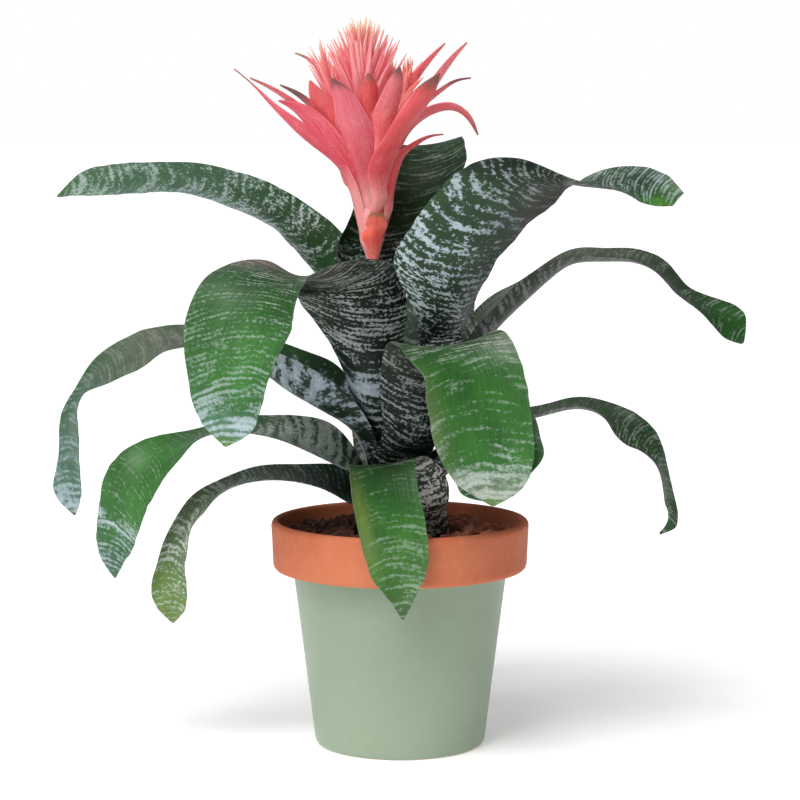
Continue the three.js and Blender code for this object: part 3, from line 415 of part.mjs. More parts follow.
    [-42.77,6.06,376.85, -41.52,10.53,375.28, -38.96,14.67,374.74, -35.4,17.99,375.28, -31.26,20.08,376.85],
    [-53.16,16.57,389, -52.01,19.36,388.01, -50.3,22.02,387.67, -48.16,24.33,388.01, -45.74,26.14,389],
    [-64.37,30.81,398.02, -64.19,31.05,398, -64.01,31.29,398, -63.83,31.53,398, -63.64,31.77,398.02],
  ],
  bract_front_left: [
    [-17.37,-3.15,317.08, -18.78,-2.89,316.84, -19.93,-2.02,316.72, -20.59,-0.73,316.74, -20.61,0.71,316.89],
    [-18.36,-6.95,335.95, -21.46,-6.33,335.65, -23.95,-4.38,335.47, -25.32,-1.51,335.45, -25.26,1.66,335.58],
    [-16.88,-3.2,349.93, -19.89,-4.86,349.18, -23.31,-5.08,348.51, -26.53,-3.85,348.03, -28.95,-1.39,347.84],
    [-19.24,-6.15,361.99, -23.16,-7.26,360.79, -27.32,-6.79,359.96, -31.11,-4.8,359.62, -33.97,-1.57,359.82],
    [-27.77,-12.11,377.88, -32.13,-12.18,376.07, -36.47,-10.76,374.88, -40.29,-8.03,374.43, -43.15,-4.29,374.78],
    [-41.23,-18.15,395.15, -45.05,-17.69,393.02, -48.81,-16.14,391.35, -52.23,-13.6,390.28, -55.07,-10.27,389.88],
    [-56.27,-22.13,407.5, -58.44,-21.44,405.77, -60.57,-20.2,404.34, -62.58,-18.46,403.28, -64.34,-16.3,402.64],
    [-75.14,-23.25,411.72, -75.3,-23.13,411.5, -75.47,-23,411.29, -75.63,-22.86,411.08, -75.79,-22.71,410.87],
  ],
  bract_front_right: [
    [-14.45,0.71,316.97, -14.45,-0.73,316.81, -15.11,-2.02,316.72, -16.27,-2.89,316.71, -17.7,-3.15,316.77],
    [-12.32,1.66,337, -12.25,-1.52,336.87, -13.62,-4.38,336.72, -16.14,-6.32,336.59, -19.26,-6.91,336.49],
    [-6.33,0.11,348.54, -7.73,-3.51,348.42, -10.42,-6.29,348.61, -13.97,-7.76,349.08, -17.78,-7.68,349.75],
    [-5.49,-2.2,364.55, -7.66,-6.31,363.92, -11.26,-9.33,363.79, -15.73,-10.78,364.17, -20.36,-10.44,365.01],
    [0.86,-8.6,384.42, -1.9,-12.31,381.61, -6.1,-14.95,379.45, -11.23,-16.2,378.21, -16.65,-15.9,378.04],
    [10.89,-13.69,400.36, 8.02,-17.36,397.82, 3.98,-20.26,395.98, -0.89,-22.16,394.97, -6.16,-22.89,394.9],
    [21,-19.64,415.11, 18.1,-22.38,414.38, 14.57,-24.35,414.05, 10.66,-25.42,414.13, 6.65,-25.52,414.64],
    [24.77,-26.02,427.57, 24.62,-26.26,427.66, 24.46,-26.5,427.76, 24.3,-26.73,427.86, 24.13,-26.95,427.98],
  ],
  bract_back_right: [
    [-19.68,2.31,316.77, -18.42,3.02,316.69, -16.97,3.1,316.72, -15.64,2.53,316.86, -14.72,1.43,317.06],
    [-23.21,4.87,334.21, -20.52,6.42,334.27, -17.44,6.6,334.42, -14.6,5.38,334.63, -12.62,3,334.85],
    [-24.07,6.06,340.96, -21.08,7.51,340.47, -17.64,7.62,340.39, -14.45,6.36,340.74, -12.14,3.98,341.45],
    [-24.51,9.66,342.07, -20.72,10.73,340.66, -16.57,10.46,340.15, -12.72,8.91,340.62, -9.8,6.32,342],
    [-24.61,14.97,357.33, -19.73,16.02,356.25, -14.7,15.26,355.88, -10.24,12.79,356.25, -7.01,8.97,357.33],
    [-21.32,23.98,373.09, -16.47,24.11,371.89, -11.65,22.89,371.48, -7.32,20.43,371.89, -3.91,16.97,373.09],
    [-14.63,33.8,387.03, -11.15,33.53,386.11, -7.72,32.47,385.8, -4.59,30.71,386.11, -2.01,28.37,387.03],
    [-3.58,44.08,399.02, -3.3,43.97,399, -3.02,43.85,399, -2.75,43.72,399, -2.48,43.59,399.02],
  ],
  bract_right_hooked: [
    [-15,2.07,314.72, -14.33,0.79,314.57, -14.3,-0.65,314.5, -14.92,-1.97,314.53, -16.05,-2.87,314.66],
    [-12.88,4.67,329.87, -11.41,1.76,329.67, -11.34,-1.5,329.59, -12.67,-4.48,329.63, -15.16,-6.57,329.8],
    [-7.78,3.04,337.71, -7.48,0.57,337.11, -8.12,-1.87,336.66, -9.59,-3.97,336.4, -11.72,-5.44,336.36],
    [-4.68,3.24,348.26, -4.73,0.53,348.08, -5.68,-2.01,348.06, -7.41,-4.09,348.18, -9.73,-5.47,348.45],
    [-1.23,2.1,365.63, -1.68,-0.39,365.58, -2.86,-2.62,365.75, -4.65,-4.38,366.12, -6.87,-5.48,366.64],
    [4,0.46,377.74, 3.49,-1.55,377.74, 2.58,-3.4,378.06, 1.35,-4.95,378.69, -0.12,-6.09,379.58],
    [14.37,-1.8,385.66, 13.99,-3,385.79, 13.48,-4.09,386.15, 12.86,-5.04,386.71, 12.17,-5.79,387.46],
    [27.38,-4.13,390.04, 27.3,-4.32,390.18, 27.22,-4.5,390.33, 27.14,-4.67,390.49, 27.05,-4.84,390.66],
  ],
  bract_left_long: [
    [-18.33,-3.02,314.88, -19.56,-2.29,314.62, -20.34,-1.08,314.5, -20.52,0.36,314.56, -20.06,1.72,314.78],
    [-21.34,-7.13,334.13, -24.03,-5.36,333.81, -25.75,-2.62,333.64, -26.2,0.59,333.67, -25.3,3.69,333.88],
    [-24.66,-7.72,352.12, -27.51,-5.94,351.67, -29.6,-3.26,351.51, -30.62,-0.04,351.69, -30.46,3.31,352.19],
    [-31.69,-9.88,368.57, -34.25,-7.76,367.53, -36.2,-4.91,367.04, -37.33,-1.62,367.17, -37.54,1.79,367.88],
    [-46.72,-11.51,386.34, -48.99,-10.14,384.49, -51.04,-8.06,383.08, -52.71,-5.41,382.24, -53.88,-2.4,382],
    [-64.85,-14.01,400.65, -66.79,-12.97,399.53, -68.59,-11.49,398.7, -70.16,-9.65,398.2, -71.43,-7.52,398.07],
    [-83.69,-14.52,414.62, -84.77,-14.08,414.69, -85.76,-13.5,414.89, -86.65,-12.79,415.22, -87.4,-11.99,415.67],
    [-103.03,-14.33,431.07, -103.18,-14.17,430.94, -103.32,-14,430.82, -103.45,-13.82,430.71, -103.57,-13.63,430.6],
  ],
  bract_back_long: [
    [-20.08,1.68,314.62, -19.04,2.69,314.49, -17.66,3.14,314.5, -16.23,2.93,314.66, -15.06,2.12,314.92],
    [-24.34,3.92,329.8, -22,6.14,329.72, -18.94,7.12,329.84, -15.78,6.68,330.12, -13.12,4.9,330.52],
    [-26.09,8.58,337.33, -23.16,10.28,335.92, -19.63,11.09,335.41, -16.02,10.9,335.87, -12.83,9.74,337.24],
    [-29.12,14.31,349.74, -25.37,16.59,348.61, -20.99,17.66,348.22, -16.49,17.37,348.61, -12.4,15.78,349.74],
    [-30.98,23.9,363.65, -27.08,25.85,362.21, -22.61,26.79,361.71, -18.05,26.64,362.21, -13.87,25.4,363.65],
    [-31.01,36.11,372.89, -27.78,37.27,371.46, -24.15,37.88,370.97, -20.46,37.91,371.46, -17.08,37.33,372.89],
    [-29.46,49.21,376.21, -27.51,49.47,375.51, -25.44,49.68,375.28, -23.37,49.83,375.51, -21.4,49.91,376.21],
    [-27.07,63.71,372.03, -26.77,63.73,372.01, -26.47,63.76,372, -26.18,63.79,372.01, -25.88,63.82,372.03],
  ],
  scape_bract_front: [
    [-13.97,0.13,310.31, -14.53,-1.8,310.19, -16.14,-3,310.06, -18.15,-2.97,309.97, -19.74,-1.74,309.96],
    [-12.74,-0.05,317.31, -13.58,-2.77,316.33, -16,-4.5,315.82, -19.02,-4.53,316, -21.39,-2.86,316.79],
    [-11.3,0.18,323.29, -12.41,-3.77,322.2, -15.77,-6.28,321.61, -20.01,-6.33,321.75, -23.38,-3.9,322.57],
    [-10.25,0.03,327.92, -11.71,-4.58,327, -15.71,-7.41,326.44, -20.65,-7.31,326.45, -24.53,-4.3,327.04],
    [-8.54,-2.19,331.22, -11.14,-6.2,330.51, -15.57,-8.1,329.99, -20.32,-7.22,329.85, -23.79,-3.87,330.13],
    [-8.3,-2.96,334.26, -10.77,-6.57,333.72, -14.64,-8.48,333.37, -18.86,-8.28,333.29, -22.38,-6.11,333.52],
    [-9.3,-3.52,337.4, -10.99,-6.64,337.09, -13.76,-8.85,337, -17.16,-9.78,337.17, -20.59,-9.3,337.55],
    [-10.34,-6.8,340.5, -11.98,-8.33,340.68, -13.92,-9.4,340.98, -16.06,-9.96,341.38, -18.25,-9.97,341.87],
  ],
  scape_bract_left: [
    [-18.91,-2.59,310.2, -19.88,-1.51,310.1, -20.26,-0.11,310.06, -19.98,1.31,310.09, -19.09,2.46,310.19],
    [-20.57,-4.18,317.78, -22.02,-2.44,317.22, -22.6,-0.18,317.02, -22.18,2.11,317.21, -20.85,3.95,317.77],
    [-22.2,-5.48,323.88, -24.12,-3.16,323.27, -24.89,-0.2,323.01, -24.38,2.81,323.16, -22.68,5.29,323.67],
    [-22.93,-3.46,330.66, -24.54,-1.71,329.79, -25.41,0.48,328.98, -25.44,2.82,328.31, -24.67,5.02,327.82],
    [-23.87,-2.2,337.02, -25.26,-0.77,335.98, -26.15,1,334.89, -26.49,2.98,333.84, -26.24,5.06,332.91],
    [-25.9,-2.29,344.95, -27.25,-0.64,344.02, -28.09,1.35,343.15, -28.35,3.54,342.41, -28.02,5.78,341.85],
    [-27.96,-1.36,351.88, -28.97,0.12,351.26, -29.62,1.81,350.69, -29.89,3.63,350.22, -29.75,5.49,349.86],
    [-30.7,1.56,359.66, -30.81,1.88,359.49, -30.91,2.2,359.33, -30.98,2.53,359.17, -31.04,2.86,359.01],
  ],
  scape_bract_right: [
    [-16.21,3.02,310, -14.95,2.29,310.03, -14.15,1.08,310.06, -13.98,-0.36,310.09, -14.48,-1.73,310.1],
    [-16.03,4.86,317.38, -14.07,3.67,317.01, -12.81,1.72,316.91, -12.52,-0.57,317.11, -13.26,-2.73,317.56],
    [-15.25,6.64,323.65, -12.73,4.96,323.29, -11.15,2.35,323.17, -10.82,-0.69,323.32, -11.81,-3.58,323.7],
    [-10.53,6.07,330.5, -9.51,4.01,329.76, -9.25,1.67,329.12, -9.83,-0.69,328.63, -11.2,-2.78,328.34],
    [-7.86,5.94,336.19, -7.5,3.68,335.31, -7.83,1.42,334.48, -8.82,-0.67,333.78, -10.36,-2.44,333.27],
    [-6.64,6.51,343.97, -6.12,4.25,343.24, -6.27,1.92,342.6, -7.08,-0.32,342.11, -8.49,-2.27,341.79],
    [-4.94,6.13,351.76, -4.72,4.36,351.21, -4.9,2.58,350.73, -5.45,0.84,350.34, -6.37,-0.75,350.06],
    [-3.17,3.88,360.25, -3.21,3.54,360.09, -3.26,3.2,359.94, -3.33,2.86,359.79, -3.42,2.53,359.64],
  ],
};

// Heads of small spiny floral bracts: foot and top of each spike's axis, the number
// of bracts in it, the share of its height that the lowest tips reach, and its spread.
const SPIKES = {
  flower_spike_main: { foot: [-21.5, 0, 363.6], top: [-25.2, 0, 463], count: 24, low: 0.8, spread: 24.5, core: 5.5, first: 0.26, last: 0.66 },
  flower_spike_left: { foot: [-32.7, -7, 386], top: [-53, -10, 449], count: 8, low: 0.74, spread: 9, core: 2.8, first: 0.12, last: 0.5 },
  flower_spike_right: { foot: [-9, -8, 388], top: [11, -10, 438], count: 8, low: 0.72, spread: 9.5, core: 2.8, first: 0.14, last: 0.55 },
  flower_spike_back_left: { foot: [-31, 10, 384], top: [-43, 20, 440], count: 6, low: 0.74, spread: 8.5, core: 2.8, first: 0.12, last: 0.5 },
  flower_spike_back_right: { foot: [-14, 11, 384], top: [-4, 21, 438], count: 6, low: 0.74, spread: 8.5, core: 2.8, first: 0.12, last: 0.5 },
};

const wasm = await Module();
wasm.setup();

// ---- helpers ----
function solidFrom(positions, indices) {
  return new wasm.Manifold(new wasm.Mesh({
    numProp: 3,
    vertProperties: new Float32Array(positions),
    triVerts: new Uint32Array(indices),
  }));
}

function geometryFrom(solid) {
  const mesh = solid.getMesh();
  const np = mesh.numProp;
  const n = mesh.vertProperties.length / np;
  const pos = new Float32Array(n * 3);
  for (let i = 0; i < n; i++) {
    for (let c = 0; c < 3; c++) pos[i * 3 + c] = mesh.vertProperties[i * np + c];
  }
  const g = new THREE.BufferGeometry();
  g.setAttribute('position', new THREE.BufferAttribute(pos, 3));
  g.setIndex(new THREE.BufferAttribute(new Uint32Array(mesh.triVerts), 1));
  g.computeVertexNormals();
  return g;
}

// The biggest piece of a cut solid; crumbs left by a cut are dropped.
function largest(solid) {
  let best = null;
  for (const piece of solid.decompose()) {
    if (!best || piece.volume() > best.volume()) best = piece;
  }
  return best;
}

// Rings of points stacked into a tube with flat ends.
function stacked(rings) {
  const pos = [];
  const idx = [];
  const m = rings[0].length;
  for (const ring of rings) for (const p of ring) pos.push(p[0], p[1], p[2]);
  const last = (rings.length - 1) * m;
  for (let i = 0; i < rings.length - 1; i++) {
    for (let j = 0; j < m; j++) {
      const j2 = (j + 1) % m;
      idx.push(i * m + j, i * m + j2, (i + 1) * m + j2, i * m + j, (i + 1) * m + j2, (i + 1) * m + j);
    }
  }
  for (let j = 1; j < m - 1; j++) {
    idx.push(0, j + 1, j);
    idx.push(last, last + j, last + j + 1);
  }
  let s = solidFrom(pos, idx);
  if (s.volume() < 0) {
    const flip = [];
    for (let i = 0; i < idx.length; i += 3) flip.push(idx[i], idx[i + 2], idx[i + 1]);
    s = solidFrom(pos, flip);
  }
  return s;
}

// A thin blade: the net is the middle surface, thickened to both sides.
function blade(net, thickness) {
  const n = net.length;
  const m = net[0].length / 3;
  const P = (i, j) => new THREE.Vector3(net[i][j * 3], net[i][j * 3 + 1], net[i][j * 3 + 2]);
  const pos = new Float32Array(n * m * 6);
  const half = thickness / 2;
  for (let i = 0; i < n; i++) {
    for (let j = 0; j < m; j++) {
      const along = P(Math.min(i + 1, n - 1), j).sub(P(Math.max(i - 1, 0), j));
      const across = P(i, Math.min(j + 1, m - 1)).sub(P(i, Math.max(j - 1, 0)));
      const nrm = across.cross(along).normalize();
      const p = P(i, j);
      const q = (i * m + j) * 3;
      const o = n * m * 3;
      pos[q] = p.x + nrm.x * half; pos[q + 1] = p.y + nrm.y * half; pos[q + 2] = p.z + nrm.z * half;
      pos[o + q] = p.x - nrm.x * half; pos[o + q + 1] = p.y - nrm.y * half; pos[o + q + 2] = p.z - nrm.z * half;
    }
  }
  const id = (i, j) => i * m + j;
  const o = n * m;
  const idx = [];
  for (let i = 0; i < n - 1; i++) {
    for (let j = 0; j < m - 1; j++) {
      const a = id(i, j), b = id(i + 1, j), c = id(i + 1, j + 1), d = id(i, j + 1);
      idx.push(a, c, b, a, d, c, o + a, o + b, o + c, o + a, o + c, o + d);
    }
  }
  for (let i = 0; i < n - 1; i++) {
    let a = id(i, 0), b = id(i + 1, 0);
    idx.push(a, b, o + b, a, o + b, o + a);
    a = id(i, m - 1); b = id(i + 1, m - 1);
    idx.push(a, o + b, b, a, o + a, o + b);
  }
  for (let j = 0; j < m - 1; j++) {
    let a = id(0, j), b = id(0, j + 1);
    idx.push(a, o + b, b, a, o + a, o + b);
    a = id(n - 1, j); b = id(n - 1, j + 1);
    idx.push(a, b, o + b, a, o + b, o + a);
  }
  let s = solidFrom(pos, idx);
  if (s.volume() < 0) {
    const flip = [];
    for (let i = 0; i < idx.length; i += 3) flip.push(idx[i], idx[i + 2], idx[i + 1]);
    s = solidFrom(pos, flip);
  }
  return s;
}

// The same net carried a little past all four of its edges.
function grown(net, by) {
  const n = net.length;
  const m = net[0].length / 3;
  const P = (i, j) => new THREE.Vector3(net[i][j * 3], net[i][j * 3 + 1], net[i][j * 3 + 2]);
  const push = (p, q) => p.add(p.clone().sub(q).setLength(by));
  const rows = [];
  for (let i = 0; i < n; i++) {
    const row = [];
    for (let j = 0; j < m; j++) {
      const p = P(i, j);
      if (j === 0) p.copy(push(P(i, 0), P(i, 1)));
      if (j === m - 1) p.copy(push(P(i, m - 1), P(i, m - 2)));
      if (i === 0) p.add(P(0, j).sub(P(1, j)).setLength(by));
      if (i === n - 1) p.add(P(n - 1, j).sub(P(n - 2, j)).setLength(by));
      row.push(p.x, p.y, p.z);
    }
    rows.push(row);
  }
  return rows;
}

// ---- materials ----
const paint = (color, roughness, metalness = 0) => new THREE.MeshStandardMaterial({ color, roughness, metalness });
const clay = () => paint(0x96a894, 0.6);
const earth = () => paint(0x4a2c20, 0.98);
const leafGreen = () => paint(0x3f5e46, 0.5);
const pink = () => paint(0xe2586c, 0.6);
const orangeRed = () => paint(0xe0482c, 0.55);
const palePink = () => paint(0xee8f8a, 0.6);

const group = new THREE.Group();
group.name = 'potted_bromeliad';
function put(name, solid, material) {
  const mesh = new THREE.Mesh(geometryFrom(solid), material);
  mesh.name = name;
  group.add(mesh);
}

// ---- pot: one turned clay body with a thick rim band and three drain holes ----
const bandZ = POT_HEIGHT - POT_RIM_BAND;
function turnedSolid(profile, segments, cx = 0, cy = 0) {
  return stacked(profile.map(([r, z]) => {
    const ring = [];
    for (let i = 0; i < segments; i++) {
      const a = (i / segments) * Math.PI * 2;
      ring.push([cx + r * Math.cos(a), cy + r * Math.sin(a), z]);
    }
    return ring;
  }));
}
const potOutside = [
  [POT_FOOT_RADIUS, 0],
  [POT_BASE_RADIUS - 1.0, 0.9],
  [POT_BASE_RADIUS, 3.2],
  [POT_SHOULDER_RADIUS, bandZ + 0.4],
  [POT_RIM_RADIUS - 4.6, bandZ],
  [POT_RIM_RADIUS - 2.0, bandZ + 1.2],
  [POT_RIM_RADIUS - 1.1, bandZ + 4.2],
  [POT_RIM_RADIUS, POT_HEIGHT - 4.2],
  [POT_RIM_RADIUS - 0.9, POT_HEIGHT - 1.1],
  [POT_RIM_RADIUS - 2.8, POT_HEIGHT],
];
const potInside = [
  [POT_BASE_RADIUS - 8.0, POT_FLOOR],
  [POT_BASE_RADIUS - 6.0, POT_FLOOR + 1.6],
  [POT_SHOULDER_RADIUS - 6.0, bandZ + 0.9],
  [POT_MOUTH_RADIUS - 4.5, bandZ + 10.4],
  [POT_MOUTH_RADIUS, POT_HEIGHT - 3.4],
  [POT_MOUTH_RADIUS + 0.8, POT_HEIGHT - 0.9],
  [POT_MOUTH_RADIUS + 2.1, POT_HEIGHT + 1],
];
{
  let pot = turnedSolid(potOutside, POT_SEGMENTS).subtract(turnedSolid(potInside, POT_SEGMENTS));
  for (let i = 0; i < 3; i++) {
    const a = (i / 3) * Math.PI * 2 + Math.PI / 2;
    pot = pot.subtract(turnedSolid([[POT_DRAIN_RADIUS, -1], [POT_DRAIN_RADIUS, POT_FLOOR + 1]], 12, POT_DRAIN_CIRCLE * Math.cos(a), POT_DRAIN_CIRCLE * Math.sin(a)));
  }
  put('pot', pot, clay());
}

// ---- potting mix: fills the pot to just under the rim, coarse top ----
function innerRadius(z) {
  for (let i = 0; i < potInside.length - 1; i++) {
    const [r0, z0] = potInside[i];
    const [r1, z1] = potInside[i + 1];
    if (z <= z1) return r0 + (r1 - r0) * ((z - z0) / (z1 - z0));
  }
  return POT_MOUTH_RADIUS;
}
const soilFloor = POT_FLOOR + SOIL_GAP;
const soilSide = [
  [innerRadius(soilFloor) - 0.6, soilFloor],
  [innerRadius(POT_FLOOR + 1.6) - SOIL_GAP - 0.3, POT_FLOOR + 2.2],
  [innerRadius(bandZ + 0.9) - SOIL_GAP - 0.3, bandZ + 1.2],
  [innerRadius(bandZ + 10.4) - SOIL_GAP - 0.3, bandZ + 10.8],
  [innerRadius(SOIL_EDGE_Z) - SOIL_GAP - 0.4, SOIL_EDGE_Z],
];
const soilRings = [];
for (const [r, z] of soilSide) {
  const ring = [];
  for (let i = 0; i < SOIL_SEGMENTS; i++) {
    const a = (i / SOIL_SEGMENTS) * Math.PI * 2;
    ring.push([r * Math.cos(a), r * Math.sin(a), z]);
  }
  soilRings.push(ring);
}
for (const [f, rise] of [[0.86, 1.2], [0.66, 2.6], [0.48, 3.4], [0.2, 4.0]]) {
  const ring = [];
  for (let i = 0; i < SOIL_SEGMENTS; i++) {
    const a = (i / SOIL_SEGMENTS) * Math.PI * 2;
    const lump = f > 0.3 ? 1.1 * Math.sin(a * 7 + f * 31) + 0.9 * Math.sin(a * 12 + f * 57) : 0;
    const r = soilSide[4][0] * f;
    ring.push([PLANT_X * (1 - f) + r * Math.cos(a), r * Math.sin(a), SOIL_EDGE_Z + rise * ((SOIL_CENTRE_Z - SOIL_EDGE_Z) / 4.0) + lump]);
  }
  soilRings.push(ring);
}
const pocket = turnedSolid([[8.4, ROOT_TIP_Z - 0.5], [20.6, CROWN_UNDER_Z - 0.6], [TUBE_POCKET_RADIUS - 0.02, CROWN_UNDER_Z - 0.6], [TUBE_POCKET_RADIUS, 160]], 32, PLANT_X, 0);
put('potting_mix', largest(stacked(soilRings).subtract(pocket)), earth());

// ---- rootstock: the short stem that the leaf bases and the stalk stand on ----
put('rootstock', turnedSolid([[7.6, ROOT_TIP_Z], [19.8, CROWN_UNDER_Z], [CROWN_RADIUS - 0.8, CROWN_UNDER_Z], [CROWN_RADIUS, CROWN_UNDER_Z + 1.2], [CROWN_RADIUS, CROWN_TOP_Z]], 28, PLANT_X, 0), paint(0x6b5a3c, 0.9));

// ---- leaves ----
for (const [name, net] of Object.entries(LEAVES)) put(name, blade(net, LEAF_THICKNESS), leafGreen());

// ---- flower stalk ----
function stalkCentre(z) {
  if (z <= 290) return 4 - 21 * ((z - 130) / 160);
  return -17 - (z - 290) * 0.062;
}
const placed = [];
for (const extra of [0, BRACT_CLEARANCE]) {
  const rings = [];
  for (const [z, r] of [[127.75, STALK_RADIUS], [170, STALK_RADIUS], [215, STALK_RADIUS - 0.1], [260, STALK_RADIUS - 0.2], [284, STALK_RADIUS - 0.4], [288, STALK_NECK_RADIUS], [325, STALK_NECK_RADIUS], [355, STALK_NECK_RADIUS - 0.1], [STALK_TOP_Z, STALK_NECK_RADIUS - 0.5]]) {
    const ring = [];
    for (let i = 0; i < 10; i++) {
      const a = (i / 10) * Math.PI * 2;
      ring.push([stalkCentre(z) + (r + extra) * Math.cos(a), (r + extra) * Math.sin(a), z]);
    }
    rings.push(ring);
  }
  if (extra) placed.push(stacked(rings));
  else put('flower_stalk', stacked(rings), paint(0xd8c3a8, 0.7));
}

// ---- bracts: each one is trimmed where it would run into those inside it ----
for (const [name, net] of Object.entries(BRACTS)) {
  let s = blade(net, BRACT_THICKNESS);
  for (const keep of placed) s = s.subtract(keep);
  s = largest(s);
  placed.push(blade(grown(net, BRACT_CLEARANCE), BRACT_THICKNESS + 2 * BRACT_CLEARANCE).add(blade(net, BRACT_THICKNESS + 0.1)));
  const scape = name.startsWith('scape_');
  put(name, s, name === 'scape_bract_front' ? orangeRed() : scape ? palePink() : pink());
}

// ---- spikes of small spiny bracts ----
function spine(from, to, width, depth, side) {
  const A = new THREE.Vector3(...from);
  const B = new THREE.Vector3(...to);
  const dir = B.clone().sub(A).normalize();
  const u = new THREE.Vector3(...side).cross(dir).normalize();
  const v = dir.clone().cross(u).normalize();
  const rings = [];
  for (const [t, k] of [[0, 0.55], [0.38, 1], [1, 0.09]]) {
    const c = A.clone().lerp(B, t);
    rings.push([[1, 0], [0, 1], [-1, 0], [0, -1]].map(([a, b]) => {
      const p = c.clone().addScaledVector(u, (a * width * k) / 2).addScaledVector(v, (b * depth * k) / 2);
      return [p.x, p.y, p.z];
    }));
  }
  return stacked(rings);
}
for (const [name, spec] of Object.entries(SPIKES)) {
  const A = new THREE.Vector3(...spec.foot);
  const B = new THREE.Vector3(...spec.top);
  const dir = B.clone().sub(A);
  const len = dir.length();
  dir.normalize();
  const u = new THREE.Vector3(0, 1, 0).cross(dir).normalize();
  const v = dir.clone().cross(u).normalize();
  const coreRings = [];
  for (const [t, k] of [[0, 0.5], [spec.first, 1], [spec.last, 0.8], [spec.last + 0.14, 0.25]]) {
    const ring = [];
    for (let i = 0; i < 8; i++) {
      const a = (i / 8) * Math.PI * 2;
      const p = A.clone().addScaledVector(dir, len * t).addScaledVector(u, spec.core * k * Math.cos(a)).addScaledVector(v, spec.core * k * Math.sin(a));
      ring.push([p.x, p.y, p.z]);
    }
    coreRings.push(ring);
  }
  let s = stacked(coreRings);
  for (let i = 0; i < spec.count; i++) {
    const f = i / (spec.count - 1);
    const a = i * 2.39996;
    const out = u.clone().multiplyScalar(Math.cos(a)).addScaledVector(v, Math.sin(a));
    const at = len * (spec.first + (spec.last - spec.first) * f);
    const root = A.clone().addScaledVector(dir, at - len * 0.08).addScaledVector(out, spec.core * 0.35);
    const tip = A.clone().addScaledVector(dir, len * (spec.low + (1 - spec.low) * f ** 0.8)).addScaledVector(out, spec.spread * (1 - 0.86 * f ** 1.2));
    s = s.add(spine([root.x, root.y, root.z], [tip.x, tip.y, tip.z], 5.6, 2.6, [out.x, out.y, out.z]));
  }
  for (const keep of placed) s = s.subtract(keep);
  s = largest(s);
  placed.push(s);
  put(name, s, pink());
}

export default group;
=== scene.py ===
# A potted bromeliad: silver-banded strap leaves in a funnel rosette, a pink bract
# head on a short stalk, coarse bark mix, and a clay pot painted below its rim.
# Metres, +Z up, origin at the centre of the pot's flat underside.
from mathutils.bvhtree import BVHTree
import bpy
import math
import numpy as np
from statistics import NormalDist
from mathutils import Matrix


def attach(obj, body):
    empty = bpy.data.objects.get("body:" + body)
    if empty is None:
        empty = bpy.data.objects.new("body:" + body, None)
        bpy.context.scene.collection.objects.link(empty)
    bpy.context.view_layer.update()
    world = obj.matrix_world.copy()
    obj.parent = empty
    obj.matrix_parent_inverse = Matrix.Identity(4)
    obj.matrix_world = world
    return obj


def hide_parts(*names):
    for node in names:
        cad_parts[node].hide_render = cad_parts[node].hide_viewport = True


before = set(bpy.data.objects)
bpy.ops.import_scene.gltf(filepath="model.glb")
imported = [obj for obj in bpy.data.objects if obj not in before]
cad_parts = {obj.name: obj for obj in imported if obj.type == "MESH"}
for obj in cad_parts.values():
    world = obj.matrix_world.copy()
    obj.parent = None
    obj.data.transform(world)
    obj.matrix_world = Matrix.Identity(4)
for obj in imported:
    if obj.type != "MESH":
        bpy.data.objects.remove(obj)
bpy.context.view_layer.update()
rng = np.random.default_rng(11)

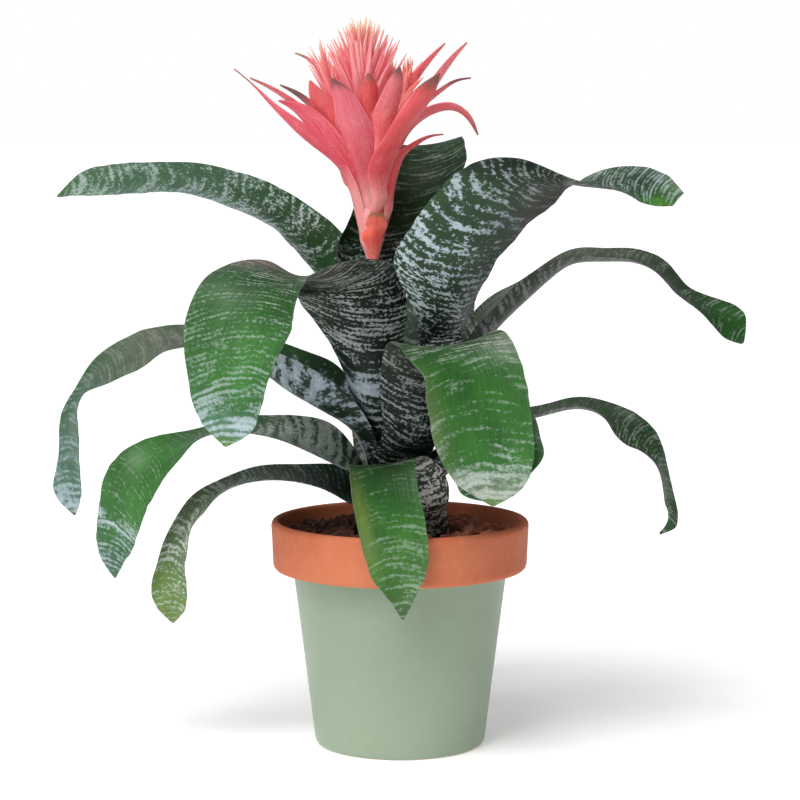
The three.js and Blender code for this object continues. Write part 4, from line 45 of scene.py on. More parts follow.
# Surface nets in millimetres, one row per station from base to tip; each row runs
# from one margin over the midrib to the other.
LEAVES = {
    "leaf_back_upper": [
        [-3,4.1,128, -1,6.5,128, 1.8,7.9,128, 4.9,8.2,128, 7.8,7.2,128, 10.2,5.3,128, 11.7,2.6,128],
        [-8.8,5.1,167, -6.5,7.6,167.3, -3.4,9.1,167.7, 0,9.4,168.1, 3.2,8.4,168.5, 5.9,6.3,168.9, 7.7,3.4,169.1],
        [-13.8,7.5,207, -11.2,9.4,207.3, -8.3,10.4,207.7, -5.1,10.6,208.1, -2.1,9.8,208.5, 0.6,8.1,208.9, 2.7,5.8,209.2],
        [-17.1,9.5,236.1, -14.5,10.8,236.5, -11.7,11.5,236.8, -8.8,11.5,237.2, -6.1,10.9,237.6, -3.5,9.6,237.9, -1.2,7.8,238.2],
        [-22.9,1.2,260.2, -21.4,6.1,260.3, -17.5,9.6,260.9, -12.4,10.6,261.5, -7.5,8.8,262.2, -4.2,4.8,262.6, -3.4,-0.4,262.7],
        [-25.4,-8.2,284.5, -28.5,0.5,284.1, -24.6,9,284.6, -16,12.2,285.7, -7.6,8.3,286.8, -4.3,-0.4,287.3, -8.1,-8.8,286.8],
        [-34.9,-5.2,303.7, -35.1,5.4,303.7, -28.7,14,304.6, -18.4,17,306, -8.4,13,307.3, -2.9,3.8,308, -4,-6.8,307.8],
        [-39.2,6,318, -34.8,15.6,317.8, -26.4,22,318.2, -16.1,23.8,319.2, -6.1,20.8,320.3, 1.3,13.5,321.3, 4.5,3.6,322.1],
        [-30.5,25.3,340.7, -23.2,31.3,337.9, -14.3,35.2,336.2, -4.5,36.5,335.6, 5.2,35.2,336.3, 14.1,31.3,338.1, 21.4,25.3,340.9],
        [-25.4,41.2,357.7, -15.4,45.1,354.4, -4.6,47.5,352.5, 6.6,48.2,352.2, 17.7,47.3,353.5, 28.3,44.7,356.4, 37.9,40.7,360.6],
        [-19.5,53.8,372.3, -9.1,56.5,370.2, 1.6,58.3,369.3, 12.4,59.3,369.4, 23.2,59.5,370.7, 33.7,58.8,373.1, 43.9,57.2,376.6],
        [-14.2,61,381.6, -5,65,380, 4.5,68.8,379.3, 14.1,72.2,379.6, 23.7,75.2,381, 33.2,77.9,383.3, 42.6,80.1,386.6],
        [-9.5,75.8,384.2, -1.4,80.9,382.7, 6.6,86.2,381.9, 14.6,91.7,381.8, 22.5,97.3,382.6, 30.1,103,384.1, 37.5,108.8,386.3],
        [-8.2,92.3,377.4, -0.4,97.1,376.2, 7.2,102.2,375.6, 14.5,107.7,375.5, 21.6,113.6,375.9, 28.3,119.7,376.9, 34.7,126.2,378.4],
        [-7.2,109.1,362.1, 0.3,113.2,361.4, 7.5,117.9,361, 14.3,123.1,360.9, 20.8,128.7,361.2, 26.9,134.7,361.8, 32.5,141.1,362.8],
        [-5.3,122.5,339.4, 1.4,126.1,339, 7.8,130.2,338.8, 13.8,134.8,338.8, 19.4,139.9,339, 24.6,145.4,339.4, 29.2,151.4,339.9],
        [-0.4,134.2,312, 4.5,136.6,311.7, 9.1,139.4,311.5, 13.5,142.5,311.3, 17.6,146,311.3, 21.5,149.8,311.2, 25,153.9,311.3],
        [12.5,146.3,289.3, 12.7,146.5,289.3, 12.9,146.8,289.3, 13.2,147,289.3, 13.4,147.2,289.3, 13.6,147.5,289.3, 13.9,147.7,289.2],
    ],
    "leaf_right_upper": [
        [12.7,4.6,128, 13.8,1,128, 13.5,-2.7,128, 11.8,-6.1,128, 8.9,-8.5,128, 5.4,-9.7,128, 1.7,-9.5,128],
        [8.8,5.2,168.7, 10,1.1,168.9, 9.6,-3.1,168.8, 7.7,-6.8,168.6, 4.5,-9.6,168.1, 0.6,-10.9,167.6, -3.6,-10.7,167.1],
        [4.7,6.4,202.4, 6.1,1.9,202.6, 5.8,-2.8,202.5, 3.7,-7.1,202.2, 0.3,-10.2,201.8, -4.1,-11.8,201.2, -8.7,-11.7,200.6],
        [4.9,2.9,225.1, 5.7,-1.3,225.3, 4.9,-5.5,225.2, 2.5,-9.1,225, -1.1,-11.6,224.5, -5.4,-12.5,223.9, -9.8,-11.8,223.2],
        [18.6,-20.8,241.2, 15.1,-21.1,241.4, 11.5,-20.5,241.3, 7.9,-18.7,241, 4.6,-15.9,240.4, 2.1,-12,239.6, 0.7,-7.3,238.8],
        [32.1,-39.1,253.9, 25.6,-37.2,254, 19.8,-33.6,253.8, 15,-28.6,253.5, 11.7,-22.5,253.1, 10.1,-15.6,252.5, 10.4,-8.5,251.9],
        [38.6,-32.2,265.4, 34.1,-34.7,264.9, 29.2,-35.9,264.7, 24.2,-35.9,264.7, 19.4,-34.5,265.1, 15.2,-32,265.7, 12,-28.4,266.4],
        [41.8,-21.1,276.1, 39.7,-29,275.3, 35.8,-36.2,275.2, 30.4,-42.2,275.9, 23.7,-46.8,277.4, 16.3,-49.5,279.5, 8.6,-50.2,282.2],
        [47.4,-33.9,290, 41.7,-41.4,289.2, 34.8,-47.7,289.5, 26.8,-52.6,290.9, 18.2,-55.8,293.3, 9.4,-57.1,296.6, 0.8,-56.4,300.7],
        [53.9,-51.5,304.2, 44.9,-56.4,304.6, 35.2,-59.7,305.6, 25.2,-61.4,307.4, 15.2,-61.2,309.8, 5.5,-59.4,312.7, -3.5,-55.8,316.1],
        [62.9,-52.8,317.9, 54.3,-58.1,319.7, 45,-61.9,321.9, 35.3,-64.3,324.5, 25.5,-65.1,327.5, 15.8,-64.3,330.7, 6.4,-62,334.1],
        [78.1,-50.6,334.7, 69.9,-56.2,337.6, 61.3,-60.8,341.1, 52.4,-64.2,345, 43.3,-66.4,349.3, 34.1,-67.4,354, 25,-67.1,358.9],
        [93.5,-51.8,348.2, 86.1,-57.8,351, 78.3,-63.1,354.4, 70.4,-67.6,358.5, 62.4,-71.3,363.1, 54.3,-74.1,368.2, 46.2,-76,373.8],
        [103.3,-48,357.1, 98,-55.3,358.5, 92.7,-62.3,360.7, 87.4,-69,363.6, 82.1,-75.4,367.3, 76.9,-81.3,371.7, 71.8,-86.7,376.7],
        [113.3,-47.6,363.7, 111.8,-54.8,361.7, 110.3,-62.2,360.4, 108.9,-69.7,360, 107.6,-77.3,360.4, 106.4,-84.7,361.6, 105.2,-92.1,363.6],
        [134.1,-51.2,370.8, 133.3,-56.6,366.7, 132.5,-62.5,363.3, 131.8,-68.7,360.5, 131.1,-75.2,358.5, 130.5,-81.9,357.2, 129.9,-88.7,356.8],
        [156.6,-55.4,369.3, 154.3,-58.8,365.1, 152.2,-62.6,361.2, 150.2,-66.9,357.6, 148.4,-71.5,354.5, 146.8,-76.5,351.8, 145.4,-81.7,349.6],
        [172.3,-66,355.2, 171,-65.8,353.9, 169.8,-65.8,352.6, 168.6,-65.7,351.3, 167.4,-65.8,350, 166.3,-65.8,348.6, 165.1,-66,347.3],
    ],
    "leaf_left_upper": [
        [-5.6,-6.4,128, -7.3,-2.4,128, -7.3,2,128, -5.8,6.1,128, -2.8,9.3,128, 1.2,11.1,128, 5.5,11.3,128],
        [-11.6,-6,164.1, -12.9,-1.8,164, -12.8,2.6,164, -11.2,6.7,164.2, -8.2,9.9,164.6, -4.3,12,165.1, 0,12.5,165.7],
        [-17.5,-5,196.9, -18.3,-0.9,196.8, -17.9,3.3,196.8, -16.3,7.1,197.1, -13.6,10.3,197.4, -10,12.4,197.9, -6,13.4,198.4],
        [-22,-4,223.1, -22.6,0,223, -22,3.9,223.1, -20.4,7.6,223.3, -17.9,10.6,223.6, -14.6,12.8,224.1, -10.8,14.1,224.5],
        [-24.1,-2.2,245.1, -25.6,2.7,245.2, -25.7,7.8,245.4, -24.2,12.5,245.8, -21.3,16.6,246.4, -17.4,19.6,247, -12.6,21.3,247.5],
        [-26,0.7,266.1, -28.8,7,266.3, -29.5,13.7,266.8, -28.1,20,267.6, -24.7,25.5,268.5, -19.7,29.6,269.5, -13.5,31.9,270.4],
        [-34.4,7,285.7, -35.8,14.4,285.3, -35.2,22,285.7, -32.6,29.1,286.9, -28.2,35,288.7, -22.4,39.4,291, -15.7,41.9,293.6],
        [-47.2,14.4,297.4, -45.2,22,296.1, -41.9,29.3,296.2, -37.4,35.9,297.7, -32.1,41.2,300.4, -26.1,45.1,304.3, -20,47.2,309],
        [-59.9,18.4,307.8, -57,26.2,307, -53,33.5,307.4, -48.2,40,309, -42.6,45.6,311.7, -36.7,49.9,315.5, -30.4,52.9,320.1],
        [-72.6,19.6,323, -70.5,27.6,322.9, -67.7,35.4,323.8, -64.2,42.7,325.6, -60.1,49.5,328.2, -55.5,55.5,331.7, -50.5,60.6,335.9],
        [-85.8,22.7,332.5, -84,30.8,333.3, -81.8,38.6,334.9, -79.2,46.1,337.4, -76.2,53.1,340.7, -72.8,59.6,344.7, -69.3,65.4,349.4],
        [-103.8,25.9,341.7, -102.6,33.8,343.1, -101.1,41.4,345.2, -99.4,48.8,348.1, -97.4,55.7,351.6, -95.2,62.3,355.7, -92.8,68.3,360.5],
        [-120.6,29,347.4, -119.8,36.7,349, -118.8,44.1,351.3, -117.7,51.3,354.4, -116.5,58.1,358.1, -115.1,64.5,362.4, -113.7,70.4,367.4],
        [-141,32.9,352.6, -140.7,40.1,354.2, -140.4,47.1,356.4, -140,53.9,359.3, -139.6,60.4,362.9, -139.1,66.5,367, -138.6,72.2,371.6],
        [-166.2,38.1,353.4, -166.2,44.2,355.3, -166.1,50.2,357.8, -166.1,56,360.8, -166.2,61.5,364.2, -166.2,66.7,368, -166.3,71.6,372.3],
        [-188.6,42.8,351.2, -188.7,47.7,353.6, -188.9,52.5,356.4, -189.1,57,359.5, -189.4,61.3,362.8, -189.6,65.4,366.5, -190,69.2,370.4],
        [-208.2,47.5,350.2, -208.2,51,352.3, -208.2,54.4,354.7, -208.3,57.6,357.1, -208.5,60.8,359.8, -208.7,63.8,362.6, -209,66.6,365.6],
        [-224.4,56.2,349.2, -224.3,56.5,349.5, -224.3,56.8,349.7, -224.3,57,349.9, -224.2,57.3,350.1, -224.2,57.5,350.3, -224.2,57.8,350.5],
    ],
    "leaf_front_left": [
        [12,-10.3,128, 7.5,-12.6,128, 2.6,-13.1,128, -2.2,-11.6,128, -6,-8.5,128, -8.5,-4.1,128, -9.1,0.9,128],
        [7.9,-11.3,168.4, 3,-13.7,167.8, -2.3,-14.2,167.1, -7.5,-12.6,166.4, -11.7,-9.2,165.8, -14.3,-4.5,165.5, -15,0.9,165.4],
        [3.6,-12.7,197.1, -1.3,-14.8,196.5, -6.6,-15,195.8, -11.7,-13.4,195.1, -15.8,-10.1,194.5, -18.6,-5.5,194.2, -19.7,-0.3,194],
        [2.4,-21.4,219.3, -3,-23.4,217.8, -8.8,-23.5,216.2, -14.4,-21.8,214.9, -19.2,-18.4,214, -22.8,-13.6,213.4, -24.9,-8,213.3],
        [2.1,-33.8,243.9, -4.2,-36.1,241, -11.1,-36.3,238.4, -17.9,-34.4,236.3, -24.1,-30.6,234.9, -29,-25.2,234.2, -32.4,-18.6,234.4],
        [1.6,-38.1,263.9, -5.4,-41.9,261.1, -13.4,-43.3,258.6, -21.6,-42.2,256.7, -29.3,-38.9,255.5, -35.8,-33.4,255.3, -40.6,-26.4,255.8],
        [4.1,-37.1,280.1, -3.7,-43,277.3, -12.9,-46.8,275, -23,-48,273.3, -33.1,-46.6,272.5, -42.6,-42.6,272.5, -50.8,-36.5,273.3],
        [2.5,-36,297.9, -6.2,-42.9,293.5, -16.2,-48.1,290, -27.2,-51.4,287.4, -38.6,-52.7,285.9, -50.1,-52.1,285.5, -61.2,-49.5,286.2],
        [-4.1,-47.8,309.1, -12.2,-51.9,303.4, -21.4,-54.8,298.7, -31.5,-56.6,295.2, -42.2,-57.1,292.9, -53.3,-56.3,291.9, -64.4,-54.3,292.2],
        [-16.3,-82.7,315.3, -24.4,-77.6,308.5, -32.9,-71.5,303.2, -41.4,-64.5,299.2, -50,-56.8,296.9, -58.3,-48.5,296.1, -66.1,-39.8,297],
        [-35.9,-102.6,314.6, -41.9,-93.6,309.6, -47.9,-84.1,306, -53.9,-74.2,304, -59.9,-64,303.5, -65.6,-53.7,304.5, -71.1,-43.5,307.1],
        [-54.4,-113.9,307.1, -58.7,-103.2,304.6, -63.4,-92.5,303.6, -68.4,-81.8,304.1, -73.6,-71.4,306, -78.9,-61.5,309.4, -84.2,-52.2,314.2],
        [-61.4,-114.5,293.6, -67.2,-104.6,293.9, -73.8,-95.4,295.4, -81.1,-86.9,297.9, -88.9,-79.4,301.4, -97,-72.8,305.9, -105.4,-67.4,311.3],
        [-65.1,-109.7,276.3, -73.8,-102.4,278.3, -83.1,-96.2,280.8, -92.9,-91.1,283.7, -103.1,-87.2,287.2, -113.6,-84.5,291.1, -124.2,-83.2,295.3],
        [-72.5,-110.7,258.2, -81.1,-104.7,259.8, -90.2,-99.6,261.7, -99.7,-95.4,263.8, -109.5,-92.1,266, -119.5,-89.8,268.5, -129.7,-88.5,271],
        [-80.3,-113.7,238.7, -87.4,-108.3,239.9, -94.8,-103.4,241.2, -102.6,-99.2,242.6, -110.7,-95.7,244.1, -119.1,-92.8,245.7, -127.6,-90.7,247.3],
        [-87.5,-112.9,216, -92.4,-109.1,216.6, -97.7,-105.7,217.3, -103.1,-102.7,218, -108.7,-100,218.8, -114.4,-97.7,219.6, -120.4,-95.8,220.4],
        [-103.9,-105.7,205, -104.2,-105.5,205, -104.4,-105.2,205.1, -104.6,-105,205.2, -104.8,-104.8,205.2, -105,-104.5,205.3, -105.2,-104.3,205.4],
    ],
    "leaf_right_middle": [
        [7.7,14.3,128, 12.5,12.2,128, 16.2,8.4,128, 18.4,3.6,128, 18.7,-1.7,128, 17.2,-6.8,128, 14,-11,128],
        [5.3,14.8,163.5, 9.6,12.3,164, 12.9,8.5,164.5, 14.9,3.8,164.7, 15.3,-1.2,164.8, 14.2,-6.1,164.6, 11.6,-10.4,164.3],
        [2.9,14.8,191, 6.8,12.1,191.5, 9.8,8.4,192, 11.6,4,192.2, 12.1,-0.7,192.3, 11.3,-5.4,192.2, 9.2,-9.7,191.9],
        [4.8,15.8,209.3, 8.7,12.9,209.4, 11.5,9,209.6, 13.2,4.4,209.7, 13.5,-0.4,209.7, 12.5,-5.2,209.8, 10.2,-9.4,209.8],
        [15.6,20,225.6, 20.3,16.5,224.4, 23.5,11.5,223.5, 25,5.6,223.1, 24.4,-0.4,223.2, 22,-5.8,223.8, 18.2,-9.9,224.8],
        [32.5,25.6,246.7, 38.3,21.5,243.4, 42.1,15.2,240.7, 43.2,7.5,239.1, 41.4,-0.1,238.9, 37,-6.5,240.1, 30.9,-10.6,242.4],
        [43.8,26.1,270.7, 49.6,22.8,265.4, 53.1,16.9,260.4, 53.7,9.4,256.6, 51.3,1.5,254.7, 46.3,-5.4,254.8, 39.5,-10.1,257.1],
        [56.7,27.9,284.7, 60.9,24.5,278.1, 63.3,18.4,272.5, 63.3,10.7,268.8, 61.1,2.5,267.4, 57,-4.8,268.7, 51.5,-10.2,272.5],
        [73.3,30.3,293.5, 76.5,24.9,288.1, 78.1,17.8,284.4, 78,9.7,282.8, 76.2,1.7,283.5, 72.8,-5.2,286.4, 68.4,-10.2,291.2],
        [93.8,30.3,307.3, 95.5,24.3,302.9, 96.2,17.2,300.1, 95.8,9.6,299, 94.2,2.1,299.7, 91.6,-4.7,302.3, 88.3,-10.2,306.4],
        [110.7,29.8,315.8, 110.9,23.7,311.9, 110.6,16.9,309.4, 109.8,9.8,308.3, 108.6,2.7,308.8, 107.1,-4,310.8, 105.2,-10.1,314.2],
        [131.9,27.6,316.8, 131.2,21.8,313.5, 130.5,15.5,311.3, 129.8,9,310.3, 129.1,2.3,310.5, 128.5,-4.2,311.9, 128,-10.4,314.4],
        [157.3,24.8,316.1, 155.9,19.5,313.1, 154.6,13.8,310.9, 153.6,7.9,309.5, 152.7,1.8,308.9, 152.1,-4.4,309.1, 151.7,-10.5,310.2],
        [171.6,22.8,308.3, 169.2,17.7,306.1, 167.3,12.4,304.4, 165.8,6.7,303.2, 164.7,0.9,302.5, 164.1,-5.1,302.3, 163.9,-11,302.6],
        [184.8,20.7,294, 182.3,15.8,292.4, 180.2,10.6,291.2, 178.4,5.3,290.4, 176.9,-0.3,290.1, 175.7,-5.9,290.1, 174.9,-11.5,290.5],
        [202.5,16,285.4, 200.3,12.3,283, 198.2,8.3,281, 196.4,4,279.3, 194.8,-0.4,277.8, 193.3,-5,276.7, 192.1,-9.7,275.9],
        [220.4,8.1,275.5, 218.1,6.6,272.9, 215.7,4.8,270.4, 213.5,2.8,267.9, 211.4,0.7,265.6, 209.3,-1.7,263.4, 207.4,-4.2,261.3],
        [219.3,2,258, 219,2,257.9, 218.7,2,257.8, 218.4,2,257.7, 218.1,2,257.6, 217.7,2,257.5, 217.4,2,257.4],
    ],
    "leaf_left_middle": [
        [-3.8,-14.5,128, -8.7,-10.6,128, -11.7,-5.1,128, -12.4,1.1,128, -10.8,7.2,128, -7.1,12.2,128, -1.7,15.4,128],
        [-8.5,-15.4,163.2, -13.6,-11.2,162.5, -16.8,-5.4,162.1, -17.6,1.2,162, -15.9,7.6,162.2, -11.9,13,162.8, -6.3,16.4,163.5],
        [-12.2,-16.5,187.8, -17.7,-12.1,187.1, -21.1,-6.1,186.7, -22,0.8,186.6, -20.3,7.6,186.9, -16.2,13.2,187.4, -10.3,16.9,188.1],
        [-17,-21.5,204.4, -23.8,-17.6,203.6, -28.6,-11.3,203.1, -30.5,-3.7,203, -29.3,4.1,203.3, -25.2,10.8,204, -18.7,15.4,204.9],
        [-28.9,-24.9,223.9, -37.2,-21.9,218.4, -43.3,-14.2,214.7, -45.3,-4,213.8, -42.9,5.9,216, -36.7,12.9,220.6, -28.4,14.9,226.3],
        [-45,-25.9,237.8, -52.1,-23,228.7, -56.8,-14.1,222.3, -57.6,-2.2,221, -54.1,8.5,225, -47.6,14.4,233.1, -40.3,13.6,242.4],
        [-67.5,-27.7,250.6, -71.4,-24.6,240.4, -73.3,-16.3,232.8, -72.5,-5.2,230.3, -69.2,5.3,233.5, -64.5,11.9,241.5, -59.8,12.7,251.8],
        [-90.3,-31.8,258.4, -91.6,-26,251.1, -92,-17.7,246.3, -91.3,-8.2,244.9, -89.7,0.9,247.2, -87.3,8.4,252.7, -84.8,12.9,260.5],
        [-110,-33.6,261, -110.3,-26.5,257.3, -110.3,-18.7,255.3, -110,-10.7,255.2, -109.6,-2.8,256.9, -108.9,4.4,260.3, -108.1,10.6,265.3],
        [-129.3,-32.9,259.3, -129.8,-25.9,258.6, -130.3,-18.7,258.8, -130.9,-11.7,260, -131.4,-4.9,262.1, -131.9,1.6,265.1, -132.4,7.6,268.9],
        [-148.9,-32.5,254.5, -149.7,-26.1,255.4, -150.7,-19.9,256.9, -151.8,-13.8,258.9, -153,-7.9,261.5, -154.4,-2.4,264.6, -155.9,2.9,268.2],
        [-164,-30.8,244.8, -165.3,-25.4,246.7, -166.7,-20.1,249, -168.3,-15,251.6, -170.1,-10.2,254.6, -172,-5.7,257.9, -174,-1.4,261.5],
        [-186,-31.1,235, -187.1,-26.3,236.3, -188.4,-21.7,238, -189.9,-17.2,240, -191.5,-12.9,242.2, -193.3,-8.9,244.7, -195.3,-5.1,247.5],
        [-197.9,-32.9,229.4, -198.2,-28.2,229.3, -198.9,-23.7,229.4, -199.8,-19.1,229.7, -201,-14.7,230.3, -202.5,-10.4,231, -204.3,-6.3,231.9],
        [-202.4,-32.5,213.7, -203.6,-28.5,213.6, -205.2,-24.5,213.6, -207,-20.7,213.6, -209.1,-17,213.7, -211.5,-13.4,213.8, -214.1,-10.1,214],
        [-201.4,-31.1,188.7, -203.4,-27.9,188.8, -205.6,-24.8,188.8, -208,-21.8,188.9, -210.7,-19,189, -213.4,-16.4,189.1, -216.4,-14,189.2],
        [-201.2,-29.1,164.4, -203.9,-27,164.3, -206.6,-25,164.2, -209.4,-23.2,164.2, -212.4,-21.5,164.1, -215.4,-20,164.1, -218.5,-18.7,164],
        [-205,-24.6,151.3, -205.2,-24.4,151.3, -205.5,-24.2,151.3, -205.7,-24,151.3, -205.9,-23.8,151.4, -206.1,-23.6,151.4, -206.4,-23.4,151.4],
    ],
    "leaf_back_right": [
        [-7.4,13.8,128, -1.5,17.2,128, 5.3,18,128, 11.9,16.3,128, 17.4,12.1,128, 21,6.2,128, 22.1,-0.6,128],
        [-11.4,15,157.4, -5.2,18.2,158.3, 1.7,19,159.2, 8.4,17.1,160.1, 14,13,160.8, 17.7,7,161.3, 19.1,0.1,161.5],
        [-13.7,16.2,180.7, -7.5,18.9,181.6, -0.8,19.4,182.4, 5.6,17.5,183.3, 11,13.6,184, 14.8,8.1,184.5, 16.6,1.6,184.7],
        [-12.7,23.3,197.2, -6.9,24.8,197.8, -0.7,24.3,198.5, 5.1,22,199.3, 9.9,18,199.9, 13.4,12.7,200.5, 15.2,6.5,200.9],
        [-8.2,39.4,213.7, -3,38.5,213.8, 2.1,36.2,214.1, 6.7,32.7,214.7, 10.4,28.2,215.3, 13,22.8,216.1, 14.3,16.9,217],
        [-3.5,57.6,232.1, 1.5,54.4,231.7, 6,50.4,231.6, 9.8,45.8,231.9, 12.9,40.7,232.6, 15.1,35.2,233.6, 16.3,29.5,235],
        [-1.8,68.9,249.3, 4,65.5,248.3, 9.2,61.3,248, 14,56.5,248.1, 18,51.2,248.9, 21.2,45.4,250.1, 23.6,39.4,251.9],
        [1.5,81.2,268.3, 8.4,78.3,266.6, 15,74.4,265.6, 21.1,69.7,265.4, 26.6,64.3,266.1, 31.2,58.3,267.5, 35,51.9,269.6],
        [4.5,92.7,281.6, 11.9,88.8,279, 19.2,84.3,277.4, 26.4,79.3,276.9, 33.2,73.8,277.3, 39.6,68.1,278.8, 45.4,62.1,281.3],
        [6.1,106.9,285.7, 13.2,101.8,283.2, 20.6,96.5,281.6, 27.9,91.1,281, 35.3,85.7,281.5, 42.5,80.2,283.1, 49.5,74.9,285.6],
        [6.8,124.9,282.7, 13.5,119,280.7, 20.5,113.1,279.6, 27.7,107.5,279.3, 35,102.1,279.9, 42.5,97,281.3, 50,92.3,283.5],
        [7.4,140.5,275, 13.7,134.3,273.6, 20.5,128.3,272.8, 27.6,122.8,272.6, 35,117.7,273.1, 42.6,113,274.2, 50.4,108.9,275.9],
        [8.3,152.8,262.4, 14.4,146.5,261.6, 21,140.7,261.2, 28,135.3,261.3, 35.4,130.5,261.8, 43,126.2,262.8, 50.9,122.5,264.2],
        [9.4,161.8,247.3, 15.4,155.7,246.9, 21.8,150.1,246.9, 28.5,144.9,247.1, 35.7,140.3,247.7, 43.2,136.3,248.6, 50.9,132.9,249.8],
        [11.4,169.1,225.2, 16.9,163.4,225.2, 22.9,158.2,225.4, 29.2,153.4,225.8, 35.8,149.2,226.3, 42.8,145.5,227, 50,142.3,227.8],
        [13.9,171.2,205.3, 19,166.3,205.4, 24.4,161.8,205.7, 30.2,157.8,206, 36.2,154.2,206.5, 42.5,151.1,207.1, 49,148.5,207.7],
        [19.9,169.6,183.2, 23.9,166.7,183.4, 28.1,164.1,183.6, 32.4,161.7,183.8, 36.9,159.7,184.1, 41.5,157.9,184.4, 46.2,156.4,184.8],
        [33.9,164.7,166.7, 34.1,164.5,166.8, 34.3,164.2,166.8, 34.6,164,166.8, 34.8,163.8,166.9, 35,163.5,166.9, 35.3,163.3,166.9],
    ],
    "leaf_front_right": [
        [23.7,-0.1,128, 22.2,-7.5,128, 18.2,-13.7,128, 12,-18,128, 4.8,-19.7,128, -2.6,-18.5,128, -9,-14.6,128],
        [21,-0.1,159, 19.5,-7.8,158.8, 15.2,-14.4,158.2, 8.8,-18.8,157.4, 1.2,-20.6,156.4, -6.5,-19.3,155.4, -13.2,-15.3,154.5],
        [18.8,0.3,178.5, 17.3,-7.7,178.3, 12.9,-14.5,177.8, 6.4,-19.1,176.9, -1.5,-20.9,175.9, -9.4,-19.6,174.8, -16.2,-15.4,173.8],
        [20.7,-5.4,190.8, 18.5,-13.1,190.2, 13.7,-19.6,189.5, 6.9,-24,188.7, -1.1,-25.7,188, -9,-24.5,187.5, -16,-20.6,187.3],
        [26.7,-17.9,198.5, 23.1,-24.8,197, 17.5,-30.5,195.9, 10.3,-34.3,195.4, 2.3,-35.8,195.6, -5.6,-34.8,196.3, -12.7,-31.5,197.7],
        [32.7,-29.7,209.3, 27.9,-36.3,207.2, 21.4,-41.5,206, 13.8,-45,205.7, 5.5,-46.5,206.5, -2.7,-45.9,208.3, -10.2,-43.2,210.8],
        [34.6,-31.9,223.2, 29.6,-39.3,221.4, 22.7,-45.3,220.3, 14.6,-49.4,220.1, 5.7,-51.5,220.7, -3.3,-51.3,222.1, -11.8,-48.8,224.1],
        [40,-36.4,243.5, 33.9,-44,240.7, 26.3,-50.2,238.8, 17.4,-54.8,237.8, 7.7,-57.4,237.9, -2.3,-58.1,239, -12,-56.6,241],
        [47.8,-45.7,259.8, 40,-51.9,256, 31,-57,253.2, 21.1,-60.9,251.7, 10.7,-63.3,251.4, 0.1,-64.3,252.4, -10.4,-63.8,254.6],
        [55.9,-60.1,269.7, 46.3,-63.2,265.3, 36.1,-66,262.2, 25.3,-68.2,260.5, 14.3,-69.9,260.1, 3.3,-71,261.1, -7.6,-71.5,263.5],
        [62.8,-72.4,271.4, 52.3,-73.1,267.1, 41.3,-74.3,264, 30.2,-75.7,262.3, 18.9,-77.4,261.8, 7.8,-79.4,262.6, -3.1,-81.7,264.7],
        [69.5,-79.6,263.7, 58.7,-80.3,260.5, 47.7,-81.8,258.2, 36.7,-84.3,256.8, 25.9,-87.6,256.3, 15.4,-91.7,256.7, 5.2,-96.6,258],
        [73.8,-84.2,250.4, 63,-85.6,248.7, 52.4,-88,247.6, 42,-91.3,247, 31.9,-95.5,246.9, 22.2,-100.5,247.4, 12.9,-106.4,248.4],
        [77.6,-90.9,233.2, 66.8,-91.6,232.5, 56.1,-93.3,232.1, 45.5,-96,231.9, 35.3,-99.7,232, 25.5,-104.4,232.3, 16.2,-110,233],
        [80.4,-95.8,210.8, 69.7,-96,210.6, 59.2,-97.1,210.5, 48.7,-99.3,210.6, 38.6,-102.4,210.8, 28.8,-106.6,211.2, 19.4,-111.6,211.8],
        [79.3,-98.9,194.5, 70,-99.1,194.3, 60.7,-100.2,194.1, 51.5,-102,194.1, 42.5,-104.7,194.2, 33.9,-108.2,194.5, 25.5,-112.5,194.9],
        [73.3,-101.2,178.7, 67,-102.1,178.9, 60.8,-103.4,179.1, 54.8,-105.2,179.4, 48.9,-107.4,179.8, 43.1,-110,180.2, 37.6,-113,180.7],
        [56.2,-107.2,169.6, 56,-107.5,169.6, 55.8,-107.7,169.7, 55.6,-108,169.7, 55.4,-108.3,169.7, 55.2,-108.5,169.8, 55,-108.8,169.8],
    ],
    "leaf_back_left": [
        [-14.1,11.3,128, -10.3,15.9,128, -5.4,19.2,128, 0.3,21.1,128, 6.2,21.3,128, 12,19.8,128, 17.1,16.8,128],
        [-17.3,13.1,154.3, -13.5,17.2,154.8, -8.7,20.2,155.5, -3.3,21.9,156.2, 2.3,22.2,156.9, 7.8,21,157.6, 12.9,18.4,158.3],
        [-19.7,14.6,174.8, -15.9,18.4,175.3, -11.3,21.1,175.9, -6.2,22.7,176.5, -0.9,23.1,177.2, 4.3,22.2,177.9, 9.2,20,178.5],
        [-23,16.4,189.8, -20.2,20.9,189.5, -16.3,24.6,189.4, -11.5,27.3,189.6, -6.1,28.8,190, -0.6,29,190.6, 4.9,27.7,191.5],
        [-28.5,19.8,208.4, -27.3,26.1,206.7, -24.4,32,205.4, -19.9,37,204.7, -14.2,40.7,204.6, -7.7,42.9,205.3, -0.9,43.2,206.5],
        [-31.4,25,221.7, -30.3,32.2,219.2, -27.2,39.1,217.4, -22.5,45.2,216.4, -16.4,50.1,216.3, -9.4,53.3,217.1, -2,54.8,218.8],
        [-32.6,33.8,233.3, -29.8,41.1,230.5, -25.5,48,228.7, -20.1,54.1,227.8, -13.6,59.3,228, -6.4,63.3,229.1, 1.2,65.9,231.3],
        [-32.9,45.8,242.4, -28.5,52.6,239.5, -23.2,59,237.6, -17.3,65.1,236.7, -10.7,70.6,236.9, -3.7,75.5,238.3, 3.4,79.4,240.7],
        [-33.1,60.2,247, -27.4,66.3,244.2, -21.3,72.4,242.3, -14.9,78.4,241.6, -8.4,84.3,241.9, -1.8,89.9,243.3, 4.8,95.2,245.8],
        [-33.5,75.6,246.6, -26.8,81,244.1, -20.1,86.8,242.6, -13.4,92.8,242, -6.8,99,242.4, -0.5,105.2,243.8, 5.6,111.4,246.1],
